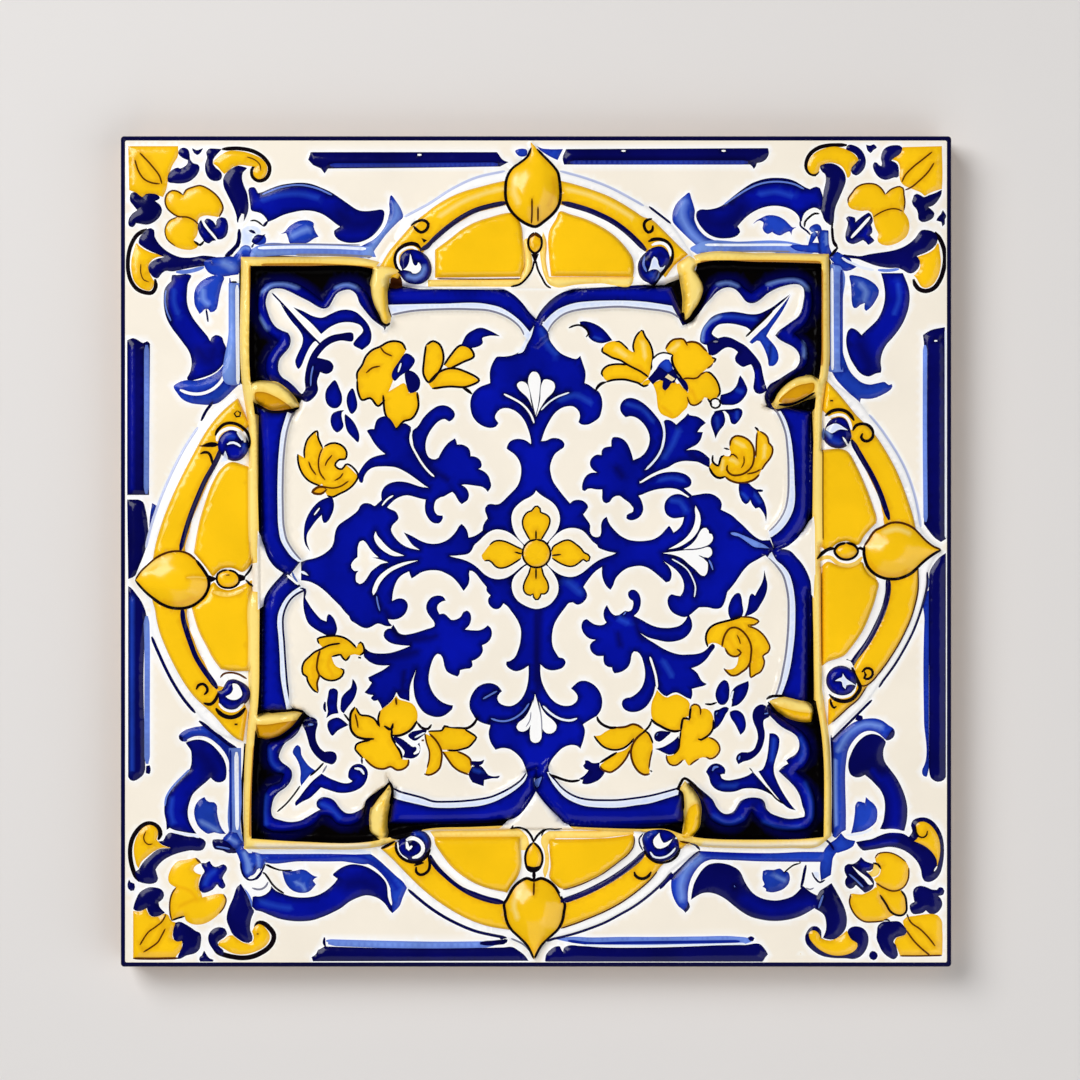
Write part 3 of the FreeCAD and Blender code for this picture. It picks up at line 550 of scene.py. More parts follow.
# ribbon knot at the frame's corner
blue +0.3/0.7 240,847 250,850 256,856 258,866 256,872 251,877.5 246,877.5 243,873 241.5,862 239,853
blue~sky w5 245,853 249,862 251,870
navy w3 252,856 254,864 253,871
sky +0.3/0.7 254,854 265,855 265.5,863 263,870 259,866 256,861
white w3.6 248,876.5 253,877.5 258,874.5 260.5,868
navy w2.2 242,872 245,877 250,880.5 255.2,879.7 259.5,875.5 262,872
white w4.5 248,886 252,892.5 258.4,894.3 264.8,892 269,888 270,884
grey w1.4 252,888.3 258.4,890.4 264.8,889.3 268,886
navy +0.3/0.6 212.5,840 222,839.5 228,834! 232,832 240,842 244.5,841! 236,850 230,853.5 222,850.5 215,848
pale w1.6 216,845.5 224,847 231,849
# left scroll, its leaf, lip and rail
blue +0.5/1.2 178.6,736.4 183.3,731 190.7,728 199,726.4 206.5,726 212.8,731 221.3,737.4 229.7,743.7
  237.6,750! 238.7,758.5 238.7,770 238.5,835 244,842 236,850 226,846 222.3,839.6 227.6,834.4 229.5,826!
  229.5,774 228,768 226.5,760.6 221.3,751 214,743.7 207.6,739.5 200.2,738 194,738.5 186.5,741.6
  182.3,741.6 179,739
navy w3.4 199,721 207,727 218,735.5 228,743.5 237.6,749.5
pale w4 236.5,766 236.5,800 236,832
white w2 187,740.5 194,737.6 200.5,737 208,738.7 214.5,743 222,750.5 227.4,760 229,770
navy +0.05/0.4 178.5,736 183,737.5 182.5,741.5 179.5,739.5
cobalt +0.38/2.2 185.4,742.7! 190.7,740.6 198,739.5 204.4,740.6 211.8,744.8 218,751 223.4,758.5 226,766
  226.5,773.2 225,780 220.2,782.5 215,781.7 212.3,779.6 210.7,777.7! 206.5,781.7 199,788 192.8,794.3
  189.7,801.7 187.8,810 188.6,819.6 191.8,827 196.5,833.8! 190.7,833.3 181.2,831.7 173.8,830 169.6,828!
  166.5,830! 166,821.7 164.4,814.3 164.4,804.8 166,797.5 169.6,790 176,782.7 183.3,775.3 189.7,769
  191.2,763.8 191.4,757.4 190.7,750.6 187.5,745.8
blue~navy w36 200,752 208,762 212,772
sky w2 189.5,769.5 183,776 175.5,783.5 169.5,791 166,798 164.8,806
blue~blue w8 172,800 171,812 173,822
blue +0.4/0.9 204.4,797! 206,800 209,802 214,802.3 217,806 217,812 218.5,820 222,829 226,834! 220,834
  214,832.5 208,834 203,831 198,826 195,819 194,812 195.5,805 199,800
blue~sky w8 202,822 210,826 218,831
ink w2.7 249.2,711 246,736.4 244,764 242.3,785 241.8,806 242.3,827 244,842
# edge bars
navy +0.5/0.9 128,586! 131,588 136,594 141,601 145,610 147,620 145,640 145,763! 145,770 143,775 139,778.5
  134,781 130,780 128,777!
sky w5.6 146.5,616 147,640 147,700 147,764
navy 146,766! 149.6,765.3! 150.5,768 149,774.3 145.6,773.2!
blue~blue w8 132,600 132,680 132,770
sky w3.6 326,941 380,942.5 440,943.5 496,943
sky w6 328,943 380,945 440,946 494,944.5
navy +0.5/0.9 324.5,946.5! 380,948 440,948.5 504,947.5! 512,947 519,951 526,957 528.5,961! 313,961.5!
  311.5,957.5! 316,954! 318,950!
navy w3 324.5,937.5 324,943 325.5,947
navy w5 500,938.5 506,938 505,941 498,942.5 480,943.5
white w3 416.5,939 419,941
pale w2.2 313,963.2 400,963.5 528,963
# knot and strips beside the frame
sky 229,748! 241,748! 241.5,800 242.5,838 244,842! 238,847! 231,838 228.8,830 229,790
pale w4 236.5,752 236.8,800 237.2,830
blue w2.6 230.5,750 230.5,800 231,832
ink w2 242,815 242.3,830 244,842
white 241,878! 250,881 260,878 266,872! 269,880 270,886 267,891 261,894.5 254,894.5 248,891 244,886!
grey w2 252,888 257,889.5 262,889 266,886 268,882
pale 248,850! 256,851.5 300,851.5 370,851! 372,854! 300,855 262,854
blue 264,854! 300,854 340,854 372,855! 372,860 340,861.5 300,861.5 265,861.5!
blue 223,838! 230,832 237,833! 241,840! 243.5,842! 238,847 235,848! 229,845 225,841
blue~sky w7 230,838 236,842
navy 212,842! 214,840 221,839.5 228,842 234,848 240,852! 233,853.5 226,851.5 219,850 214.5,849 212.5,845
sky w1.8 216,846.5 223,847.5 230,849
blue 250,851! 256,853.5 265,854! 265,860 263,866 260,871! 256,868 254,863 252,857
blue~sky w6 258,856 259,866
blue 235,850! 240,845 244,843! 246,846 250,851 254,856 257,862 254,868! 253,872 250,876.5 247,878.5
  243,876 240.5,869 240,862 238,856
blue~sky w7 244,853 247,862 248,872
pale 243,847! 246,845 250,848 252,853 249,853!
white w3 250,877.5 255,875.5 258,872 259.5,868.5
navy w2 240.5,862 241.5,870 244,876 249,880 255,879 259,875 262,870.5 265,864
ink w2.2 264,872.5 268,878 272,884 277,889 284,893.5
ink w1.6 265,864.5 271,867.5 277,869.5 283,870.5 292,870.5
# lower right corner and edges: bars along the edges
navy +0.5/0.9 946,553! 940,557 934,564 930,571 929,580 928.5,600 929,660 929,770! 931,778 938,782 944,780
  946,777!
blue 929,590! 926,592 924.5,620 923.5,660 924,720 924.5,765 922,771 923.5,776 926.5,777 928,773 929,768!
sky w1.6 927.5,574 928.5,582 926.5,592
sky 556,939.5! 570,937 590,937.5 620,937 660,937 700,936.5 735,936.5 748,938 754,940 750,942.5 745,944
  700,945 660,946 600,946 580,944 568,942
blue w3 568,941 590,943.5 620,943 660,942.5 700,942 740,941.5
pale w2 584,945.5 640,946 700,945 745,943.8
navy 748,937.5 751,936.2 754.5,938.5 753,941.5 750,941
navy +0.5/0.9 545,961! 546,955 550,950 556,946.5 560,946.5 561.5,950 563,952! 564,948 568,945.8 580,946
  600,947.3 640,947.7 690,946.5 720,945.3 745,945 761,944.8 764,948 766.5,951.5 768,954.5! 765,958
  762.5,963! 640,963 546,962.5!
# junction knot
white 801,862! 818,862! 832,850! 836,853! 832,878! 824,885 818,890 815,895 809,892 803,888! 806,870!
blue 830,843! 825,849 822,856 820,866 821,881! 831,875! 832,866 833.5,857 837,852! 834,848
blue 830,843! 836,839 841,833! 846,838.5 855.5,841! 853.5,846 848,849.5 841,852 837,853 833,849
navy w2.2 824,838.5 830,843.5 834,850
navy w2 812,872.5 815,878 820,882.5 825,880
pale 813,872! 818.5,872 819,880! 815,877
white w2.4 801,863.5 808,863 818,863.5
grey w1.6 806,888 810,889.5 814,888
# upper blue scroll
blue +0.4/0.9 832,741! 838,735 845,729 852,723.5 860,720 868,718.5 876,718.5 883,721 889,725.5 894,729
  895,733 893,738 890,740 886,740 884,738.5! 880,734.5 874,731.5 868,731 862,733 857,737 852,743 848,751
  846.5,760 845.5,770 845.5,790 846,810 846,830! 842,832 835,838 832.5,836! 833,800 833,770 832.5,750
blue~sky w9 838,750 850,732 866,724 880,726
blue~sky w6 835.5,760 835.5,800 836,825
navy 889.5,733! 893,729 895,733 893,738 890,740 886,740.5
navy 855,719.5! 859,715 862.5,716 863,719 858,721
navy w2.6 872,700 866,706 860,712 853,719 845,727 837,735 831,741.5
navy w2.4 831.5,735 832.5,760 833,800 832.5,834
navy +0.38/2.2 884,739! 880,736 874,734 867,735 861,739 855,746 851,754 848.5,762 848.5,769 851,775
  856,777.5 861,777 865,775! 870,779 876,785 881,791 884,798 885,806 884.5,814 883,822 880,829! 890,830
  904.5,831! 906.5,823 907.5,814 907.3,806 905,796 901,786 896,777 890,769 885,762 883.3,755 884,748
  886,742
blue~cobalt w22 886,780 895,800 895,828
blue~cobalt w10 872,770 880,780
blue +0.4/0.9 866,797! 869,800 874,804 877,809 877.5,815 876,822 871,827 864,831 857,832.5 851,833.5!
  852.5,828 854,820 855,812 855.5,805 858,801.5 862,802 865,803!
pale w2.4 846,835 855,834.5 866,832 872,829
# lower blue scroll
blue +0.4/0.9 700,851! 694,856 688,862 681,869 674,876 671.5,879! 671,885 672,893 675,901 679,907 683,910
  685.5,913! 688,910.5 690,907 688,901! 688,893 689,886 692,877 697,869 703,863 710,860 720,860 760,861.5
  800,862! 822,862! 824,852! 800,852 780,853 750,853 720,852
blue~sky w12 700,858 688,868 681,884 682,898
blue~cobalt w8 704,853 730,854 760,855
navy 688,901.5! 690,906.5 687,911.5 685.5,913 684,910.5 687,907
navy w3.2 660,889 668,880 674,875 682,867.5 690,859.5 700,851
navy 669.5,870! 673,874 676,876 671,880
navy +0.38/2.2 691,900! 692,892 694,884 698,876 703,869 709,864.5 716,863 724,863.5 732,866 738,869.5
  741,873 744,880 748,887 754,894 761,898 769,900 777,900.5 785,899 793,896 799,890.5 803,886! 812,893
  816,895 820,897 820,905! 813.5,909! 806,913.5 800,916.5 790,919.5 780,921 770,921 760,919.5 751,917
  742,912 734,906 726,899.5 718,895 710,892.8 702,893.5 696,896.5
blue~cobalt w24 746,900 770,910 810,903
navy w3 806,865 804.5,872 803,880 801,888
blue +0.4/0.9 763,871! 766,870 774,870 780,868.5 784,872! 788,872 790,877 789,883 785,888 778,891.5
  771,892.5 766,891.5! 766,889 762.5,887! 764.5,884.5 762.5,880 762.5,875
blue~sky w7 776,876 784,880
ink w1.7 784,873 789,868.5 794,865 800,863.5
ink w3 799.5,861 800.5,863.5
sky w1.4 734,885.5 735,887
# corner flower and leaves
navy +0.4/0.9 856,842! 864,840.5 872,839 880,835.5 888,833 896,832.8 904,834 909,837! 912.5,831 911,825.5
  913,820.5 918,818 925,817.5 932,820.5 938,827 942,835 944,845 944,856 942.5,866 940,874 936,879 930,882
  925,881.5 922.5,878 921,870 918,863 912,856 905,851 897,848 889,847 880,848.5 870,850 863,850.5 859,847
white w2.4 856,840 866,838 876,834.5 886,830.5 896,830.5 903,832
yellow +0.3/0.8 914,841! 918,837 916,832 915.5,826 918,822.5 923,821.5 929,824 934.5,830 938.5,838 940,847
  939.5,856 937,866! 936.5,860 933,853.5 927,847.5 920,843.5
ink w1.8 915.5,826 916,832 919,836.5 923.5,837 926.5,834 927,830.5
white w1.6 937,866 934,871
blue~cobalt w8 866,845 880,843 896,841
yellow +0.3/0.8 875,857! 878,854 884,852.5 891,853 899,856.5 906,862 909,868 909,877 907,884 902,889
  895,891 888,889 882,886.5 876,882.5! 874,879 878,876.5 880.5,872 880.5,868 879,865 876,862
straw 874,864! 878,866 880,870 878,875 872,877 867,873! 872,871
yellow +0.3/0.8 851,894 856,894 862,894.5 866,893 872,890 876,887! 880,893 884,900 888,907 892,912
  895,915! 890,917 884,921 874,922 864,921.5 857,917 852,910 849.5,902 850,897
yellow +0.3/0.8 876,884! 882,887 889,890 896,891.5 901,890.5 905,895 906.5,903 906.5,911 904.5,915 897,915
  892,912 887,905 882,897 877,889
brown w1.7 876,883 884,888 892,891 898,890.5 904,887 908,880 909,868
brown w1.4 875,858 878,854 884,852.5 891,853 899,856.5 906,862
ink w2.3 901,890.5 905,896 906.5,904 906,912 903,915 896,915 891,912 886,904 880,895
ink w2.3 873,863 878,864.5 881,869
brown w1.7 851,894 849.5,902 852,910 857,917 864,921.5 874,922 884,921
ink w2.1 884,920 888,920 890,921.5
navy +0.3/0.8 848,864! 853,864 859,860 861,857! 865,861 870,863 874,864! 873,869 870,871 866,871! 871,876
  874,881 874,886 871,890 865,893! 861,889.5 856,885! 854,887.5 850,889 846,886 845,881 847,877! 844.5,871
  845,866
white 852,866! 856,869 862,873.5 868,878 873,884! 870,885 864,879 858,873.5
sky w1.8 849,874 856,880 863,887
blue~cobalt w9 862,864 868,867
navy +0.4/0.9 914,889 919,886 926,887 932,889.5 937,890! 939,887.5 943,888 944.5,891 943,895 938.5,896!
  941,899 942.5,904 940,910 935,914 930,914 926,910.5! 923,913 919,914 913,914 910,909 910,905 914.5,902!
  913.5,897 913,892
yellow +0.3/0.8 907,917! 914,916 924,914.5 931,914 937,915 941.5,920 942.5,930 942.5,955! 930,955.5
  915,956 900,955.5! 897,948 894.5,942 897,937.5 903,936 907,932! 904,926 903,921
brown w1.7 908,918 911,922.5 920,929 928,937 935,946
brown w1.8 906,930 914,941 921,948 930,955.5
brown w1.7 900,956 920,956 942,955.5
ink w2.1 907,914 908.5,918
navy +0.4/0.9 877,933 878,926 883,922 890,921.5 900,922 904,926 907,931 905,935 900,936.5 896,938
  893.5,942 896,945! 897.5,951 898,955.5 894,959.5 889,957.5 883,952.5 879,945 876.5,938
navy 869,956 872,951 875,951.5 878,956 874,960.5 870.5,959
navy +0.3/0.8 805,938 807.5,931 812,926.5 817,926.5 821,930.5 821.5,938! 830,942 840,940 847,934!
  848.5,929.5 852,927 858,926.5 864,929 868,935 868.5,942 866,950 860,957 855,959 846,958.5 832,958
  822,956 812,950 806,943
yellow +0.3/0.8 809,933 812,930.5 816,931 819,934 821,938.5! 826,940 831,940.5 837,938 843,934 847,930.5!
  848.5,935 852,940 857,943 857.5,946 854,951 848,954 840,955.5 832,955 822,951 814,944.5 809.5,938
navy +0.45/1.0 831.5,883! 835,889 840,898 845,909 847,919 845.5,929 840,936 834,939.5 828,939.5 823,938!
  826,930 826,922 824,915 819,911 815,909! 816,900 820,891 826,887
sky w2 823,895 820.5,902 818.5,908
tan w1.8 800,953.5 801.2,954.5
# half-round square frame and the black ground inside it
straw @1.4/0.9 241,257! 300,257 376,261 400,270 430,281 470,282.5 536,284 600,282.5 640,281 670,268
  697,254.5 760,253 829,254! 829.5,320 829,368 824,400 822,440 821,500 820.5,551 821,610 822,660 824,700
  826.5,718 829.5,740 831,770 831.5,836! 818,846.5 790,848 760,848.5 730,848 705,847 690,845 676,842
  640,833 600,830.5 536,829.5 470,830.5 430,832 400,841 376,847 300,849 244,849! 243.5,800 246,740 250,700
  251.5,640 251.5,560 250,480 247,420 242,385
amber w3.4 251,266 252,330 252,380
amber w3 262,265.5 320,265.5 374,268.5
amber w3 700,262.5 760,262 820,263
amber w3 821,270 821,320 821,366
amber w3 251,836 252,800 255,745
pit @-1.6/0.6 251,266.5! 300,266.5 376,270 400,279 430,287 470,288 536,288.5 600,287.5 640,286 670,276
  697,264 760,262.5 821,264! 821,320 820,368 815,400 813,440 812,500 811.5,551 812,600 813,640 814,680
  815.5,702 818,715 821,735 823,760 823.5,800 823,836.5! 800,838.5 770,839 740,839 715,838.5 698,837
  680,833 668,829 640,828.5 600,827.5 536,824.5 470,826.5 430,828 400,834 376,840 300,841 252,838! 252,800
  255,740 259,700 260,640 260,560 258,480 256,420 251.5,385
# ground beside the cartouche points
cream @1/0.8 486,285! 536,284.5! 590,284! 572,291! 537,323! 503,291!
cream @1/0.8 498,829! 574,829! 560,818! 536,788! 512,818!
cream @1/0.8 257.5,528! 258.5,610! 263,606! 289,573! 265,546!
cream 249,564! 262,562! 262,592! 249,591!
cream @1/0.8 814,515! 815,603! 811,594! 770,551! 803,531!
# cartouche bands and corner rims
cobalt @0.5/1.2 380,287! 495,288 505,290 515,296 523,304 530,313 536,319! 540,312 545,306 551,300 558,295
  564,292 572,289.5 580,287.5 590,286 605,285.5 630,285.5 672,286! 690,330! 672,340! 536,360! 388,340!
  380,330!
cobalt @0.5/1.2 811.5,411! 811.5,500 811,510 808.5,520 805,528 800,535 794,541 788.5,545.5 775.5,551!
  760,551! 740,420! 780,405!
cobalt @0.5/1.2 254.5,403! 257.4,415! 258.7,440 259.8,480 260.6,520 261.5,540 264.5,548 270,560.5
  276.3,568 283.7,573! 277.3,580 271,587.3 265.6,596 262.6,606.5 261.8,618.3 261.5,645 260.9,680
  260.3,711! 290,716! 320,640! 320,480! 290,405!
cobalt @0.5/1.2 392,797.5! 388,824! 400,824.6 424.8,825 447.2,824.8 475.2,824 492,823 503.2,821.2
  512.2,819.4 522.2,812 529,803 535,793! 536.5,770! 470,780! 400,780!
cobalt @0.5/1.2 256,300 259,288 266,281 280,279.5 292,281 303,286 312,292 318,297 322,300! 330,288 338,282
  347,280 356,282 362,287 370,297 374,306 384,323! 390,330! 310,400! 300,398! 285,390 270,381 265,374
  264,366 266,356 271,348 277,341! 270,336 262,327 257,315
cobalt @0.5/1.2 707,291 712,284 718,280 726,278 734,278.5 740,281 745,286.5 752,291! 757,287 763,283
  772,279 782,276.5 792,275.5 800,276 807,278.5 811,283 813,290 814,298 813.5,306 812,314 809,321 805,326
  796,333! 801,337 806,342 809,348 809.5,356 808,364 804,369 799,373 785,385! 770,400! 690,335! 695,315!
cobalt @0.5/1.2 297,725 282,737 270,741 266,745 264.8,754 266.4,764.7 272.3,773 282,775.3! 278.7,782.8
  271.2,785 266,789 262.7,796.7 261.6,807 261,818 261.6,827.6 268,832 278.7,833.5 289.3,833 302,831
  315,824.4 321.3,817! 328.8,818 335.2,824.4 344.8,827 354.4,825.5 362,820 365,812.7 366,805! 378,792!
  388,786! 380,776! 330,730!
blue~sky w7 262,292 272,285 284,284 298,288
blue~sky w7 336,287 346,284.5 356,287
blue~sky w7 260,318 266,328
blue~sky w7 718,284 728,282.5 738,286
blue~sky w7 768,284 782,280.5 798,280.5 808,288
blue~sky w7 805,340 804,356
blue~blue w8 270,750 272,762 280,770
blue~blue w8 266,796 265,812 266,824
blue~blue w8 322,804 330,808 340,818
blue~navy w14 381,776 388,782 381,792
# black ground turning blue beside the corner rims
dark~navy w17 282,389 264,372 270,349 276,341 262,328 255,302 264,282 284,279 308,288 321,299 338,281
  356,281 373,305
dark~navy w17 706,292 720,279 738,280 752,291 772,278 800,275 814,292 811,318 797,333 809,348 806,368
  799,374
dark~navy w17 296,726 268,742 265,758 281,776 265,790 261,818 272,833 302,831 321,818 344,827 362,820
  366,805
# pale lower rod, and the left rod's gap at the bud
gold~cream w8 258,845 300,845.5 368,844.5
gold~cream w8 704,843.5 760,844.5 816,842.5
# pale strips and field
pale 388,305! 440,304 488,304.5 500,307.5 510,313 520,321 528,330 536,340! 541,326 546,320 552,314 559,309
  567,305.5 576,303 590,301.5 610,300.8 630,301 645,302 672,306! 690,340! 536,420! 400,340!
pale 780.5,411! 785,419 788.5,429 791,440 792.8,455 794.5,485 794.8,497 793.5,508 790,517 785,525
  779,531.5 771.5,537! 740,540! 740,420!
pale 287.5,412! 285,420 282,430 279.3,450 277.8,480 277.8,505 279,530 281,540 286.5,550 291,556 298,561.5!
  301.5,562! 330,530! 330,430!
pale 300.8,586.3! 295.5,589.5 287,597 281.6,605.5 278.4,614 277.5,623.6 278.4,633 280,656.7 281,678
  283.7,694 287,710! 295,712! 340,690! 340,600!
pale 392.3,797.6! 402.4,800.4 419.2,804.3 431.5,807 447.2,807.7 464,807 480.8,805.4 494.2,801.5 505.4,796
  516.6,788.6 524.5,780.8 527.8,774! 520,740! 400,770! 392,785!
grey w2.2 392,315 410,311.5 440,309.5 470,309.5 490,311 500,314 510,319 520,328 524,335
grey w2.2 548,332 552,325 557,319.5 563,315 570,312 580,309.8 595,308.3 622,307 635,308 650,309.5 662,311
  672,313.5 679,318
grey w2.2 775,409 779,416 782.5,424 785.5,434 787,446 788.3,475 787.5,497 785.5,507 781,517 775,525
  769,531
grey w2.2 293,412 287.5,430 284,455 283,480 283,505 284.5,530 287,540 291.5,548 301,560
navy w2.2 305,590 297.6,593.7 291.2,599 286,607.6 283.5,616 283.2,627 284.3,640.7 286,667 288,688.7
  292.3,709
navy w2.2 393,789.8 408,793.7 422.6,797.6 432.6,801 447.2,801.5 460.6,801 477.4,799.3 489.8,797 501,792.6
  512.2,786.4 521,779.7 526.2,773
cream @-0.2/0.8 392,316! 410,312.5 440,310.5 470,310.5 490,312 500,315 510,320 520,329 524,336 536,345!
  548,333 552,326 557,320.5 563,316 570,313 580,310.8 595,309.3 622,308 635,309 650,310.5 662,312
  672,314.5 679,319! 690,340! 745,395! 774,410! 778,416.5 781.5,424.5 784.5,434 786,446 787.3,475
  786.5,497 784.5,507 780,517 774,525 768,531! 774,549! 772,556! 776,567 783,585 786,605 786,640 784,690
  780,705! 745,735! 690,785! 680,788 660,796 620,800 590,799 565,790 548,776 536,768! 527,772 520.5,779
  511.8,785.4 500.5,791.6 489.5,796 477.2,798.3 460.4,800 447.2,800.5 433,800 423,796.6 408.3,792.7
  393.5,788.8! 385,775! 330,735! 303,712! 292.5,708.5 289,688.7 287,667 285.3,640.7 284.2,627 284.5,616
  287,607.8 292,599.6 298.2,594.5 306,591! 290,575! 302,560! 292.5,548 288,540 285.5,530 284,505 284,480
  285,455 288.5,430 294,412! 303,396! 320,380! 385,330!
cream @-0.2/0.8 270,291 282,289 290,292 300,297 310,302 318,307 324,309 329,307 332,302 338,293 344,290.5
  350,290 355,293 360,304 366,312 372,319 384,328! 400,420! 308,391! 303.5,394 294,386 288,381 282,377
  279,372 278.5,365 280,359 284,354 289,348 291,342 288,333 283,331 276,327 271,320 268,312 266,303
  267,297
cream @-0.2/0.8 700,312 705,305 711,298.5 716,293 721,289.5 727,287.7 733,288.5 738,292 742,297 745,301
  750,303.5 755,303 760,300 767,294 776,289 785,286 793,284.5 799,285 803,288 804,293 803,302 801,311
  797.5,317 791,322 784,327 778,331.5 775,335.5! 779,339.5 785,343 792,346.5 797,351 799.5,357 799,363
  796,368 790,372 783,376.5 776,381 770,384 767,388! 768,404! 730,430! 665,360! 680,327! 692,321!
cream @-0.2/0.8 302,723! 298,732.7 292.5,738 285,743.3 280.8,750.8 279.2,757 282,762 287.2,765.7 291.5,770
  292.5,775.3 290.4,781.7 285,788 278.7,792.4 274.4,797.7 272.3,805 271.7,812.7 273.3,817 279.7,819.6
  289.3,821.7 299,820.7 308.5,816 317,811 320.3,809.5! 317,806.3 317,801 321.3,797.2 327.7,797.2 334,800
  337.3,804 340.5,808.4 346,812.7 351.2,813.2 357.6,811 363.5,807.3 365.6,801 368.3,797.7 378,791.3
  388.5,785.5! 385,760! 330,715!
# lower right of the cartouche
cobalt @0.5/1.2 771.5,551! 783,549 790,551 796,557 802,564 807,573 810,581 811,592 811.5,620 811,660
  808,711! 775,712! 740,690! 740,560!
cobalt @0.5/1.2 537,793! 543,801 550,809 558,817 564,823 572,825.5 590,827 610,827.5 640,827.5 660,826.5
  684,823! 690,780! 560,745! 537,770!
cobalt @0.5/1.2 780,716! 790,723 798,728 806,735 811,744 812,754 809,763 803,770 798,772! 806,778 812,787
  816,798 817,810 815,822 810,829 800,832 785,832 772,829.5 762,825 756,819 752,814! 747,822 738,827
  728,828 718,825.5 710,820 706,812 703,803 697,795! 684,776! 690,760! 745,735! 768,705!
blue~navy w12 806,600 807,660 804,700
blue~blue w9 800,738 804,748 801,760
blue~blue w10 806,784 811,800 811,818
blue~blue w9 764,822 780,828 800,827
blue~blue w9 714,816 728,823 742,818
blue~navy w12 752,815 753,806
blue~navy w10 698,797 704,812
blue~navy w14 776,716 792,726
dark~navy w17 788,722 808,737 811,758 799,772 814,794 816,816 804,832 776,831 752,815 736,828 712,822
  702,802
pale 771.5,551! 776,560 783,566 789,574 792,583 794,594 795,606 795,620 794.5,634 793,648 791,662 788,676
  784,688 780,698! 760,700! 740,600!
pale 547,772! 552,782 558,790 565,797 574,802 584,805.5 596,807 610,807.5 622,807 636,805 650,803
  662,799.5 678,794.5! 680,780! 600,770!
grey w2.4 767,557.5 777,567 783,576 786,586 788,598 788.3,612 788,626 787,640 785.5,654 783,668 780,682
  775.5,696
navy w2.2 549,773 556,780.5 562,787.5 570,793.5 579,797.5 590,799.5 604,800 618,799.8 634,798 650,795.5
  664,792 678,788
navy w4 634,797.6 637,797.2
cream @-0.2/0.8 762,552! 776,567 782,576 785,586 787,598 787.3,612 787,626 786,640 784.5,654 782,668
  779,682 774,697! 745,733! 700,780! 678,787! 664,791 650,794.5 634,797 618,798.8 604,799 590,798.5
  579,796.5 570,792.5 562,786.5 556,779.5 549,771! 540,700! 640,580! 730,530!
cream @-0.2/0.8 768,714! 773,719 778,724 785,729 792,732.5 797,737 799,743 798,750 794,755 788,758.5
  786,760.5! 788,763.5! 782,767 778.5,771! 783,775.5 790,782 796,789 800,797 802,805 804.5,814 804,816.5!
  797,818 788,818.5 778,816 770,812.5 766,808 765,803 762,799 757,797.5 751,797.2 745,798.5 740,801
  737,805.5 733.5,811 729,813.5 724,813.5 719.5,810.5 716,806 713,800 709,796 703,791 697,786 690,780.5
  684,776.5! 690,750! 745,720! 766,700!
# upper left of the field: corner lobe brushwork
cobalt +0.05/0.4 293,307! 303,311 313,316 322,317.5 330,314 338,310.5 348,309.5 356,312 363,318 369,326
  371.5,335 370,343 362,350! 353,344 357,338 363,330 361,326 355,323 347,322 339,323 330,327 321,334!
  312,324 296,310
cobalt +0.05/0.4 280,303! 287,315 293,323 299,330 302.5,337 302,344 298,353 295,362 298.5,369 301,366
  304,359 307,352 311,345 315,341 322,346.5! 310,334 300,324 290,313
navy w1.8 272,293 290,312 306,330 322,346
navy +0.05/0.4 304.5,391 304.5,379 307.5,363 311,354.5 316.5,346.5 323,340 331,335.5 340,333.5 353,333.5
  353,340.5 340,340.5 333,342.5 327,346 321.5,351.5 317,357.5! 324,359 330,361 333.5,366 332,371 326,374
  320,372! 317,382 318,390 315,396 306,402 298,397!
sky w1.6 313,366 311,376 310.5,386
# sprig
cobalt +0.05/0.4 334,380 340,390 342,397 341,404 337,408 332,408 327,404 325,397 326,390 330,384
cobalt +0.05/0.4 352,388 356,397 356.5,409 352,414 346.5,403 348,393
cobalt +0.05/0.4 344,410.5 342,412 341.5,416 342.5,421 343.5,426 341,430 337,432.5 333.5,430 331,425
  330.3,420 331,416 333.5,412.5 337,411
cobalt +0.05/0.4 345,414 349,417 353,421 356.5,427 358.8,433 359.3,438 358,442.5 354,439 350,435 347,431
  345.5,426 344.5,420
# upper spray: leaves, stem and flower
ink w3.4 462,387 467,390 472,394
yellow +0.08/0.5 426,345 424,360 424,376 428,382! 438,373 443.5,357 438,343 433,341
yellow +0.08/0.5 444,365! 450,356 462,345 469,347 474,356! 463,362 450,368.5
yellow +0.08/0.5 428,383! 440,371.5 448,368.5 456,368.5 464,371 479,380.5! 467,386.5 449,386.5 432,388.5
ink w2.3 426,345 424,360 424,376 428,382 438,373 443.5,357 438,343 433,341 426,345
ink w2.3 444,365 450,356 462,345 469,347 474,356 463,362 450,368.5
ink w2.3 428,383 440,371.5 448,368.5 456,368.5 464,371 479,380.5 467,386.5 449,386.5 432,388.5
cobalt +0.05/0.4 461,345! 467,334 473,330 480,327.5 490,330.5 500,336! 488,336 482,338.5 483,342 472,348
yellow +0.08/0.5 357,373 362,365 366,356 372,350 380,346.5 388,342 395,341 402,343 406,350! 400,362
  394,378 386,396 378,406! 370,398 362,400 358,392 357,380
yellow +0.08/0.5 383,395! 396,387 404,383 409,393! 417,392 418,408 411,419 404,421 396,429 386,416
ink w2.3 357,380 357,373 362,365 366,356 372,350 380,346.5 388,342 395,341 402,343 406,350
ink w2.3 357,380 358,392 362,400 370,398 378,406 385,400
ink w2.3 383,395 386,416 396,429 404,421 411,419 418,408 417,392
brown w1.7 380,346.5 384,352 392,356
brown w1.8 366,373 372,368 380,366
navy +0.05/0.4 406,370 414,372 420,380 418,390 410,393 406,384
cobalt +0.05/0.4 406,353 415,360 411,368 400,376 394,381 392,378 399,361
pale w1.8 401,363 398,372
# left tulip and its leaf
yellow +0.08/0.5 297.6,454! 298,462 300,469 303.5,475.5 309,481 315,484 319.5,485.5! 326,480 318,470
  310,463 304.5,458
yellow +0.08/0.5 304.5,458! 304,452 305,446 307,440 310,436 313.5,433.5 317,431! 315.8,434 318,437.5
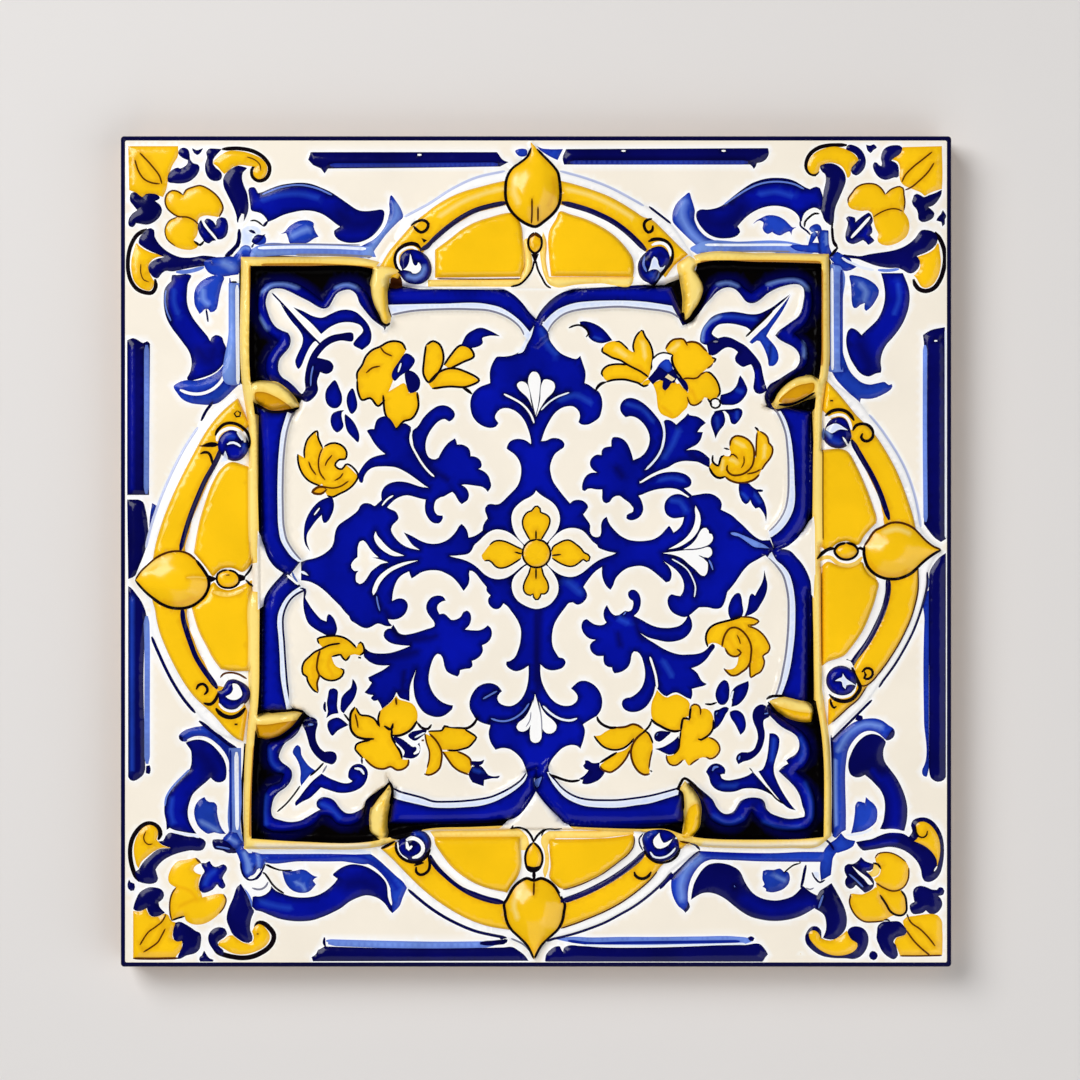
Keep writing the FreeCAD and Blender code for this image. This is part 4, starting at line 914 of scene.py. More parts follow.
  320,440.5 321.5,444 322.5,448! 319,458 319,468 324,480! 316,475 309,464
yellow +0.08/0.5 322.5,449 326,445 330,443.5 335,443 340,444.5 344,447.5 346.5,452 346.8,456 345,459
  342.5,459.8 339.5,459.5 337,462 335,465 335.5,467.5 338,468.5 342,469 345.5,464.5! 350,468 354,472
  358,476! 356.5,480 353,485 347,490 340,493.5 331,497 327,495.5! 324,490 322,484 319,474 318.5,460
brown w3.4 327,488.5 319,487 312.5,492 320.5,493.5 327,488.5
honey 325.5,489 319.5,488 314,491.7 320.5,492.7
ink w2.1 297.6,454 298,462 300,469 303.5,475.5 309,481 315,484 319.5,485.5
ink w2.1 304.5,458 304,452 305,446 307,440 310,436 317,431 318,437.5 322.5,448
ink w2.1 324,446.5 330,443.5 335,443 340,444.5 344,447.5 346.5,452 345,459 339.5,459.5 335,465 338,468.5
  342,469 345.5,464.5 358,476 353,485 347,490 340,493.5 331,497 327,495.5
brown w1.7 322.5,448 320,453.5 318.5,460 318.5,467 320,473 325,480
brown w1.7 308.5,461.5 311,468 316,475
brown w1.7 332,455 326,463 325,466
brown w1.7 343,473 340,477.5 334.5,480.5
brown w1.7 322,486.5 334,488 340,486.5 348.5,481
cobalt +0.05/0.4 332,496.5! 333.5,501 334,506 333,511 331,516 328.5,520.5 326,522.8 323.5,523 322,519.5
  321.5,515! 317,519.5 313.5,524 310,529 307.5,533 306.5,538 307,543 310,551.5! 305,544 303.7,538
  303.7,532 304.5,524.5 306.5,518 309.5,512 313.5,506.5 318,502 323,499 328,497.3
white w1.6 319.5,508 314,515
# carnation with its hook and leaf
cobalt +0.05/0.4 438.5,457.5! 441,452.5 444.5,447 449,442 455,438.2! 456.3,441 457,444.5! 461,444.3
  465,445.5 468.5,448 470.3,452 470.5,456! 474,456.3 478,458 481,461.5 481.8,465 481,467.5 478.5,469!
  481.5,470 485.5,472.5 488.5,476 490.3,481 491.2,486 487.8,492! 485.5,489 482.5,487 477,486 470,485
  464.5,484.5 461.5,485! 465,487 468,491 469,496 468,499.5 465,502 461.5,504.2! 458.5,501 456,496.5
  453.5,493 452,492! 448,494 444,496.5 439.5,497.5 436,500 434.5,504 434,508 435,512 437.5,515
  442.5,515.5! 443,518 441.5,521 438.5,523.5 435,523.5 431,521.5 428,518 425.5,513 424.7,507 425.5,500!
  436,490! 430,470!
cobalt +0.05/0.4 413,445! 413,430 417,427 423,418 431,410 439,405.5 446,405.5 452,409 455,414 453,419
  449,421.5 445,419 439,421 433,427 428,435 426,441 425.5,447 426.5,453 429,457.5 432,459 436,459
  438.5,457.5! 446,470! 440,485! 434,476.5 425,467.5 416,453.5
cobalt +0.05/0.4 366.5,430.5! 370,429 374,429! 375,424 377,419.5 380.5,417 384,416 388,417 391,420
  396.5,429! 400,425.5 404,423 411,427! 411,441 416,453.5 425,467.5 434,476.5 440,482 438,492! 427,487
  420,482 414,477.5 408,473.5 402,470 396,467.5 388,466.5 381,466.5 375,467 370,469 366,473 363.5,478
  362.5,482.5 361,483 357.5,475.5! 358.5,473 362,467 366,462 371,458 376,456 385,454! 378,448 374,443
  371,438
white w2 412,430 410.5,436 410.5,441 412.5,447 416,453.5 420,460.5 425,467.5 430,473 434,476.5
blue~navy w12 425,462 436,472 448,480
# cross, upper left: top arm, centre and left arm
cobalt 536,322! 535,326 530,335 524,345 517,353 503,356.5 497,356.5 493,362 490,370 490,383! 478,388
  473,393 470.5,400 470.5,409 473,417 478,423 484,426.5 490,428 496,426.5 498.5,423! 495,417.5 500,409.5
  505,408 511,409 518,413 524,420 528,429 531,443 531,444! 525,440 520,438.8 515,439 510.5,441 508,444
  506.5,448.5! 509,450.5 513.5,453.5 517.5,458 520,463 521,468 520.8,475 519.5,481 517,486.5 513,491
  508,496 503,501 499,504 495,504.5 491,503.8 487,505 485,508 485,511 486.5,515 487.5,518.5! 484.5,522.5
  483,526 482.5,530.5! 478,534 473,536.5 468.5,537.5! 468,533.5 466.5,529.5 464,526 461.5,523.8! 459,526
  456.5,530.5 452,536 447,540 440,543 433,543.8 426,542.8 419,540 412,536 403.5,532.3! 408,539 412,544.5
  419.5,550! 430,562! 537,562!
cobalt +0.05/0.4 301.5,562! 306,560 313,558.5 320,556 327,551.5 331.5,547 333.5,542 334.5,535 336,529
  338.5,525 343,521.5 349,517.5 355,513 358,510 360,506 363,503.5 367,503 371,504 374.5,506 378,503
  381.5,500! 388,508 396,512 398.5,518 392,526 391,529 392,533 395,537.5 398.5,541.5 403,545 409,547.8
  419.5,550! 470,548! 470,566! 400,570! 301,580!
cobalt +0.05/0.4 381.5,500! 381,495 382,490.5 385,486 390,483 396,481.5 402,481.5 408,482.5 414,484.5
  420,486.5 427,487.5 436,490 440,497.5! 436,500 425,499.5 420,498.5 413,496.5 407,495.3 401,496.5
  395,499.5 390,504 386.5,508 384.5,511! 381,507
pale 534,326! 531,337 527,344 522,352.5 517.5,353.5! 521,348 527,337
white w2 504,394 512,398 520,402.5 527,409 532,417 534,423
white w1.8 382,505.5 387,499.5 393,495.5
cream 358,546 360,541.5 363,540.5 366,543 369,547.5 373,552.5 378,557 388,562.5! 380.8,564 376.5,567
  371.2,571.3 367,577.7 363.7,582 359.5,584 356.3,582 355.7,577.7 356.3,573.5 358.4,570.8! 354,570.8
  351.5,568 351,565 353,561.2 357.5,559! 357.5,553
cream 375.5,531.5! 374,536 375,541 379,547 385,552 392,555.5 405,556! 400,554 393,551 386,545.5 381,540
  377,535
white 400,564 393.6,566 386,570.3 378.7,576.7 374,585 372.3,592.7 373.3,595.3! 376,591.6 378.7,585
  384,577.7 391.5,571.3 400,567.6 418,560.5!
grey w1.4 372,560.6 380,561.5 387,562.3
cream w2 399,473 411,480 424,487
# upper right of the field: cross and right arm
cobalt 536,319! 541,324 548.5,333.5 549.5,339 553.5,345.5 560,352.5 568.5,356.8 577.5,358.3 580.3,355.5!
  583,363.7 585.6,372.4 585.5,378 584.6,382.9! 588.5,384.5 594.5,388.8 598.3,391 601.3,396.5 602.5,403.6
  601.6,410.8 599.4,417.3 594,421.7 587.4,424.7 581.4,424.4 578.4,422.2! 579.8,417.3 579.5,413 577,409
  573.2,406.4 567.7,406.2 561.7,408 555,413 549.7,420.6 545.3,429.3 541.3,441! 545.8,440.6 550.8,438.3
  556.2,437.9 561.7,440 564.6,444.1 564,447 560,450 555,454 551.9,460 550.2,466.5 551,474.2 553,481
  557.6,488 563.2,495.3 570,503.3! 573.4,500.6 578.5,499.7 584.2,501.4 588.2,507 586,511 583.2,514.4!
  586,518.4 590.4,525.8 590,531 592,535.4 595.6,537.1 600,536 601.2,531 601,525.2 603,519.5 606.8,516.6!
  609,522.9 614.2,529.7 619.5,534.8 627.8,539.4 637.5,541 646.5,540.6 654.5,538.8 661.3,534.3 665.8,529.2
  669.2,525.6! 671.5,528.8 673.7,532.6! 678.3,529.2 682.2,524 684,517.2! 679.4,517.8 674.3,518.4
  669.2,516.7 665.8,513.3 664.4,508.2 665.6,501.4 669.2,497 675,494.2 680,494 684.5,495.6 688,497.5!
  691.5,495.5! 699.2,494.3 705.6,493.3 712,494 717.3,496.8 720.5,500 722,504.3 721,509.6! 726,512
  732.3,515.5 737.6,520.3 744,526 749.3,531.5 754.7,536.3 760,539.5 765.5,541.5 770,546 774.5,550.5!
  770,553! 620,557! 536,557!
blue~blue w10 541,330 548,345 556,354
blue~blue w9 560,400 575,395 590,402
blue~blue w9 672,500 680,502 686,510
blue~navy w10 690,500 694,515 690,530
pale w1.6 541,410 548,403 556,397.5 569,392.5
pale w2.4 543,322 546,327 548,330
# carnation with its arm and leaves
cobalt +0.05/0.4 620.2,409.7 620.7,404.2 624,399.8 629,397.8 635.5,398.7 642,402 648.6,407.5 654.6,414
  659.6,420.6 662.3,427 663.4,433.7 662.3,441.4 660.6,449 656.3,457.8 651,464.3 645,469.8! 640,476!
  639.7,483.3! 646.5,479.5 653.3,476 662.4,472.8 671.5,471.7 680.5,472.5 687.3,475.3 691.3,480 691.3,484.4
  688.5,487.2 684,488.4! 687.3,491.2 692,495.2! 689.6,497! 686.2,494.6 679.4,490.1 672.6,488.4 664.7,488.4
  656.7,489.5 648.8,491.8 642,494.6 638.6,495.7! 640.3,498 642.6,503.7 643.4,509.3 642,513.9 638.6,517.8
  633.5,520.1 629,520.1 626.4,518.4 626.7,515 629.5,513.3 633,511.6 633.5,508.2! 629.5,503.1 624,499.1
  619.3,495.7 616,496 612.5,498 609.7,502 606.3,503.4 603.5,502 602.1,498 602.3,493.5 602.1,489.5!
  596.7,489.5 591,488.4! 587.6,488.9 584.8,491.2 582.2,490 582,486.7 583.6,480 586.5,475.3 591,472.8
  597,472.5! 593,469.8 590.1,465.4 590.1,461 593,456.7 597.2,454.5 601.4,455! 601.6,451.2 603.8,447.9
  608.2,446.6 611.4,446.3! 611.4,440.3 612.5,437.5 617.5,437 622.4,438.6 626.7,442.5 630,449 632.2,455.6
  633.3,460! 640,457.2 645.3,452.3 648.6,445.7 649.7,439.2 648.6,432.6 645.3,426.1 641,421.1 635.5,417.3
  630,416.2 625.7,417.3! 622.4,414
cobalt +0.05/0.4 647.5,468.3! 655,460.8 660.8,452.3 664,443.7 665.1,435.2 664.5,427.7 663.3,422.9!
  664.5,420.3 668.8,419.7 672.5,421.3 676.3,424.5! 680.5,420.8 684.8,417.1 688,413.1! 689.6,415!
  692.3,415.5 697.6,416.5 702,419.2 706,422.9! 700.8,427.2 697.6,431.8! 703,432! 700.8,439.5 696.5,444.8
  691.2,447.5 686.4,450.1! 691.2,449.6 697.6,450.1 704,453.3 709.9,458.7! 710,468! 704.3,465.1 698.7,462.3
  690.7,461.2 682.8,461.2 676,462.9 668.1,467.4 659,470.8 648.8,475.9 640.3,481.6! 636,476!
pale w2.2 662.8,421 664.2,430 664.2,438 662.6,446 658.6,455 652,463.5 646,469.5
white w1.8 640.5,482.6 650,477 660,472.2 669,468.6
blue~navy w14 616,468 622,476
blue~blue w9 664,458 672,446 678,432
blue~blue w7 628,404 642,409 652,420
blue~blue w7 660,480 672,478 682,480
blue~navy w8 690,455 704,460
# leaf spray, bud and stem
cobalt +0.05/0.4 579.7,321.6! 583,321 588.5,321.6 595,323.8 601.6,327.7 607,333.1 610.4,337.5 612.5,340.2!
  606,342.4 601.6,343.2 596.7,342.4 591.8,340.2 588.5,337! 588.4,334.2 587.4,330.4 584,327 580.3,324.4!
ink w2.1 568.8,327.9 573.2,325.9 579.7,325 584,327 587.4,330.4 588.4,334.2 586,337
blue~blue w5 594,337 600,339
yellow +0.08/0.5 641.5,330.4! 645.3,336.4 649.7,343 652.4,350.6 653,357.2 652.1,363.7 651,370 648.6,377!
  640,371 634,368 627,364.3! 621,360.5 612.5,357.7 606,354 602,351.2 603.2,346.8 606,343.5 611.4,341.3
  619,341.3 623.5,344.6 628,349 633,352! 633.9,350.6! 633.1,346.8 633.9,341.9 636,336.4 638.8,332.6
yellow +0.08/0.5 601.6,373.6 603.2,369.2 607,366 613.6,364.3 621.3,364.1 627,364.8 634.4,368.7 643,373.6
  649,377! 645.5,379.8 642,383.2! 638.8,383.2 632.2,381.2 625.6,379.6 619,379.4 612.5,380 607,381
  603.2,377
yellow 642,383.5! 646,380 650,380 650.5,382 648.6,384.5 643.7,386.2
ink w3.2 595.6,390.5 598.3,386.1 601.6,383.4 606,382
ink w2.1 640.5,331 641.5,330.2 645.3,336.4 649.7,343 652.4,350.6 653,357.2 652.1,363.7 651,370
ink w2 640.5,331 638.8,332.6 636,336.4 633.9,341.9 633.1,346.8 634.4,352
ink w1.8 628.5,349.5 623.5,344.6 619,341.3 615.5,341.5
ink w2.1 603,347 602,351.2 606,354 612.5,357.7 621,360.5 627,364.3 634,368 640,371 648.6,377
ink w2.1 603,376.5 601.6,373.6 603.2,369.2 607,366 613.6,364.3 621.3,364.1 627,364.8
ink w2.3 606,382 612.5,380 619,379.4 625.6,379.6 632.2,381.2 638.8,383.2 643.7,386.2 648.6,384.8
gold~straw w7 618,350 626,356
gold~straw w6 643,344 645,356
gold~honey w6 640,366 645,372
# round flower
white 653,358! 657,354.5 662,352.5 667,353 672,354.5! 671,360 672,367! 664,370 656,371! 652.5,366
yellow +0.08/0.5 665.6,348.8 668.3,344 673,339.7 678.4,338.7 683.7,339.2 685.3,341.3! 687,342.4
  691.2,341.7 695.5,342.1 699.7,344 704,348.3 707.2,351.5 710.4,354.7 715.7,359! 713.6,362.7 711,366
  707.2,368.5 704,371.2! 701.3,373.3 697.6,377.6 693.3,378.5 687,378.1 682.7,379.2! 679.5,375.5
  675.2,369.1 672.5,362.7 672,357.3 673.1,354.7! 669.3,353.3 666.1,350.4
yellow +0.08/0.5 706,371.7! 709.3,372.3 713.6,376 717.3,381.3 719.5,387.2 719.8,393.6 717.3,397.3
  713.6,399.5 711,400.2! 708.3,398.4 704.5,397.3! 702.4,400.5 698.7,403.7 694.4,405.3 690.7,404.3
  688.5,400.5 687,396.8 688.5,389.3 687,384 683,379.2! 693.3,378.5 698,377.6 702,374.4
yellow +0.08/0.5 652.5,383! 654.5,388 656,392.5 657,401 658.1,408.5 661.3,413.9 666.7,416.5 673,418.7
  677.3,417 682.7,411.7 687,407.5 688.5,401.6 687,396.8 688,392.5! 682.7,387.2 679.5,383 674,380! 660,380!
blue 656,369.5! 658.7,364.8 662.4,361 666,359 669.3,359.5 671,362.7 672.5,367 674,372! 664,374!
navy 648,378.5! 652.8,373.3 656,369.3 659,367 664,370 668,372.5 674,369 676.3,373.3 680,378 683.7,379.2
  687,383 688.5,388.3 687.5,392! 683.7,388.3 680.5,383.5 678,380! 674,383! 672,382.8 669,387 665.3,390.6!
  663,389 663,381! 659,379.8 656,381.5 653,384.5! 650,381
tan 665.1,377.1! 668.3,373.9! 675.2,378.7! 672,381.3!
white 675.2,381! 676.8,378.3! 680,383! 677,383.8!
ink w1.8 652.5,359.5 656,355.5 660,353.3 664,352.6 668,353.2 673,355
ink w2.6 673,354.7 672,357.3 672.5,362.7 675.2,369.1 679.5,375.5 682.7,379.2
brown w2.1 665.6,348.8 668.3,344 673,339.7 678.4,338.7 683.7,339.2 686,342.4 687.5,345.5
brown w2.3 686,342.6 691.2,341.7 695.5,342.1 699.7,344 704,348.3 707.2,351.5
ink w2.3 712,357.5 715.7,359 713.6,362.7
brown w1.8 713,363.5 711,366 707.2,368.5
brown w1.8 683,379 687,378.1 693.3,378.5 697.6,377.6 701.3,374 706,371.7
ink w2.1 706,371.7 709.3,372.3 713.6,376 717.3,381.3 719.5,387.2 719.8,393.6 717.3,397.3
brown w1.8 687.5,397 688.5,400.5 690.7,404.3 694.4,405.3 698.7,403.7 702.4,400.5
gold~straw w6 671,350 678,345
gold~honey w7 692,390 696,400
gold~honey w6 664,408 672,415
# sprig
cobalt +0.05/0.4 721,394.7! 725.3,393.6 730.7,391.5 735,387.7 737.6,383 739.2,377 740.3,375.3! 743,378.7
  745.6,384 747.7,389.3 746.7,393.6 744,398 739.2,402.7 734,404.8 727.5,405 722,404.8! 720.5,402 720,398
ink 715.4,397.5 719.5,399 721.5,403.2 719.5,407.6 715.4,409 711.5,407.5 709.5,403 711.3,399
white 715.4,399.2 718.3,400.3 719.6,403.2 718.3,406 715.4,407.2 712.5,406 711.4,403.2 712.5,400.3
ink w2.6 707.5,398.5 710,401.5 712,405
cobalt +0.05/0.4 714.7,412.3! 719,410.7 722.7,411.2 724.8,416 725.3,421.3 723.7,425.6 720,430 717.3,434.7
  715.5,438.6! 714,433 712,427.7 710.7,421.3 712,416
cobalt +0.05/0.4 724.3,410.7! 731.7,410 739.2,408 742,409.6 742.6,414 740.8,418 737.6,422.4 734.4,424.5
  731.7,423.5 730,419.2 728.5,414.4 726,411.7
navy w1.6 714,412 722,410.4 732,409.8 739,408.2
blue~blue w7 737,390 742,392
blue~blue w6 717,418 718,426
blue~blue w6 737,412 737,418
# lobe brushwork
cobalt 700.5,342 700.5,335 703,327.5 707,322 711,317.5 716,314.5 724,312.3 733,311.5 741,312.5 750,314
  759,313.5 767,310 774,306 781,300.5 790.5,294! 783,302 776,308 768,316 760,324 751,331! 748,328
  741,325.5 733,323.8 725,323.5 718,325 714,329 712,333.5 715,336.5 719.5,338.5! 714,344! 707,345
blue~sky w6 702.5,340 703.5,331 710,322 719,317
blue~blue w7 724,316 740,317 754,319
ink w2.1 773,310 765,318.5 757,326 746,336.5
blue +0.05/0.4 790.5,295! 787,303 782,312 776,321 771,328 766.5,336! 770,340 775,346 778,352 778.8,358
  776.5,363.5 773,366 769.5,366 768,359 766.5,354 763,346 760,341! 757,340.5 752,343.8 749.5,342! 753,338
  757.3,334 761.6,329.6 766,326 770,321 778,311 785,302
navy +0.05/0.4 719.5,337.6! 724.3,336.5 730.7,337.6 738.1,341.3 745.6,345.6 752,352 757.3,358.4
  761.1,364.8 762.7,372.3 764.3,379.7 766,386 767,390! 764.3,392.5 759.5,394 755.2,392 753.6,388.8
  754.1,382 754.7,374.4 753,368 751,364.3 747.7,365.3 743.5,367 739.2,364.8 735.5,361 735,358 738,352!
  734,348.8 728.5,347.2 724.3,348.3 720,351.5 716.8,354 712.5,355.5 708.8,354.7 708.3,352! 707,345!
  712,341!
grey w2.2 713.5,341.5 718,341.5
blue~cobalt w7 757,372 759,388
blue~navy w6 771,345 769,362
# right flower and bud
yellow +0.08/0.5 732.3,438 735.5,436 739.7,436 745,437.6 750,441.3 753,446 754.3,452.5 754.5,458!
  756,456.8! 756.3,448.3 756.6,439.7 757.3,432.3! 755.7,427.5! 760,431.2 765.3,434.4 768,438 769,443
  772.3,446.7 772.6,452.5 770,458.4 765.3,464.3 761.6,470 759.5,474.4 754.7,479.2 748.3,482 739.7,483
  734.4,482 729,479.7 725.3,476.5! 720.5,478 716.3,477 712,472.8 709.3,467.5! 712.5,462 719,465.3! 720,461
  721.6,456.8 724.3,455.2 727,456.3 730,455.5! 731,452! 729.6,449.3 730,444 730.7,440.8
gold~honey w8 742,452 745,465
gold~honey w7 735,469 744,470
gold~straw w5 723,460 722,470
gold~straw w5 765,445 764,456
gold~straw w6 731,459.5 735,461
gold~straw w6 736,442 744,446
brown w2.1 730,446 730.7,440.8 732.3,438 735.5,436 739.7,436 745,437.6 750,441.3 753,446 754.3,452.5
  754,459 752.5,465.3 748.3,470.7 743,474 737.6,475.3 732.3,475 728.5,472.3 727,469.6 727.5,465
brown w1.8 729.6,457 731.5,454.5 733.5,454.5 738,458.5
ink w2.1 724,448 729.5,449.5
brown w1.8 757.3,432.3 756.6,439.7 756.3,448.3 756,456.8
ink w2.9 755,427 759,430.8
brown w2 760,431.2 765.3,434.4 768,438 769,443 772.3,446.7 772.6,452.5 770,458.4 765.3,464.3 761.6,470
brown w1.8 747,474 755,472.3 761,469.3
brown w1.4 744,456 744,463 741.5,468
ink w2.3 713,455 712.8,461.5 718.5,465.6 720,461 721.6,456.8 724.3,455.2
ink w2.6 709.3,467.5 712,472.8 716.3,477 720.5,478 725.3,476.5
brown w2.3 725.3,476.5 729,479.7 734.4,482 739.7,483 748.3,482 754.7,479.2 759.5,474.4
cobalt +0.05/0.4 739.2,483! 738.7,487.7 739.2,493 741.3,499.5 744,503.2 746,504.3 748.8,502.7 750.4,500!
  752.5,504.8 755.7,508.6! 759,507.4 762,510.7 764.8,515.5 766.2,522! 767,514.4 766,507 763.7,500.5
  760.5,495.2 758.4,491.7! 762.7,491.7 763.2,490 761,489.3 756.8,489.3 752.5,486.7 749.3,483.3!
blue~blue w6 743,494 747,498
blue~blue w6 755,495 760,502
# lower left of the field: where the left arm meets the bands
white w2.6 287,575 292,579 298.7,584.7
sky w2 292.3,572 293.5,576 297.6,582
cobalt +0.05/0.4 300.8,580.4! 308.3,581.5 316.8,585.2 325.3,591.6 332.8,599 340.3,606.5 345.6,613
  348.8,616! 350.4,620 356.3,624 361.6,627.3 367,628.4 372.3,626.3 377.6,623.6 382,624.7 386,626.3
  390.5,626.3! 392,625.5! 389.5,623 388,619.3! 393,619.8 398.7,618.7 403.8,615.3 407.2,609.6 407.7,604
  404.3,599.4 398.7,598.3 392,601! 393,592 395,585 398,579 402,575 409,571.5! 410,575 411.5,578.5!
  415,576.5 420,573 426,571 433,570.3 440,571 446,573.5 452,577 457,582 463.5,591! 466,588 468.5,584
  469.5,579 469,574 469.5,570.8 472,571 476,574 479.5,578.5 483,583 486.5,587! 486.5,591 490.5,595.5!
  488.5,598 488,602 490,606 494,609 498.5,609 501.5,606.5 503.5,603.5! 507,606 511,611 516,618 519.5,625
  520.6,629 520.6,639 518.3,649.3 513.8,658.4 510,661! 506.4,661.8 506,664.6 510,669.2 515.5,671.4
  522.3,669.7 528.5,665.8! 528.5,675.4 527.4,684.5 524.5,693.5 519,701.5 511,706 504,705.4 499,702.6
  497.3,698 499.6,693.5 502,691.3! 498.5,686.7 492.8,683.6 486,683.3 478,686.7 472.4,693.5 469.5,701.5
  470,709.4 473,714.7 475.2,718.6 482,723 490.3,725.4! 488.6,732.6 490.3,741.6 495.4,750! 501,748.3
  508.8,749 516.6,754 522.2,760.6 525,767.4 527,774 530,790 535,793! 537,790! 537,556! 470,550! 400,556!
  301,562!
pale 299.2,571.3 304,571.3 308.3,575.6! 303,574
cream 358,557 366,557 378,559 388,562.5! 380.8,564 376.5,567 371.2,571.3 367,577.7 363.7,582 359.5,584
  356.3,582 355.7,577.7 356.3,573.5 358.4,570.8! 354,570.8 351.5,568 351,565 353,561.2
white 418,560.5! 408,561.5 400,563.5 393.6,566 386,570.3 378.7,576.7 374,585 372.3,592.7 373.3,595.3!
  376,591.6 378.7,585 384,577.7 391.5,571.3 400,567
sky w1.6 376.5,596 377.6,603.3 379.7,610.8
blue~navy w12 386,612 392,622
blue~navy w10 536,615 536,650 536,680
blue~navy w8 470,562 484,568 494,580
# carnation and its leaves
cobalt +0.05/0.4 393,624.5! 396,629 398.7,633 403,634.6 410,634 419,631.7 427,629 432.7,627.2 434.4,626!
  434.4,623 431.6,618.7 428.2,614.2 426,608.5 427,602.8 431.6,597.2 437.2,595.5 443,596.6 445.7,600.6!
  441.8,601.7 437.8,605 437.2,609.6 439.5,614.2! 444,613.6 448.6,617.6 451,619.8 456.5,619.3 461,616.4
  463.3,612 466.7,610.5 470,613 471.2,618.7 469,625.5 465,629.5! 472.4,630.3 480.3,630 484.8,627.8
  487.7,625.3! 490.5,627.8 492,633.4 490.5,639 486,643.6 482,645.3! 483,650.4 480.3,656 475.8,659.5
  471.8,661! 472.4,666.3 470,668.6! 464.4,669.2 460,670.3! 459.3,674.3 457.6,676.7! 452,674.8 446.3,671
  444,665.2 443,659.5 440.6,655 437.8,653.8 434.4,656.7 431.6,663 429.3,672 428.7,681 431,689 436,697
  443,702.6 449.7,705 453,705.5! 452,709.5 449.4,712 442.7,716.4 437,717.3 430.4,716 423.7,712.5 419.2,707
  415.3,699 413.6,690 413.5,680 416,670! 410,686.7 409.4,701.5! 405.5,700 399.8,698 396.4,692.4! 393,699.2
  387.3,705 382,709! 379.7,703.6 377.6,700.4! 373.3,701 370.7,698.3 373.3,695.3! 368,694.5 364.3,692.4!
  367,689.7 371.7,682.8! 369,680.7 368,677.5! 375.5,673.7 382,670.5 389.3,665.5! 383,665.7 375.5,664.7
  368,661 363.7,656.7! 362.7,645! 366,649.2 371.2,652.4 378.7,653.5 389.3,653 400,650 410,646! 401,645.3
  392,643.6 386.2,640.2 383.4,635.7 384,632.3 387.3,629 391.3,628.3!
blue~navy w12 400,640 420,640 436,636
blue~navy w14 376,659 396,657 416,652
blue~navy w9 404,672 402,690
navy w2 391.5,627 397,633 405,637
# left tulip and its leaf
cobalt +0.05/0.4 304,590! 305.6,592 305,597 308.3,603.3 312.5,609.7 316.8,615 321,619.3 326.4,621.5!
  327,616 328.5,614 332.8,617.2 336,623.6 337,630 335,636! 327.5,636 322,633.2 314.7,629 308.3,623.6
  304.5,614 303,603.3 303.5,595
navy w2 300,588 305,589.5 304.5,597
yellow +0.08/0.5 317.3,639 323.2,637 330.7,636 337,636 344.5,638 351,642.3 356.3,648! 358,644 360.5,642.3
  363.7,647 363.7,652.4 359.5,655.6 355.2,654.5 350,655.6 345.6,660.4 342.4,657.7 340.8,655 336,655.6
  331.7,656.7! 332.8,661 336,666.3 340.3,668.4 343.5,670! 342,676 337,679.6 330.7,680.7 324.3,679
  319,674.8! 316.8,683.3 318,693! 314.7,691.3 310.4,686.5 307.2,680 306.7,677! 303,674.3 302,668.4 304,662
  309.3,656.7 314.7,652 320,649.2 322,647! 319,644
ink w2.1 319,644 317.3,639 323.2,637 330.7,636 337,636 344.5,638 351,642.3 356.3,648
ink w2.1 358,644 360.5,642.3 363.7,647 363.7,652.4 359.5,655.6
ink w2.1 331.7,656.7 336,655.6 340.8,655 342.4,657.7 345.6,660.4 350,655.6
ink w2.1 340.3,668.4 343.5,670 342,676 337,679.6 330.7,680.7 324.3,679 319,674.8
ink w2.1 318,693 314.7,691.3 310.4,686.5 307.2,680 306.7,677 303,674.3 302,668.4 304,662 309.3,656.7
  314.7,652 320,649.5 330,645 340,643.5
brown w2.1 320,650 317.5,660 317,670 319,675 317,683 318,692
ink w4 358,657.5 361,658
gold~honey w6 330,656 328,666 332,674
gold~honey w6 312,668 314,682
# sprig
cobalt +0.05/0.4 330,689 333.5,688.3 337,690 337.5,698.5 337,706 338.4,713.5! 332,714.5 326,718.3!
  327.7,711.3 326.7,704 327.7,696.4
cobalt +0.05/0.4 352.5,679 355,682 357,688 356.5,692 352.3,701.7 348,707 343.7,713.5! 341,711.3 340.5,704
  341.6,697.5 346,692 350.5,688 352,683
navy w3 325,702 324.3,708 325.5,712
cobalt +0.05/0.4 327.7,722 332,718.8 338.4,717.7 343.7,721 348.5,725.2! 342.7,728 337.3,731 332,736
  328.8,731.6 327.2,726.8
ink w2.1 343.7,714 347,718 349.5,722
# corner lobe brushwork
blue +0.05/0.4 293.6,748.7 297.3,745 300.5,748 301,754 304.3,760.4 309.6,766.8 315,770.5! 309.6,775.3
  305.3,780.7 301,786! 300,780.7 300.5,773 299,764.7 295.2,757 292.5,753
cobalt +0.05/0.4 321.3,773.7! 327.7,777.5 335.2,780.7 343.7,783.3 350,782.8 352.3,781.2! 348,777.5
  348,774.3 349.6,769 353.3,765.2 359.7,764 365,766.8 367.7,772 366.7,779.6 363,786 355.5,790.8 347,793
  338.4,793 328.8,790.3 320.8,787.6! 315,793.5 309.6,798.3 302,802 295.7,806.3! 294.7,804 299,797.7
  305.3,789.2 312.8,780.7
pale w2.6 354.4,768.5 360.5,769.5 364,774.5
ink w2.1 323.5,763 317,770 310,776
ink w1.8 300,786 294.7,793.5 286,804 277,812
grey w1.8 326.7,765.7 322.4,773
navy +0.05/0.4 302,722 306.4,718.3 311.7,717.5 317,720.4 317.6,724 316,730.5 315.5,737 317,743.3
  320.3,748.7 324.5,752! 330,751.3 335.2,753 336.8,757 335.7,761.5 332,764.7 327.7,763.6 324,762.5
  319.2,759.3 314,754 309.6,746.5 307.5,739 305.3,731.6
sky w3 308,724.7 313,724.7
# lower yellow flower
yellow +0.08/0.5 355,707! 351.2,712.4 350,722 351.2,730.5 355.5,736 364,739 356.5,744.4 355,748.7
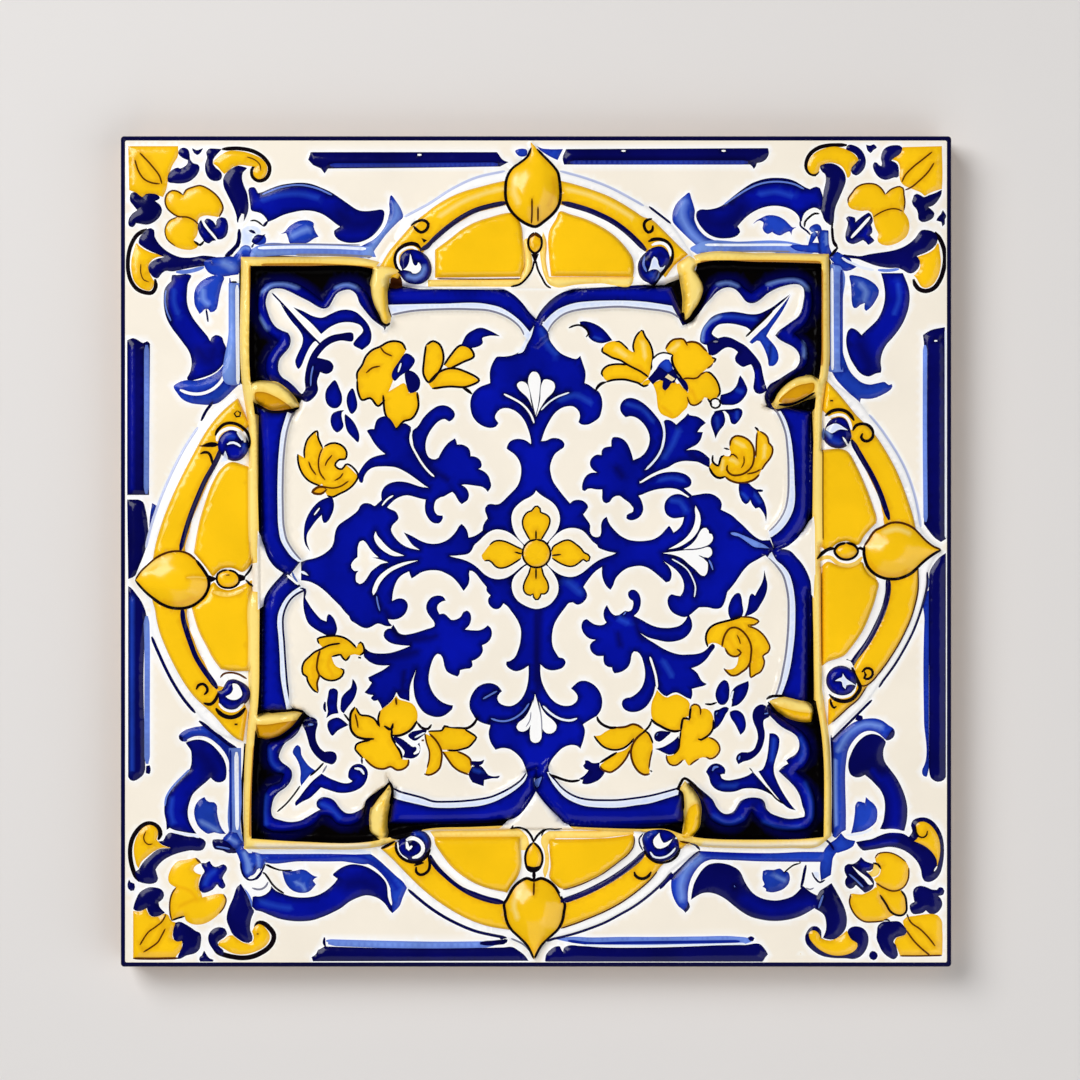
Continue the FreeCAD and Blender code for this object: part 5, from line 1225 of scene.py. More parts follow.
  358.7,754 365,759.3 370.4,764.7 376.8,768.4 384.3,769 390.4,766.8! 396.8,770.2 403.5,769 408,765
  408.6,759.5! 402.4,759.5 400.2,752.8 394.6,743.8 391.8,736! 396.8,736 404.6,733.8 411.4,729.3
  415.3,724.8 417.5,718 417,711.4 412.5,704 405.8,701.3 398.5,699 396.2,695.7! 390,703 382.2,709
  379.5,711.3 378.5,716! 377.9,722! 374.7,719.3 368.3,716 359.7,714.5! 357,711
ink w2.7 355,707 351.2,712.4 350,722 351.2,730.5 355.5,736 364,739 374,739
ink w2.1 356,708 358,712 359.7,714.5 368.3,716 374.7,719.3 378.5,726
ink w2.1 380,711 378,720 379.5,727
ink w3 384,726 391,729.5 393,723.5
ink w2.5 391.8,729 391.8,737 396,745 401,754 402,759
ink w2.1 370,740.5 362,742 356.5,744.4 355,748.7 358.7,754 363,758.5
brown w2.1 365,759.3 370.4,764.7 376.8,768.4 384.3,769 390.4,766.8 396.8,770.2 403.5,769 408,765
  408.6,759.5
ink w2.7 417,721 411.4,729.3 404.6,733.8 396.8,736 391.8,735.4
brown w2.7 395.7,698 396.5,705
brown w1.8 355,714 357,722 358,728
navy w2.4 361.5,758 362,764
navy +0.05/0.4 410.3,732.7 418,730.4 427,729.8 425,733.8 421.4,737 414.7,741 408,735
pale w1.8 414.7,737.7 419,735.5 424.8,732.6
navy +0.05/0.4 393.4,737 400.2,738.2 407,742.7 413.6,747.2 419.2,742.7! 420.3,748.3 418.6,755 413.6,758.4
  407,758.4 402.4,757.3! 404.6,752.8 398,745
white w3.4 405.8,737 409,742.5 413.6,744 418,747.2 417.5,751.7 413.6,754
white w1.6 395.7,743.3 403.5,751
ink w2.7 417,722.5 422,728 428,729 431.5,724.5
brown w4 421.5,740.5 424,740.5
# lower tulip
ink w2.9 477.4,718 473,724.8 467.4,728.2 458.4,728.4 449.4,728.2 444.4,726.5 442.7,730.4 436,731.7
  428.2,731.5
yellow +0.08/0.5 428.2,732! 436,732 442.7,731 445,727.6! 456.2,729 465,729.8 471.8,733.8 476.3,737.5!
  473,742.7 468.5,747.2 463,749 456.2,750.6 447.2,750.3 441.6,750! 439.4,746 435,739.4 429.3,733.8
yellow +0.08/0.5 424.8,733.8! 430.4,736 437,742.7 441,751.7 441.4,760.6 439.4,768.5 433.8,773.5
  428.2,775.2 425.4,773.5! 427,767.4 429.3,758.4 429.3,751.7 427,743.8 424.8,739.4
yellow +0.08/0.5 442.7,751.7! 457.3,751.7 465,755 470.2,759.5 471.3,766.2 469.6,773 465,773.5 458.4,770.7
  452.8,766.2 447.2,758.4
ink w2.1 465,729.8 471.8,733.8 476.3,737.5 473,742.7 468.5,747.2 463,749 456.2,750.6 447.2,750.3
brown w2.1 429.3,733.8 435,739.4 439.4,746 441.6,752 441.4,760.6 439.4,768.5 433.8,773.5 428.2,775.2
  424,774
brown w2.1 442.7,751.7 447.2,758.4 452.8,766.2 458.4,770.7 465,773.5 469,775
brown w2.1 457.3,751.7 465,755 470.2,759.5 471.3,766.2
brown w1.7 424.8,733.8 426.5,743 429.3,752 429,760 427,768
navy +0.05/0.4 470.7,762.3 480.8,761.2 484.2,759.7! 483,763.4 471.8,765
navy +0.05/0.4 471.8,766.8! 480.8,766.2 484.2,769.6 488.6,775.2 493,776.5 499.8,775.8! 499.3,777.4
  492,778.6 484.2,780.2! 483.6,786.4! 478.6,784.7 472.4,782.5! 468.5,775.2
blue~blue w7 474,770 480,772
# palmette at the foot of the cross
pale 534,779 541,777 540,783 537,788 535,784
white 535,694.6! 538,708 540.2,722.6 541.8,735 540.2,741 535.7,743 531.8,741.6 530,736 530.6,724.8
  532.5,710
white 533.4,700! 530,709 524.5,718 517.8,723.7 516.4,727 519,731 523.4,731.7 527.8,729.3 530.6,724.8
  533,718
grey w1 531,712 530,720 526,727
sky w1.8 491,718.6 498.7,721 506.6,721 516.6,717 524.5,710.2 529,703.5
sky w1.8 483,699 490,695 497,691.2
# lower right of the field: cross, right arm and foot
cobalt 536,556! 620,548! 770,540! 775,551! 764,556 757,560 750,564 744,570 739,577 735,583 731,588
  727.5,592! 726,598 724,604 721,608 715,609 708,607.5 699,607.5! 696,610 692,613.5 688,616.5! 684,617.3
  678,615.5 672,612 669,607.5 667.5,601 668.5,597 671.5,594.3 676,595.5 680.5,596! 683,592 684,586
  682.5,579 678,572 671,566 664,561.5! 669,566.5 671.5,572 671.5,577.5 669.5,581.5 666,582.5! 660,577
  654,572 648,568 641,566 634,566.5 627,568.5 620,573.5 615.5,579 613,586 610.5,590! 607,587 604,582
  602,575 602,567! 596,571 590,577.5 586,583 583.5,587! 586,591 587.3,596 585,600.5 581,604 577,604.8
  573,602.5! 569.5,602.8 565,608 559,616 554.5,624 552.5,632 552,640 553,647 556,653 559,657.5!
  563.5,658.5 565.7,662.5 563,667.5 557,670 551,670.5 545,668.5 540.5,664.5! 540.5,674 542,682 546,691
  551,698.5 558,704 566,706 573,704.5 577,700.5 577.5,696 575,692 571,688.5! 574.5,685 579,681.5 585,680.8
  592,683.5 598,689 601.5,696 602.3,704 600.5,711 597,716! 590,720 583,724.5! 585,730 584,738 580.5,749!
  577,746 571,745.2 563,748 556,754.5 550,763 547,772 543,783 537,793! 535,790!
pale w1.4 672,559 680,563.5 687,569 692,577 695.5,587 694.5,597
sky w1.8 709,560 711,564 713,570
blue~blue w12 568,582 580,592
blue~navy w12 540,612 538,650 538,690
# carnation, its arm and leaf
cobalt +0.05/0.4 634,616! 638,612 640.5,606 640.8,599 638.5,593 635,590 631,589.8 628.3,592 628.3,596
  630.5,599.5 633,601 633,606 631,610.5 628.5,611.5! 625.5,610.8 622,613 619,615 615.5,615.5 612,613.5
  609.5,610 607,605! 605,608 603.5,613 604,618 606.5,622.5! 604,624.5 600,625.2 595,624.5 590,621.5
  586.5,619 583.5,620.5 581.5,625 582,630 584.5,634.5 589,638.5 595.5,640! 592,642 590,645 590.5,650
  593,653.5 597,656 603.5,656! 603.5,661 605,665 608,667 612,667.5! 612.5,670.5 614.5,673.5! 620,672.5
  625,670 629,666 631,660 632,654 634,651.5 637.5,652 641,656 643.5,663 645,672 644.5,680 641.5,688
  636,694 630,697.5 626,698 623,700 621.8,704 623.5,708.5 628,711.5 634,712.3 641,710.5 647,706 651,700
  654,693 655.5,686! 660,692 664,695.5 667,696.5! 671,694 676,692.5 681,694.5 686,697.5 691,699.5!
  692.5,695 692,689! 696,688 700,687 705,685.5 707,684! 703,682 700.5,679 698,674 694,670 691.5,668.5!
  698,666 705,661 711,653 715,645.5 713,643.5 711,644.5 708,648 703,652 696,654 688,654.5 680,654.5
  672,652.5 663,648.5 655,643.5 647,638.5 640,633! 648,637.5 657,640 667,642 675,641.5 683,639 689,634
  692.3,627 691.5,620 688.5,614! 685,621 680,625.5 673,627.5 665,628 657,627 649,624 642,620
white w2.2 650,657 653,666 656,677 657.3,688
sky w1.4 623.5,615 626,612
blue~navy w12 618,634 620,645
blue~navy w10 634,618 638,630 642,640
blue~blue w10 620,619 628,623
blue~blue w9 664,662 672,676
# right tulip and its leaves
cobalt +0.05/0.4 731,620! 728.5,614 728.3,608 730,602 733,596.5 737,593 739.5,593 741.5,597 742.5,604
  743.5,612 742,617! 737,619
cobalt +0.05/0.4 744,617! 747,610 748.5,603 749.5,597 752,593.5 754,594.5 755,596! 757.5,591 761,585
  763.5,578 764.5,570! 766,577 767.5,584 767,591 764.5,598 760.5,605 757,610.5 752,614
yellow +0.08/0.5 708,645! 706,640 706.5,634 709,629 714,625 721,622.5 729,620.5 736,618 741,617 747,617
  753,618 759,621! 755,624 751.5,626! 757,629 763,634.5 767.5,641 770,648 768.5,652.5 763,656! 764.5,661
  763.5,667 760,672.5! 756,674.5 751,677.5! 750,671 750,664! 747,668 742,672 736,675.5 731,675.5 727,672
  724.5,669! 730,669.5 735,667.5 737.5,663 738.5,657! 733,657 728,653.5 725,648.5! 722,646.5 718,644
  712,643
gold~honey w8 730,640 734,648
gold~honey w8 745,645 747,660
gold~honey w8 757,650 755,670
ink w2.3 708,647 706,640 706.5,634 709,629 714,625 721,622.5 729,620.5 736,618.5 742,616.5
brown w1.8 741,617 747,617 753,618 759,621.5 754,625 748,625.5 757,629.5 763,634.5 767.5,641 770,648
  768,652.5 763,656 764.5,661 763.5,667 760,672.5 756,674.5 751,677.5 750,671 750,662
brown w2.1 724,668.5 727,672 731,675.5 736,675.5 742,672 747,668 750,663 751,656 751.5,649 750,642 746,635
  741,630 735,627.5 730,628.5 726,633 723.5,639 722,647
brown w2.1 725,648 728,653.5 733,656.5 738,656 741,652.5 737,649
brown w1.4 737,635 739.5,640 740.5,644
navy w4 709,648.5 714,645
# sprig
cobalt +0.05/0.4 724.5,680 721,682 718,686 716,691 715.5,696 717,701 719.5,704.5 724,705 728.5,700
  729.5,693 729,685 727,681
cobalt +0.05/0.4 748.5,681! 742,683.5 736,686.5 732.5,690.5 730.5,696 732,700 731.5,707! 737,705.5
  742,701.5 746,696 748.5,689 749,684
pale w2.2 733.5,691 732,695 732,699
ink w2.3 705,704 711,704.5 717,702.5
cobalt +0.05/0.4 729,708.5 727,707 724,707 719,709.5 714.5,711 714,716 714.5,722 714,730! 719,726 723,720
  726,714
sky w2 716,714.5 717.5,712.5
cobalt +0.05/0.4 730,712 733,710.5 738,710.5 743,714 745.5,720 746,727 744,732 740.5,735! 738,730 735,724
  731,718
# corner lobe brushwork
navy +0.05/0.4 767,707 763,704.5 758,705.5 754,709.5 752.5,715 753.5,722 756.5,729 758,737 756.5,744
  753.5,750 748,752.5 742,752.3 737.5,755 736,759 738.5,764.5! 743,762 750,760 756,756 761,750 764,742
  765,733 763.5,724 764,720 769,717 770,712
sky w2.6 764.5,714 768,713
sky w2.2 740,756 738.8,760
cobalt +0.05/0.4 769.5,733.5! 774,733.5 779,737.5 779.5,744 778,752 775.5,760 774,767 774.5,774 777.5,782
  782,791 787,799 792,806 796,810.5! 790,809 783,804 777,797 771,789.5 765,781.5 758.5,771.5! 762,770
  766,762 768,752 769,742
cobalt +0.05/0.4 706,772! 709,767 713,764 717,763.5 722,765.5 725.5,770 725,774! 720.5,775 722,778.5
  727,780.3 735,779.5 743,777.5 749,775 753,772! 758,777.5 765,785.5 773,796! 765,791.5 757,789 750,788.5
  743,789 736,791.5 729,792.3 721,791.5 714,788 710.5,783 709,777
sky w2.6 712.5,771 714.5,767.5 718.5,767
ink w1.4 749.5,768 753,772
ink w1.8 765,786.5 771,793 777,799.5 784,804
blue~blue w8 774,740 772,760
blue~blue w8 722,786 735,786
# lower flower
yellow +0.08/0.5 657,690! 661,694 665,697 668,697.5! 672,695.5 677,694.5 683,697 688,700.5 690,704!
  689.5,710 689.5,716! 684,718.5 682,723 681.5,730! 674,731 668,729.5 661,726 655,722.5 652,718 651,710
  652,702 655,695
yellow +0.08/0.5 690.5,713! 690.5,706.5 694,704.5 698.5,705.5 700.5,709! 705,708.5 710,711 713,716 714,722
  713,729 710,734.5 707,737! 712,738 717,742 720,747 719,752 715,756.5 709,759! 703,757.5 698,759.5
  693,763 689,766 686.5,763 685,760! 681,762 677,765 672,765.5 667.5,762 666.5,756! 673,755 677.5,751
  679.5,743 680.5,735 682,724 684,719.5 688.5,720.5!
white 652,724.5! 658,727.5 665,731! 659,731.5 655,734 653.5,739! 652,732
navy +0.05/0.4 654,737 656,732.5 660,731 667,731.5 671,732.5 667,736.5 663,740 659,742 656,741
white 655,748! 660,742.5 665,738.5 671,734 679,732.5! 676,737 670,742 664,745.5
cobalt +0.05/0.4 655,749! 662,747.5 668,744.5 674,740.5 678.5,736! 679.5,744 677.5,750 674,754 669,755
  664,753 660,751
sky w1.4 656.5,736 658,733.5
ink w2.7 651,719 655,723 661,726.5 668,730 675,731.5 681,730.5
ink w2.5 691,707 690,714 689,719.5 687,718.5 683.5,718.5 682,723 681,731
ink w1.8 681,731 679.8,740 678.5,749 674,754.5
brown w1.8 690.5,707 694,704.5 698.5,705.5 700.5,709 700.5,715
ink w2.3 713.5,720 713,729 709,735 704,738.5 701,740 698,739
brown w1.8 709,737.5 714,739.5 719,745 720,750 717,755.5 710,759 706,757
brown w1.8 699,759 694,762 690,765.5
brown w1.8 666.5,755 667,760 670,764.5 676,765.5 680,763 683,760
# lower tulip
yellow +0.08/0.5 594,736! 600,735.5 605,732 611,729 618,728 626,727 633,724.5 638,725.5 646,730.5! 640,735
  634.5,740 630,744 624,748 617,750 610,749.5 603,746.5 598,741.5
yellow +0.08/0.5 634,741! 624,750.5 617,753 608,759 600.5,765! 602,769 606,771.5 610,772.5 616,769.5
  622,764 627,757 631,749!
yellow +0.08/0.5 644,731! 647.5,731.5 650,735 652,741 653,747 652.5,753 650,761 649,767 650,770.5 649,774
  645,774.5 639,772 635,767 632,760 630.5,752 632,745 636,738
ink w2.9 597,716.5 598,720 601,723.5 605,726 610,727.8 618,727.5
brown w2.3 616,727.8 626,726.8 633,724.3 638,725.5 643,729
ink w2.1 594,736 598,741.5 603,746.5 610,749.5 617,750 624,748 630,743.5 634,738.5
ink w2.7 617,752.5 608,758 600,763
brown w2.1 600,766 602,769.5 606,771.5 610,772.5 616,769.5 622,764 627,757 630,750
brown w2.3 644,732 637,738 632.5,745 631,752 632,760 635,767 639,772 645,775 650,774
ink w2.1 645,731 648.5,733.5 651,738 653,743.5
brown w1.7 652.5,750 650,761 649,769
ink w3.4 650.5,770.5 652,772
ink w2.3 651.5,720.5 650,725 646,730 642,734
navy +0.05/0.4 585,760.5! 588,760.5 592,763 597,763 600,762.5! 599.5,767 602,770.5 605,772.5! 602.5,776.5
  599,780 593,783 586,784.5 582,783.5 583,780! 579,779.5 584.5,775.5 588.5,770.5! 585,769 583,766
  585,763.5!
ink w2.7 549.5,774.5 556,777 564,780 572,781.5 580,780.3
# palmette at the foot
white 535,694! 538,705 540.5,718 541.5,732 541,739 538,742.5 535,743 531,741 530,735 530.6,724.8 532.5,710
white 539,702! 542,709 547,715.5 553,720.5 556.5,725.5 555.5,730.5 551.5,733.5 546,733 542.5,729 541,722
  539.5,711
grey w1.2 539.3,704 541.5,720 542,733
pale w2.2 543,706 549,712 556,717 564,720 571,720.5 577,718.5
sky 535,781 539,778.5 541.5,776.5 540,783 537,788.5 535,786
# palmette at the top of the cross
white 528.5,378 530,374 533,371.5 536.5,372 539,375 540.5,380 540,387 537,410 535.5,415! 531,395
white 517,384 519,382 523,381.5 527,384 529,389 531,402 536,417.5! 531,404 527,397 522,392.5 518,388
white 542,383 544,379.5 550,380 553.5,382 555,387 553,392 547,398 541,407 536,417! 540,400
# centre flower: white petals, yellow petals and disc
cream +0.08/0.5 536,490.5! 534,494 530,497 524,500 518,504.5 513.5,510 511.5,517 512,524 514,531 518,538
  523.5,544! 536,556! 547.5,542! 552,537 556,532 558.5,527 559.8,521 559.5,515 557.5,509 554,504 549,500
  544,497 539,493.5
cream +0.08/0.5 449.5,556! 460,555.3 469,553.3 472,550 474,545.5 479,541 484,536 490,531.5 496,529.5
  502,530 508,532 514,536 519,540.5 523,544.5! 536,556! 525.5,564! 521,567 517,570.5 512,574.5 507,577.5
  501,579 495,579 489,577 483,573 478,568 471,563 463,559.5 455,557.5
cream +0.08/0.5 616,553! 608,551.5 602,549.5 598.5,548 597,545 593,542 588,536 583,531 577,528.5 571,528
  564,529.5 558,533 553,537.5 549,542! 536,556! 548,565.5! 553,570 558,573.5 564,576 570,577 576,576
  582,573 587,569 593,564 600,559.5 606,557 612,555
cream +0.08/0.5 536,609 531,608 524,605 518,601 514,595.5 512,589 512,582.5 514,577 519,571.5 525,566!
  536,556! 548,566.5! 553.5,573.5 557,580 558.5,587 557.5,594 554,600 549,605 542,608
yellow +0.08/0.5 530,540! 526,533 523,526.5 522.5,521 524.5,515.5 528,512 531.5,510.8 533,509 535,506.5
  537.5,506.2 540,508.5 540.5,512 545,514 549,517 550,521 548.5,527 545,533.5 541,540!
yellow +0.08/0.5 522.5,549.5! 518,547.5 512,544.5 505,541.5 499,540.5 494,541.5 489.5,545 484,552
  481.5,555.5 484.5,561 489,560.5 492,562.5 495,566 499,568 503,568 509,566 515,562.5 521,558.5!
yellow +0.08/0.5 551.5,551.5! 553,547 558,543.5 563,541 568,540 577,545 581.5,549 584,552.5 588,554.5
  590,557 589,560.5 586.5,561.5 583.5,559.5 580,562 575,565.5 570,566.5 564,565 557,561.5 552,558!
yellow +0.08/0.5 530.5,567! 529,573 525.5,580 523.5,586 524,591 527,594.5 530.5,595.5 533,594 533.5,597
  535.5,599.5 538,599.5 540,597 541,594 544.5,594 547.5,591.5 548.5,587 547,581 544,576 541.5,567!
ink w1.8 530,540 526,533 523,526.5 522.5,521 524.5,515.5 528,512 531.5,510.8 533,509 535,506.5 537.5,506.2
  540,508.5 540.5,512 545,514 549,517 550,521 548.5,527 545,533.5 541,540
ink w1.8 522.5,549.5 518,547.5 512,544.5 505,541.5 499,540.5 494,541.5 489.5,545
ink w1.8 521,558.5 515,562.5 509,566 503,568 499,568 495,566 492,562.5 489,560.5 484.5,561
ink w1.8 551.5,551.5 553,547 558,543.5 563,541 568,540 577,545 581.5,549 584,552.5 588,554.5 590,557
  589,560.5 586.5,561.5 583.5,559.5 580,562 575,565.5 570,566.5 564,565 557,561.5 552,558
ink w1.8 530.5,567 529,573 525.5,580 523.5,586 524,591 527,594.5 530.5,595.5 533,594 533.5,597 535.5,599.5
  538,599.5 540,597 541,594 544.5,594 547.5,591.5 548.5,587 547,581 544,576 541.5,567
ink w2.1 523,544.5 527,548
ink w2.1 525,566 528,562
ink w2.1 549,542 546,545.5
ink w2.1 548,566 545,563
yellow +0.25/0.8 536.5,539.5 543.5,541.3 548.6,546.5 550.5,553.5 548.6,560.5 543.5,565.7 536.5,567.5
  529.5,565.7 524.4,560.5 522.5,553.5 524.4,546.5 529.5,541.3
ink w2.1 536.5,539.5 543.5,541.3 548.6,546.5 550.5,553.5 548.6,560.5 543.5,565.7 536.5,567.5 529.5,565.7
  524.4,560.5 522.5,553.5 524.4,546.5 529.5,541.3 536.5,539.5
ink w1.8 536,530.5 536,540
ink w1.8 514.5,552 522,554
ink w1.8 552,555.5 561,554.5
ink w1.8 536,568 536,579
# palmette on the right arm
white 706.4,528 708.7,530.5 709,533.3! 712.1,534.3 713.1,537.5 712.1,541.3 709,544.5 701.3,547.6
  693.7,548.9 683.6,549.3! 691.2,544.5 696.3,538.8 700,531.8 702.6,528.6
white 663,553.2! 676,551.4 686,550.2 699,549.3 706.4,547 710.2,547.6 712.1,551 711.5,555.2 708.3,557.8!
  704,557! 707.7,562.8 708,567.3 707,573 704.5,576 700.7,575 696.3,570.4 688.7,564 682.3,558.4 674.7,555.2
navy w1.2 684,549.7 694,549.3 702,548 709,545.5
navy w1.2 699,555.5 704,558 707.5,562
white 695.6,505.8! 699.4,512.8 700.7,520.4 698.8,529.3 693.7,537 686,543.2 677.3,547.6 668.4,549.2!
  676,545 683.6,540 690,533 694.4,524.2 695.6,515.3 695,509
sky 730.5,533 734.3,532.4 740.6,534.3 749.5,538 758.3,542 766,545.7 769.7,548.5! 762,547.8 754.5,547
  747,542 738,536.2 732,534.8
# top lunette
white @0.5/0.8 376,268! 384,256 398,238 404,217! 430,203 450,190 475,178 505,171 536,168 560,171 585,178
  609,187 632,199 649,207 671,223.5 690,250! 697,266 665,284! 560,290! 420,289! 390,283!
haze w2.8 404,217 430,203 450,190 475,178 505,171
haze w2.8 560,171 585,178 609,187 632,199 644,206
navy w2.6 649,206.5 660,215 671,223.5
yellow @1.3/0.6 378,270! 390,250 405,233 415,222 425,214 440,203 460,193 480,187 505,181 536,178 565,182
  580,186 595,191 610,197 622,203.5 634,211 643,217 652,220 661,228 670,237 679,246 688,254.5! 676,264
  665,278! 648,254! 632,239! 611,223! 588,212! 561,205! 507,205! 475,213! 447,230! 427,249! 417,258!
  396,282!
navy w4.6 507,203 490,206.5 475,211 460,219 447,228.5 436,238 427,247 420,251
navy w5 561.5,203 575,206.5 588,210.5 600,215.5 611,221 622,228.5 632,237 641,246 646,251
white w4 507,208.5 490,212 475,217 460,225 447,234.5 436,243.5 430,249
white w4 561.5,208.5 575,211.5 588,215.5 600,220.5 611,227 622,234.5 632,244 638,251
straw @1.2/0.8 428,280! 480,280! 519,279.5! 524,268 523.5,240! 528,238! 531,252 532.5,262! 530.5,274
  525,283 516,287! 470,287! 428,287!
brown w1.3 437,279 470,279.3 521,279
straw @1.2/0.8 549,277! 546,262 546,240 543,232! 540,245 541,262 544,275 549,284.5 556,287.5 575,285
  600,283.5 632,284 634,277!
yellow @1.5/0.7 435,250! 450,239 460,231 475,222.5 490,217.5 505,213.5 510,213 517,218 521,225 523,240
  524,268 521,277! 435,278!
yellow @1.5/0.7 559,212 572,215 585,219 597,224.5 608,231 618,239 626,248 632,257 634,268 633,277!
  551,276.5! 549,258 550,229 556,219
gold~straw w5 524,240 525,262 527,276
cream 535,264! 538,272 542,280 547,287 551,289! 512,289! 520,285 527,278 532,271
ink w2.1 534.5,260 532,270 527,278 520,284.5 511,287
ink w2.1 535.5,260 538,270 542,278 547,286 551,288.5
ink 531,254! 539,254! 535,264!
yellow +0.4/0.6 535,233 540.5,238 541.5,244 539.5,250 535,253 530.5,250 528.5,244 529.5,238
ink w2.5 535,232.5 541,238 541.8,244 540,250 535,253.6 530,250 528.2,244 529.2,238 534,232.7
brown w3 530,238 535,234.5 540,238
straw w3 532.5,243 533,248
yellow @2.6/4.2 530.5,142! 531,150 528,156 520,163 512,169 507,178 505.5,190 506,200 509,208 514,215
  521,221 528,225 535,227 545,221 552,215 557.5,208 559.5,203 560.5,196 560.3,188 559.5,181 557.5,172
  554,167 548,160.5 542,154.5 537,149!
ink w3 531,148 528,156 520,163 512,169 507,178 505.5,190 506,200 509,208 514,215 521,221 528,225 535,227
  545,221 552,215 557.5,208 559.5,203 560.5,196 560.3,188 559.5,181 557.5,172 554,167 548,160.5 542,154.5
  537,149
brown w1.8 532,200 532,214 531.5,224
brown w1.8 538,208 538,222
gold~straw w9 516,178 514,192 518,204
gold~honey w7 553,178 554,192 549,206
brown 390.5,279! 393,277.5 398,279 400,276! 402,280 402,286! 396,288! 389,287!
gold~straw w7 440,217 462,203 485,194 505,189
gold~straw w7 567,190 590,196 612,206 632,218
ink w4 403,276.5 397.5,268 395.5,261 396.5,255 400,249.5 406,245.5 412,244.2 417.5,245.8 421,249.5
cobalt @1.7/0.9 400,261 401,256 404,252.5 408,250.5 413,250 418,251 423,253 427.5,257 430.5,262.5
  431.8,270 430.5,276 426,281.5 420,284.3 413,284.3 406,282 401.5,277 400,268
white w2.4 402,271 399,266 397.8,260 399,254.5 403,250.5 408,248.3 413,248 418,250.5
white 410.6,254.5! 411.6,257.4 412.6,261.4 414.2,265.4 415.8,266.6 417.4,265.8 418.6,263! 420.6,265
  421.6,267.8 421,270.6 419,273 416.2,274.4 413,274.2 411,272.2 407.4,271.2 403.4,270.5! 405.8,269
  408.2,265.8 409.6,262.2 410.2,257.4
blue~sky w9 408,277 416,278.5 422,275 424.5,269
blue~navy w9 405,257 404,264
ink w3.1 411,226 417,222 424,221 428.5,224.5 427,230 421,233 416.5,230 413.5,226.5
ink 421.5,238.5! 427.5,241! 424,243.5!
ink w3.6 648,242.3 651.7,240.5 656,239.7 661.3,240.2 666.6,242.6 670.3,247 672,252.7 672,258 670.3,263.4
  667,267.5 664,271.5 660,276.2 655,283 652.5,286
white w3 651.5,245.8 655,244.3 660,243.5 664.5,244.8 667.8,248 669.6,252 670,257
cobalt @1.7/0.9 637.8,264.5 640,258.6 644.2,253.8 649,250 655,247.4 661.3,247 665.5,249.5 668.7,254.3
  669.8,259 668.7,263.4 665.5,268.2 661.8,272.5 659,276.2 656,281.5 651.7,284.7 647.4,283 642.6,280
  639.4,275.7 637.8,269.8
pale 653.8,257.3 656,258.6 657.5,261.3 658,265 659.7,268.2 662.3,268.2 665,266! 663.4,269.5 660,273!
  657,270.5 652.7,270 648,272! 649.5,268.2 650.6,264.5 651.7,260.2
sky w2.4 644.5,257 643.3,262 643.6,267 646.3,272.5
sky w1.6 659,273 658,277 655,281
blue~blue w9 651,275 655,279
blue~navy w9 660,254 664,258
ink w3.2 652.5,226 652,231 648,233 644.5,229 644,224 647,220.5 652,219
# tabs over the top of the frame
straw @1.8/0.8 374,268 371,276 369.5,285 370,294 373,305 378,315 383,324 387,325.5 390,323 391,317 389,312
  388,303 387.5,292 388.5,285 390,278 399,272 384,267
gold~yellow w9 384,290 385,310 387,322
ink w2.5 369.5,285 370,294 373,305 378,315 383,324 387,325.5 390,323
straw @1.8/0.8 677,269 680,280 682,291 683,300 682.5,310 683,318 685,321 689,319 694,312 700,303 703,296
  704.5,289 703,282 699,275 695,268 697,265 694,259 689,256 684,259 677,265
gold~yellow w10 684,274 686,292 686,312
ink w2.5 683,312 685,321 689,319 694,312 700,303 703,296 704.5,289 703,282 699,275
# left lunette
white @0.5/0.8 236,394! 218,408 198,427! 185,447 173,470 164,490 157,508 150,530 146,548 134,579! 150,605
  152,636 155,645 166,670 182,697 196,713 220,735 246,744! 249.5,700! 250,640! 249.5,500! 248,420!
haze w2.8 198,427 185,447 173,470 164,490 157,508 150,530 146,548
navy w3.4 151.6,636.7 155,645 159.4,655 166.2,669.7 174,684.3 181.8,696.6 189.7,706.7 195.3,713
yellow @1.3/0.6 238,398! 222,412 210,426 200,442 193,455 180,480 170,502 161,526 155,548 152,575
  152.7,601.4 155,609.3 156.6,619.4 160,632.8 166.2,648.5 173,663 179.6,675.3 187.4,687.7 195.3,697.7
  203,705 214.3,715.7 227.6,731 237,739 243.4,741.6! 247.5,711! 240,690! 215,685! 190,630! 184,560!
  192,520! 220,455! 250,425!
navy w4.6 221,452 214,466 206,480 198,498 191,516 185,535 181,551
navy w5 183,607 184,619.4 187.4,631.7 192,645 196.4,656.3 203,667.5 211,678.7 218,688.5
white w4.6 226,455 219,469 211,483 203.5,500 196.5,518 190.5,537 186.5,552
white w5 189,607 190.5,618 194,631 198.5,644 203.5,655 210,666 217,676 223,684
yellow @1.5/0.7 228,463 253,468! 253,540 252,562 243,572 232,568 222,569 213,577! 205,566 194,553! 196,540
  200,520 206,500 213,482 221,469
yellow @1.5/0.7 192,608! 198,602 205,597 209,588 214,582 219,587 228,590 240,586 252,580! 253,620 253,660
  250,671! 232,671 221,669.2! 213.2,658.5 206.5,646 199.7,632.8 195.3,620.5
straw w4.5 214,592 228,594.5 244,590
straw @1.6/1.2 249.5,412! 258,415! 258.5,480 258.5,525 258,548! 252,562! 249.5,540 248.7,500 248.7,450
straw @1.6/1.2 252,588! 258,606! 259,660 258.5,705! 250,712! 248.7,690 248.8,640 249,600
brown w1.7 200,446 210,446.5 220,445
ink w2.5 196.4,560 204,570 209,578.5
ink w2.3 252.4,564.5 250,570 244.5,577
ink w2.3 245.7,579.6 249,583 253.5,586.5
ink 209,575! 214,577 218,578! 214,581 209,583!
ink 239,574! 246,576! 245,580! 239,582!
yellow +0.4/0.6 228.3,570.5 235,572.5 239,577 239,582 234,586.5 228,587.5 221,585.5 217.5,580 218.5,574.5
  223,571.3
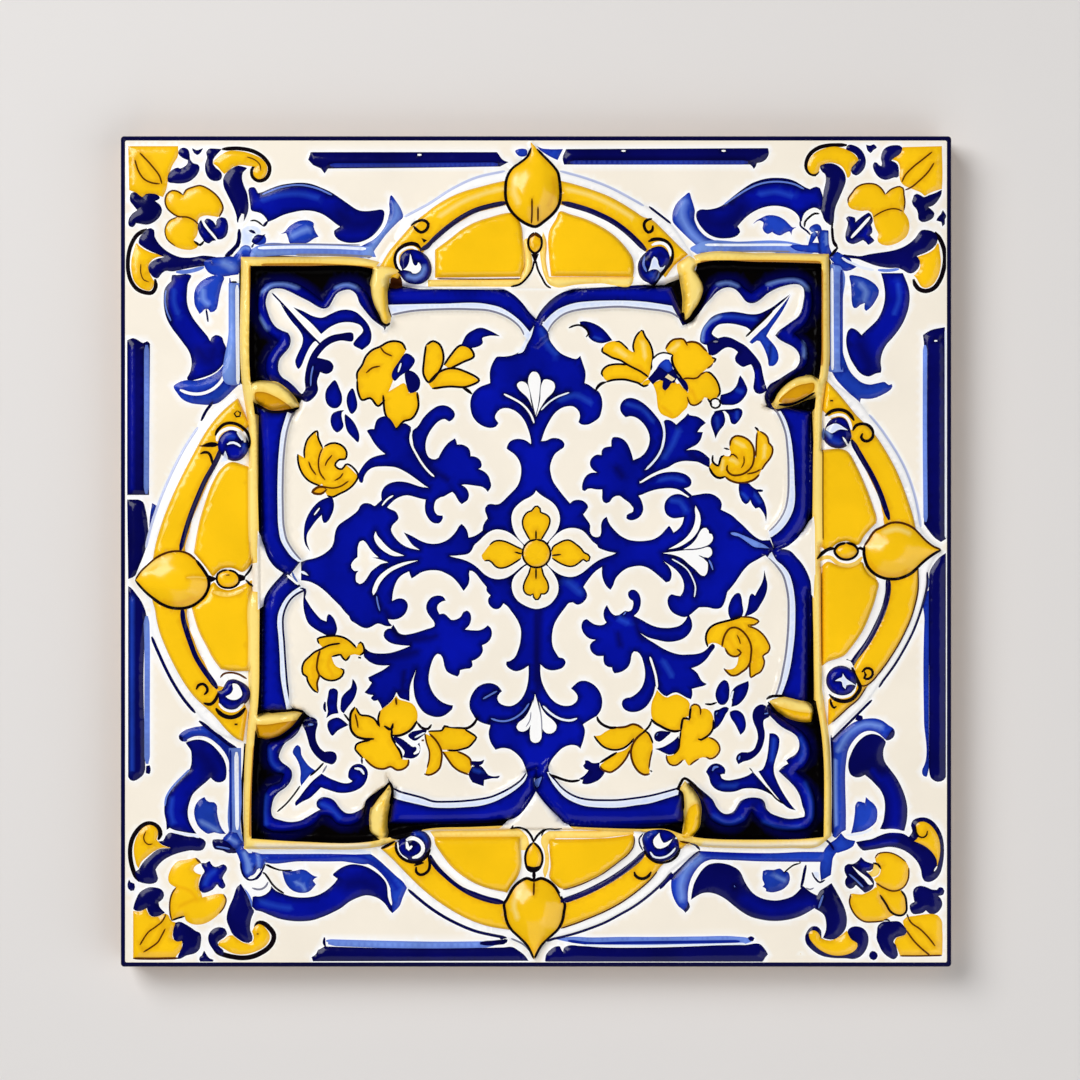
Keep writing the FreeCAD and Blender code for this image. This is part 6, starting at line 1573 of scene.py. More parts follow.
ink w2.3 228.3,570 235,572 239.3,577 239.3,582 234,587 228,588 220.7,586 217,580 218,574.2 223,570.7
  228,570
brown w2.5 226.5,575 230,575
yellow @2.6/4.2 135.4,580.2! 140,573 148,565 158,557 170,552 182,551.5 190,554.5 196.4,560 204,570
  208.7,578.5 209.3,586 206.5,593.6 199.7,601.4 190.8,606.5 180.7,608.4 171.8,607.6 162.8,604.2 155,599.2
  147,593 140.4,586.3
ink w3 196.4,560 204,570 208.7,578.5 209.3,586 206.5,593.6 199.7,601.4 190.8,606.5 180.7,608.4 171.8,607.6
  162.8,604.2 155,599.2 147,593 140.4,586.3 135.4,580.2
brown w2.1 135.4,580.2 140,573 148,565 158,557 170,552 182,551.5 190,554.5 196.4,560
gold~straw w9 144,572 156,563 170,558
gold~honey w8 165,601 180,603 195,598
straw w1.8 188,577.5 198,577 207,578
ink w3.2 216,436 217.5,431.8 221,427.4 225,424.4 230.6,423.2 236.2,424 241,426.2 245,429.5 248,433.5
  249.6,438 250.2,443.5 249.6,448
ink 203,445.5! 208,443 213,442.2 218,443.5 219.5,445! 216,447 210,447.3 205,446.5
navy w4.4 223.5,446 220.5,452 217.5,459 213,466
cobalt @1.7/0.9 233,430 241,432 247,438.5 249,446 246.5,454 240.5,460 232.5,461 225,457.5 219.5,451
  218.5,443 222,435.5 227,431.5
white w3.2 217.5,441.5 218.3,436.5 220.8,433 224.5,430.3 228,428.8 232,428.5 236,429.2 240,431.3
  243.2,434.8 245,438.5 245.6,442.5
pale w3.4 238,432.5 241,436 243.5,440.5
pale w2.4 228,444.8 231,443.2 234.5,442.9 238,444.2 241.5,447
pale 226.2,451! 228.2,459 227.5,461! 221,462! 223,457.4 225,453.4
blue~blue w8 245,446 246,452
blue~blue w8 228,436 234,437
ink w1.8 238,411 241,413 240.5,416.5 237,417 235,414 237.5,411.2
ink w2.9 201,454 205,452.5 209,453 212,458 213,464
brown w2.1 220.5,677.6 223.3,674.2 231,672.5 239,674.2 246.8,678.7
cobalt @1.7/0.9 225,684.3 227.7,680.4 233.3,679 240,681 246.8,685.4 250.7,692 249,699 243.4,705.6
  234.5,709.5 225.5,708.4 220,704.5 219.3,697.7 218.2,691 222,690
white 233.3,683.2 237.8,683.7 241.7,688.8 243,694.4 237.8,699 231,699 226.6,696 231,693.8 234,688.8
white w2.6 219.5,703 224.4,708.4 230,710.6 236.7,710 244.5,703.3
ink w4.4 216.5,707.8 220,712.3 226.6,716.2 233.3,716.8 240,714 245.7,707.8
ink w4 235.2,724 238.2,724
ink w3 197,689.3 199.2,685 203.7,683.7 207.6,687 208,691 204.8,694.4
ink w3.4 218.8,692.7 216.5,699 211,704 204.2,702.8
# tabs over the left of the frame
straw @1.8/0.8 252,382 268,380.5 277,382 285,387 292,394 297,401 299,407 291,408 283,409 270,410 262,406
  254,402
amber 256,393 264,392.5 274,396 283,401 291,408 280,410.5 270,410 262,406 257,402
ink w2.5 254,404 262,408 270,411.5 280,412 291,409.5 299,407.5
straw @1.8/0.8 256.3,715.6 268,713 284,712 295.7,711.3 303,713.5 300,717.7! 293.6,726.3 287.2,731.6
  278.7,737 268,740 257.3,738!
amber 256.8,724! 268,724 280.8,722 295.7,720! 298,720.4 293.6,726.3 287.2,731.6 278.7,737 268,740
  257.3,738!
ink w2.7 268,712.5 284,711 295.7,710.5 303,713 300,718 293.6,726.5 287.2,732 278.7,737.5 268,740.5
# right lunette
white @0.5/0.8 828,376! 836,384 850,394 864,407 869,414.5! 878,425 888,439 897,453 905,468 911,483
  915.5,498 918.5,512 921,527 941,549! 929,572 927.5,582 926,592 923.5,602 920.5,612 917,622 913,632
  908,642 902,653 896,663 889,673 883,681 876,690 866,704 850,719 832,738! 822,690! 821.5,640! 821,551!
  821.5,460! 822,410!
haze w2.8 869,414.5 878,425 888,439 897,453 905,468 911,483 915.5,498 918.5,512 921,527
yellow @1.3/0.6 826,380! 838,393 848,405 856,415 864,423 873,432.5 880,442 888,455 896,470 902,484 907,498
  911,510 914.5,523 917.5,551 917.5,590 915,603 912,616 907,628 902,638 897,647 891,656 885,665 878,674
  872,681 866,688 857,700 848,707 840,715 828,726! 828,700! 852,668! 866,644! 877,624! 884,604! 887,577!
  888,551! 880,500! 851,440! 822,410!
navy w5 851,440 856,449 863,461 870,473 876,485 881,497 885,509 888.5,520
white w4.4 846,443 851,452 858,464 865,477 871,489 876,501 880,513 882,522
yellow @1.5/0.7 816,450! 848,452 856,465 863,480 869,495 873.5,508 876.5,520 876,523! 871,528 864,536
  858,545 846,541 836,544 828,551 816,540!
straw @1.6/1.2 812.5,412! 813,460 812.5,505 814,525 816,543! 822,548! 821.7,500 821.7,450 822.5,405!
  818,400!
brown w1.2 822.3,450 822.2,500 822.4,540
straw @1.6/1.2 814,575! 813,600 813,650 814,700! 821.7,705! 822,660 821.6,600 821.6,566!
brown w1.2 822.2,572 822,610 822.3,660
ink w3.6 825,416 831,411.5 839,410 846,412 851,417 853.5,421
cobalt @1.7/0.9 824,434 825.5,427 828.5,421.5 833,418.3 839,417.2 844.5,419 848,424 850,431 851,437
  849,443 846.4,446.2 842.7,448 838,448.5 832.4,447.6 828.7,445.7 826,443.4 823.8,439.7
white w2.8 824.3,428 824.8,422.5 828,418.5 833,416 838.5,415 843.5,416 847.3,419.5 849.6,424.5 850.8,430
sky w2 823.3,440 823,434 824,428
pale 826.3,427.5! 830,425.2 835.2,423.8 839,425.2 842.7,427.5 847.3,430.6! 843.6,430 840,429.6 836,430.8
  831,433.6 828.5,432.5 825.4,430!
blue~sky w6 826,432 829,436
blue~blue w10 831,440 838,443
blue~navy w9 843,434 847,439
white w1.8 842,437.5 845,442 848,446 852,451 856,455.5
ink w3.2 852,431 855,426 862,424 869,426 872.5,431 872,437 868,441 863.5,441 860.5,437.5 862,433.5
ink w3.6 829.5,401 832.5,401
yellow +0.4/0.6 846,543 854,545.5 857.5,551 854,557 846,559.5 838,557 834.5,551 838,545.5
ink w2.5 846,542.5 854,545 857.8,551 854,557.2 846,559.8 838,557.2 834.2,551 838,545 845.5,542.6
navy w5 785,379 774,385 768.5,391 767.5,399 771,405 777,408
straw @1.8/0.8 772,403 776,394 782,386.5 790,380 798,376 806,374.5 814,375.5 820,383 818,396 806,400
  797,404 786,407 775,408
amber 778,402 786,393 796,386.5 806,384 813,383.5 813,391 806,396 797,400.5 786,404
ink w2.5 772,403 776,394 782,386.5 790,380 798,376 806,374.5
ink w2.5 778,405 790,404.5 802,400 814,393
# bottom lunette
white @0.5/0.8 376,848! 394,862 407,888! 417,898.5 428,907.5 441.6,917 458.4,926 475.2,932.5 492,936.5
  507,939.5 523,946 534,960! 547,941.5 560,937.5 575,933.5 590,928.5 605,922.5 620,914.5 634,906.5 647,897
  658,887.5 666,879 671,872! 684,862 699,850! 660,832! 536,829! 420,830!
navy w3.4 408,889.5 417,897.3 428.2,906.3 441.6,915.3 458.4,924.2 475.2,931 492,935 506.6,937.7
grey w2 511,938.2 523.4,944.4 533.4,954.5
yellow @1.3/0.6 381,848.6! 393.4,860.4 405.8,872.7 419.2,886 432.6,897.3 447.2,907.4 460.6,915.3 475.2,922
  489.8,926.5 503.2,928.7 536,931 561,928 570,925 582,920.5 594,916 606,910.5 618,904 630,896.5 641,888
  650,880 656,873 661,866 668,860 676,853 684,846.5 690,842! 677,841! 643,853! 622,871! 600,885! 580,894!
  565,899! 507,904! 471,893! 430,856! 395,841!
navy w5.4 429.3,854.8 436,865 447.2,876 458.4,885 471.8,893 486.4,898.5 504.3,902.4
white w4.6 431,850.3 439.4,862.6 451.7,875 465,885 480.8,891 504.3,896.4
straw 430,831! 505,830! 520,828 527,836 530,850! 521,850! 520,837! 434,837!
tan w1.8 432,829.8 470,829.6 508,829
yellow @1.5/0.7 434,837! 520,836.5! 521,850 521,868 517,878 511,886 507,892.5! 503,891.5 495,890 480,885.5
  465,877.5 451,866 441,853 435,843
gold~straw w8 522,842 521,858 522,872
ink w2.7 381,848.5 388,845 395,841
pit 388,834! 393,826 410,826 424,828! 415,836 400,839.5 392,838!
cobalt @1.7/0.9 413.6,830.2 419.2,829.6 426,832.4 430.4,838 431,847 427,853.7 422.6,858.2 414.7,860.4
  405.8,859.3 399,854.8 395.7,848 396.8,842.5 400.2,839 409,835.8
white w2.4 398,842 398,848 401.5,854.5 408,858.5
white w3.8 406.3,839.7 411.4,837.4 418,839 423,844.7 423,850.3 419.2,854.8 412.5,857
white w3.6 407,841 409,848 412.5,845
blue~blue w6 416,833 423,834 427,840
ink w3.2 396,842 397,850 402,857 410,861 419,861 426,856.5 430.5,849
ink w3 414.5,865 419,863 424,862
ink w3 428.5,856 430,862 428.5,870 424,873.5 420,874 416.5,871 416.5,866
yellow @2.6/4.2 534,958.9! 526.7,944.4 518.9,936.5 511,928.7 506.5,919.7 505,910.8 504.3,903 506.5,899.6
  510,893 514.4,886 521,880.5 526.7,878 534,880 541,878 548,880.5 554.6,886 559,893 562.5,899.6 564.7,903
  564,910.8 562.5,919.7 558,928.7 550,936.5 542,944.4
ink w2.9 534,958.9 526.7,944.4 518.9,936.5 511,928.7 506.5,919.7 505,910.8 504.3,903 506.5,899.6 510,893
  514.4,886 521,880.5 526.7,878 534,880 541,878 548,880.5 554.6,886 559,893 562.5,899.6 564.7,903
  564,910.8 562.5,919.7 558,928.7 550,936.5 542,944.4 534,958.9
gold~straw w8 519,892 514,904 517,916
gold~honey w7 524,938 534,950 544,938
ink w4 534,870 534,880
brown w2.1 534,881 533.7,894
cream 510,828! 562,828! 549,830.5 541,836 534,843! 527,836 520,829.5
yellow +0.4/0.6 533.4,842.5 538.5,847 542,855 541.5,863 538,869 533.5,871 528.5,869 525.8,862 526,853.5
  529,846.5
ink 527,865! 533.5,866.5 541,865! 539.5,869 534,872 528.5,869.5
ink w2.5 533.4,842 538.7,847 542.3,855 541.8,863 538,869.5 533.5,871.5 528.3,869.5 525.5,862 525.7,853.5
  528.8,846.5 533.2,842.2
ink w2.5 533.4,842 531.2,836 524.5,829 520,827.4 510,828.5
ink w2.5 533.4,842 537,836 541,832 546,829
ink w2.5 511,829 513.3,825
# tabs over the bottom of the frame
navy 364,812! 367,803 378,791 389,784! 391,792! 380,808 371,826! 366,826!
straw @1.8/0.8 389.6,784.4 391.7,789.2 391.2,796.7 389.6,805 387.5,816 387,827.6 388,836 382,839.3
  374.7,836.7 370.4,833 368.8,824.4 368.8,816 370.4,808.4 376.8,798.8 383.2,791.3
gold~yellow w9 384,800 385,818 382,834
ink w2.7 370.4,808 376.8,798.3 383.2,790.8 389.6,784 392,789 391.5,797 389.8,805
# right lunette, lower half
yellow @1.5/0.7 822,566! 826,562 840,566 850,566 858,562 862,562 865,569 870,575 877,580! 878.5,584
  877,592 874,603 870,614 865,626 858,638 851,647.5 844,655.5 836,659 828,661.5 822,666!
straw w4 817,562 824,557.5 830,557.5 838,563.5 848,565.5 857,562.5 862,557
straw w3 865,566 869,573 876,578.5
white w5.4 882.5,579 882.5,592 880,603 876,614 871,625 866,634.5 860,643.5 854,651.5 847,659
navy w5 887.5,577 887.5,592 885.5,602 882,613 877,624 872,634 866,644 860,652 855,658.5 852,664 851.5,669
ink w2.5 846.5,659 848,660.8 851,661
brown w1.8 917.5,568 917.5,592 915,604 911,617 906,629 900,641 893,653 885,665 878,674 872,681 866,685
  860,685.5 855,682
navy w2.6 927,572 927.5,582 926,592 923.5,602 920.5,612 917,622 913,632 908,642 902,653 896,663 889,673
  883,681 879,687.5
white 822.5,668! 830,662.5 840,660.5 850,661 854,668! 856,686 850,695 842,698 832,696 825,690
ink w4 829,694 835,699 842,701 850,699.5 856,694 859.5,687 857,681 853.5,674 852,667
cobalt @1.7/0.9 841,665.5 848,667.5 853,672 855.5,678.5 855,686 851,692 844.5,695 837,694.5 830.5,691
  826.5,685 826,678 829,671 834.5,667
white w2.4 824.5,686 827.5,690.5 834,695.3 842,697 850,694.5 855,688.5
pale 842,673! 845,678 850,681.5 856,685.5! 849,684 845.5,685 844.5,688.5! 842,686 841,681.5 834,680.5!
  838,678 841,677
ink w2.7 861,672 866,667.8 871,669.5 872,674 868,678.5 863.5,678 865,674.5 863.5,671
ink w2.5 830,699 831,704.5 833.5,707.5 836,706
brown w1.7 866,687 857,700 848,707.5 840,715 832,722
yellow +0.4/0.6 846,543.5 854,546 857.5,551 854,556.5 846,559 838,556.5 834.5,551 838,546
ink w2.5 846,543 854,545.5 857.8,551 854,557 846,559.6 838,557 834.2,551 838,545.5 845.5,543.2
ink w3.6 816.5,559 819,556.5 825,551 830,548.5 835,549
ink w4 857,549 860,548 864,550.5
yellow @2.6/4.2 864,546 868,540 875,530.5 882,527 890,523 898,522.5 906,524.5 914,529 920,535 927,542
  934,547 941,549.5! 935,553 929,557 922,562.5 916,568 910,573 903,576.5 895,578.5 887,578 879,576 872,572
  867,566 864.5,559 863.5,552
gold~honey w7 870,563 877,571 888,575 899,574 908,569
gold~straw w6 868,547 880,547
gold~straw w8 884,532 896,529 908,533
ink w3 864,546 863.5,552 864.5,559 867,566 872,572 879,576.5 887,578.8 895,579 903,577 910,573.5 916,568.5
  922,562.8 929,557 935,553 941,550
brown w2.3 864,546 868,540 875,530.5 882,527 890,523 898,522.5 906,524.5 914,529 920,535 927,542 934,547
  941,549.5
straw @1.8/0.8 769,701! 774,699 782,696.5 790,698 800,700.5 808,702 812,705 814,709 813.5,716 812,722.5!
  802,722.5 795,721 788,718.5 781,714 775,708.5
yellow 772,703.5! 785,708 800,711.5 813.5,712.5! 813.5,716 812,722.5! 802,722.5 795,721 788,718.5 781,714
  775,708.5
gold~honey w6 790,714 800,718 811,718
ink w2.9 766.5,699.5 770,697 778,695.8 784,696
ink w2.5 768,702 774,709.5 781,715.5 788,720 796,722.8
# bottom lunette, right half
straw 549,831! 600,830.5 633,829! 634,834! 600,838! 556,838! 548,845 549,856 548,870 545,878! 543,872
  545,862 544,850 541,843 542,836
yellow @1.5/0.7 549,839! 560,839 590,838.5 615,837 633,834! 634.5,840 633.5,846 629,853 620,861 610,868.5
  600,875 588,881 575,886 563,889 560,888 555,884 549.5,878 550.5,866 549.5,852
brown w1.4 634,836 634.3,841 633,847 628,854 618,862 609,869 598,876.5 585,882.5 573,887 563,889.5
ink w1.8 541.5,836 543,832 547,829 550,828.7 555,829.3 559,828.8 562,828.2
white w6.4 639.5,847 634,854.5 626,862 616,869.5 606,876 594,882.5 582,888 570,892 560,894.5
navy w5.4 645,851 637,860 629,866.5 620,873 610,879.5 600,885 588,891 576,896 566,899.5 560.5,901
brown w1.7 561,928 575,923.5 590,917.5 605,911 620,903 633,894 643,886 651,878.5 657,871
navy w2.8 547,941.5 553,939 560,937.5 575,933.5 590,928.5 605,922.5 620,914.5 634,906.5 647,897 658,887.5
  666,879.5 671,873
brown w2.3 680,841 685,842 690,842.5
navy w2.4 690,843 696,845.5 700,850
cobalt @1.7/0.9 643,835 648,830.5 655,829 664,829 672,832 677,838 679,846 677,853 671,858.5 662,861
  654,859.5 648,856 644,850 642,843
white 659,832! 656,835 653,839 653.5,844 657,847.5 663,847 668,844 671,840 672,838! 667,841 663,842
  661,839 659.5,835
pale w2 650,851 653,855.5 659,857 666,855.5 672,851 675,847
white w3 640.8,838 641,843 643,846.5
blue~blue w7 645,838 649,833 655,831
ink w2.7 644,851 649,857 655,861 663,862.3 671,860.3 677,855 680,847
navy w1.6 643,833.5 639,839 640,845 643,850.5
pale w3 675,837 676.5,838
ink w3.2 634,871 635,874.5 639,877.5 644,877.8 648.5,875 651,871
straw @1.8/0.8 685,781! 690,786 696,793 700,800 702,808 701.5,818 700,828 696,834 690,837 684,838.5
  681.5,836 683,830 684,818 683.5,808 683,800 682,793 680,790
yellow 690,806 697,803 701,810 700.5,818 699,828 695,834 689,836.5 684,837.5 682,836 684,830 685.5,818
ink w3 677,790 680,784.5 684.5,778.5 690,781.5 697,788 703,797
ink w2.5 678,789 681.5,792.5 682.8,800 683.4,810
"""


def linear(rgb):
    """A 0 to 255 sRGB colour as linear light."""
    value = np.asarray(rgb, float) / 255.0
    return np.where(value <= 0.04045, value / 12.92, ((value + 0.055) / 1.055) ** 2.4)


def smooth_run(points, closed=False):
    """A smooth line through the points, sampled about every OUTLINE_STEP."""
    if len(points) < 2:
        return points
    if closed:
        before = np.roll(points, 1, axis=0)
        after = np.roll(points, -1, axis=0)
    else:
        before = np.vstack([2 * points[0] - points[1], points[:-1]])
        after = np.vstack([points[1:], 2 * points[-1] - points[-2]])
    length_in = np.linalg.norm(points - before, axis=1)[:, None]
    length_out = np.linalg.norm(after - points, axis=1)[:, None]
    slope_in = (points - before) / length_in
    slope_out = (after - points) / length_out
    tangent = (slope_in * length_out + slope_out * length_in) / (length_in + length_out)
    runs = []
    count = len(points) if closed else len(points) - 1
    for i in range(count):
        j = (i + 1) % len(points)
        chord = length_out[i, 0]
        steps = max(1, round(chord / OUTLINE_STEP))
        t = (np.arange(steps) / steps)[:, None]
        runs.append(
            (2 * t**3 - 3 * t**2 + 1) * points[i]
            + (t**3 - 2 * t**2 + t) * chord * tangent[i]
            + (3 * t**2 - 2 * t**3) * points[j]
            + (t**3 - t**2) * chord * tangent[j]
        )
    if not closed:
        runs.append(points[-1:])
    return np.vstack(runs)


def closed_outline(points, corners):
    """The closed outline of a shape, sharp at its marked corners and smooth elsewhere."""
    marks = [i for i, corner in enumerate(corners) if corner]
    if not marks:
        return smooth_run(points, closed=True)
    runs = []
    for mark, following in zip(marks, marks[1:] + [marks[0] + len(points)]):
        picked = [i % len(points) for i in range(mark, following + 1)]
        runs.append(smooth_run(points[picked])[:-1])
    return np.vstack(runs)


def leftward(heading):
    """Unit vectors that point to the left of each heading."""
    unit = heading / np.maximum(np.linalg.norm(heading, axis=1), TINY)[:, None]
    return np.column_stack([-unit[:, 1], unit[:, 0]])


def ribbon(line, width):
    """The outline of a brush stroke along a line, thinner at both ends."""
    travel = np.concatenate([[0], np.cumsum(np.linalg.norm(np.diff(line, axis=0), axis=1))])
    to_end = np.minimum(travel, travel[-1] - travel)
    fullness = np.minimum(1, to_end / (STROKE_TAPER * width))
    half = 0.5 * width * (STROKE_TIP + (1 - STROKE_TIP) * fullness)
    offset = leftward(np.gradient(line, axis=0)) * half[:, None]
    return np.vstack([line + offset, (line - offset)[::-1]])


def drawing_rows(text):
    """The drawing's rows without comments, each as its words, with their continued lines joined on."""
    rows = []
    for line in text.strip().splitlines():
        if line.startswith(" "):
            rows[-1] += line.split()
        else:
            rows.append(line.split())
    return [words for words in rows if words and words[0] != "#"]


def read_drawing(text):
    """The brush shapes of a drawing, in order, as dicts; see the top of this file for the notation."""
    shapes = []
    for words in drawing_rows(text):
        shape = {"soft": None, "width": None, "to": None, "by": None, "edge": None}
        shape["glaze"] = words[0]
        if "~" in words[0]:
            shape["soft"], shape["glaze"] = words[0].split("~")
        points = []
        corners = []
        for word in words[1:]:
            if word[0] == "w":
                shape["width"] = float(word[1:]) * PIXEL
            elif word[0] in "@+":
                amount, edge = word[1:].split("/")
                shape["to" if word[0] == "@" else "by"] = float(amount)
                shape["edge"] = float(edge)
            else:
                x, y = word.rstrip("!").split(",")
                corners.append(word.endswith("!"))
                points.append(((float(x) - MIDDLE_X) * PIXEL, (MIDDLE_Y - float(y)) * PIXEL))
        points = np.array(points)
        if shape["soft"]:
            shape["line"] = smooth_run(points)
        elif shape["width"]:
            shape["outline"] = ribbon(smooth_run(points), shape["width"])
        else:
            shape["outline"] = closed_outline(points, corners)
        shapes.append(shape)
    return shapes


def in_blocks(points, work, block=12000):
    """work(points) done in blocks, to keep its tables small."""
    parts = [work(points[i : i + block]) for i in range(0, len(points), block)]
    return np.concatenate(parts) if parts else np.zeros(0)


def inside(points, outline):
    """Which points lie inside an outline."""
    ax, ay = outline.T
    bx, by = np.roll(outline, -1, axis=0).T
    rise = np.where(by == ay, TINY, by - ay)

    def crossings(block):
        x = block[:, :1]
        y = block[:, 1:]
        spans = (ay > y) != (by > y)
        return (spans & (x < ax + (y - ay) * (bx - ax) / rise)).sum(axis=1) % 2 == 1

    return in_blocks(points, crossings).astype(bool)


def gap(points, line, closed=True):
    """Each point's distance from a line."""
    start = line
    end = np.roll(line, -1, axis=0)
    if not closed:
        start = line[:-1]
        end = line[1:]
    along = end - start
    square = np.maximum((along**2).sum(axis=1), TINY_SQUARE)

    def nearest(block):
        off_x = block[:, :1] - start[:, 0]
        off_y = block[:, 1:] - start[:, 1]
        t = np.clip((off_x * along[:, 0] + off_y * along[:, 1]) / square, 0, 1)
        return np.sqrt(((off_x - t * along[:, 0]) ** 2 + (off_y - t * along[:, 1]) ** 2).min(axis=1))

    return in_blocks(points, nearest)


def nearest_gap(points, marks):
    """Each point's distance from the nearest of the marks."""
    tree = kdtree.KDTree(len(marks))
    for x, y in marks.tolist():
        tree.insert((x, y, 0), 0)
    tree.balance()
    return np.array([tree.find((x, y, 0))[2] for x, y in points.tolist()])


def within_box(points, outline, margin=0.0):
    """Indices of the points in an outline's box, widened by a margin."""
    low = outline.min(axis=0) - margin
    high = outline.max(axis=0) + margin
    return np.flatnonzero(((points >= low) & (points <= high)).all(axis=1))


def rounded_square(inset, extra_x):
    """The tile's outline, inset, with points at the extra x places on its front and back edges."""
    half = TILE / 2 - inset
    radius = max(CORNER_ROUND - inset, LEAST_ROUND)
    middle = half - radius
    full_middle = TILE / 2 - CORNER_ROUND
    scale = middle / full_middle
    straight = np.linspace(-full_middle, full_middle, SIDE_POINTS)
    along_x = np.unique(np.concatenate([straight, extra_x]))
    runs = [along_x, straight, -along_x[::-1], straight]
    loop = []
    for quarter, run in enumerate(runs):
        turn = quarter * math.pi / 2
        side = [(u * scale, -half) for u in run]
        for k in range(1, CORNER_STEPS):
            angle = -math.pi / 2 + k * math.pi / (2 * CORNER_STEPS)
            side.append((middle + radius * math.cos(angle), -middle + radius * math.sin(angle)))
        for x, y in side:
            loop.append((x * math.cos(turn) - y * math.sin(turn), x * math.sin(turn) + y * math.cos(turn)))
    return np.array(loop)


def triangulate(points, edges):
    """Triangles that keep the edges: their points, the triangles, and each old point's new index."""
    vectors = [Vector(p) for p in points.tolist()]
    found = delaunay_2d_cdt(vectors, edges, [], ALL_TRIANGLES, MERGE_GAP)
    new_points, _, triangles, old_points, _, _ = found
    new_index = {}
    for index, olds in enumerate(old_points):
        for old in olds:
            new_index[old] = index
    return np.array([tuple(p) for p in new_points]), np.array(triangles), new_index


def loop_edges(first, count):
    """Edges round a closed loop of consecutive points."""
    return [(first + i, first + (i + 1) % count) for i in range(count)]


def key_height(x):
    """How high the back stands off its own plane at x: the depth of a keying groove there, else 0."""
    middle = (np.round(x / KEY_PITCH - 0.5) + 0.5) * KEY_PITCH
    in_key = (np.abs(x - middle) < KEY_WIDTH / 2) & (np.abs(middle) < KEY_COUNT * KEY_PITCH / 2)
    return np.where(in_key, KEY_DEPTH, 0.0)


def key_lines():
    """x places on both sides of each wall of the keying grooves."""
    middles = (np.arange(KEY_COUNT) - (KEY_COUNT - 1) / 2) * KEY_PITCH
    walls = np.concatenate([middles - KEY_WIDTH / 2, middles + KEY_WIDTH / 2])
    return np.sort(np.concatenate([walls - KEY_WALL, walls + KEY_WALL]))


def shown_points(shape, covers):
    """Which points of an outline show once the shapes over it are painted, or lie next to such a point."""
    outline = shape["outline"]
    hidden = np.zeros(len(outline), bool)
    flat = shape["to"] is None and shape["by"] is None
    low = outline.min(axis=0)
    high = outline.max(axis=0)
    for cover in covers:
        over = cover["outline"]
        if not flat and cover["to"] is None:
            continue
        if (over.max(axis=0) < low).any() or (over.min(axis=0) > high).any():
            continue
        picked = within_box(outline, over)
        picked = picked[inside(outline[picked], over)]
        if not flat and len(picked):
            picked = picked[gap(outline[picked], over) > cover["edge"]]
        hidden[picked] = True
    hidden &= np.roll(hidden, 1) & np.roll(hidden, -1)
    return ~hidden


def tint_points(shape):
    """Points along the middle and both sides of a soft stroke, so that its tint runs smoothly."""
    line = shape["line"]
    side = leftward(np.gradient(line, axis=0)) * shape["width"] / 2
    return [line, (line + side)[::2], (line - side)[::2]]


def ring_points(shape, shown):
    """Points on rings inside the shown part of an outline, so that the mesh follows its edge and relief."""
    outline = shape["outline"]
    across = leftward(np.roll(outline, -1, axis=0) - np.roll(outline, 1, axis=0))
    insets = [RING_INSET]
    if shape["to"] is not None:
        insets += RELIEF_INSETS
        insets += list(np.arange(DOME_INSET, shape["edge"], DOME_INSET_STEP))
    rings = []
    for inset in insets:
        step = 1 if inset < FINE_INSET else 2
        for side in (inset, -inset):
            ring = (outline + across * side)[shown]
            ring = ring[inside(ring, outline)]
            rings.append(ring[gap(ring, outline) > RING_CLEARANCE * inset][::step])
    return rings


def staggered_grid(limit):
    """Points in staggered rows over the face."""
    rows = np.arange(-limit, limit, GRID_STEP * math.sqrt(3) / 2)
    columns = np.arange(-limit, limit, GRID_STEP)
    return np.array([(x + (k % 2) * GRID_STEP / 2, y) for k, y in enumerate(rows) for x in columns])


def one_per_cell(points):
    """The first point in each small square cell."""
    taken = set()
    kept = []
    for x, y in points.tolist():
        cell = (round(x / POINT_CELL), round(y / POINT_CELL))
        if cell not in taken:
            taken.add(cell)
            kept.append((x, y))
    return np.array(kept)


def face_points(shapes, rim):
    """Points and edges for the painted face: its rim, the outlines, rings inside them and a grid."""
    blocks = [rim]
    edges = loop_edges(0, len(rim))
    count = len(rim)
    limit = np.abs(rim).max() - RIM_MARGIN
    covers = [shape for shape in shapes if not shape["soft"]]
    for shape in covers:
        shape["outline"] = np.clip(shape["outline"], -limit, limit)
    free = []
    for shape in shapes:
        if shape["soft"]:
            free += tint_points(shape)
            continue
        covers = covers[1:]
        shown = shown_points(shape, covers)
        place = count + np.cumsum(shown) - 1
        for i, j in loop_edges(0, len(shown)):
            if shown[i] and shown[j]:
                edges.append((int(place[i]), int(place[j])))
        blocks.append(shape["outline"][shown])
        count += int(shown.sum())
        if not shape["width"]:
            free += ring_points(shape, shown)
    drawn = np.vstack(blocks)
    free = np.vstack(free + [staggered_grid(limit)])
    free = free[np.abs(free).max(axis=1) < limit]
    free = free[nearest_gap(free, drawn) > POINT_CLEARANCE]
    return np.vstack([drawn, one_per_cell(free)]), edges


def profile(t):
    """A rise from 0 to 1 that is steep at the foot and rounds off at the top."""
    return np.sin(np.clip(t, 0, 1) * math.pi / 2)


def dome_gap(points, outline):
    """Distance from the outline, averaged round each point, so that a dome has no crease in its middle."""
    reach = np.minimum(gap(points, outline), DOME_BLUR)
    turns = np.arange(DOME_TURNS) * 2 * math.pi / DOME_TURNS
    headings = [np.array([math.cos(turn), math.sin(turn)]) for turn in turns]
    return sum(gap(points + reach[:, None] * heading, outline) for heading in headings) / DOME_TURNS


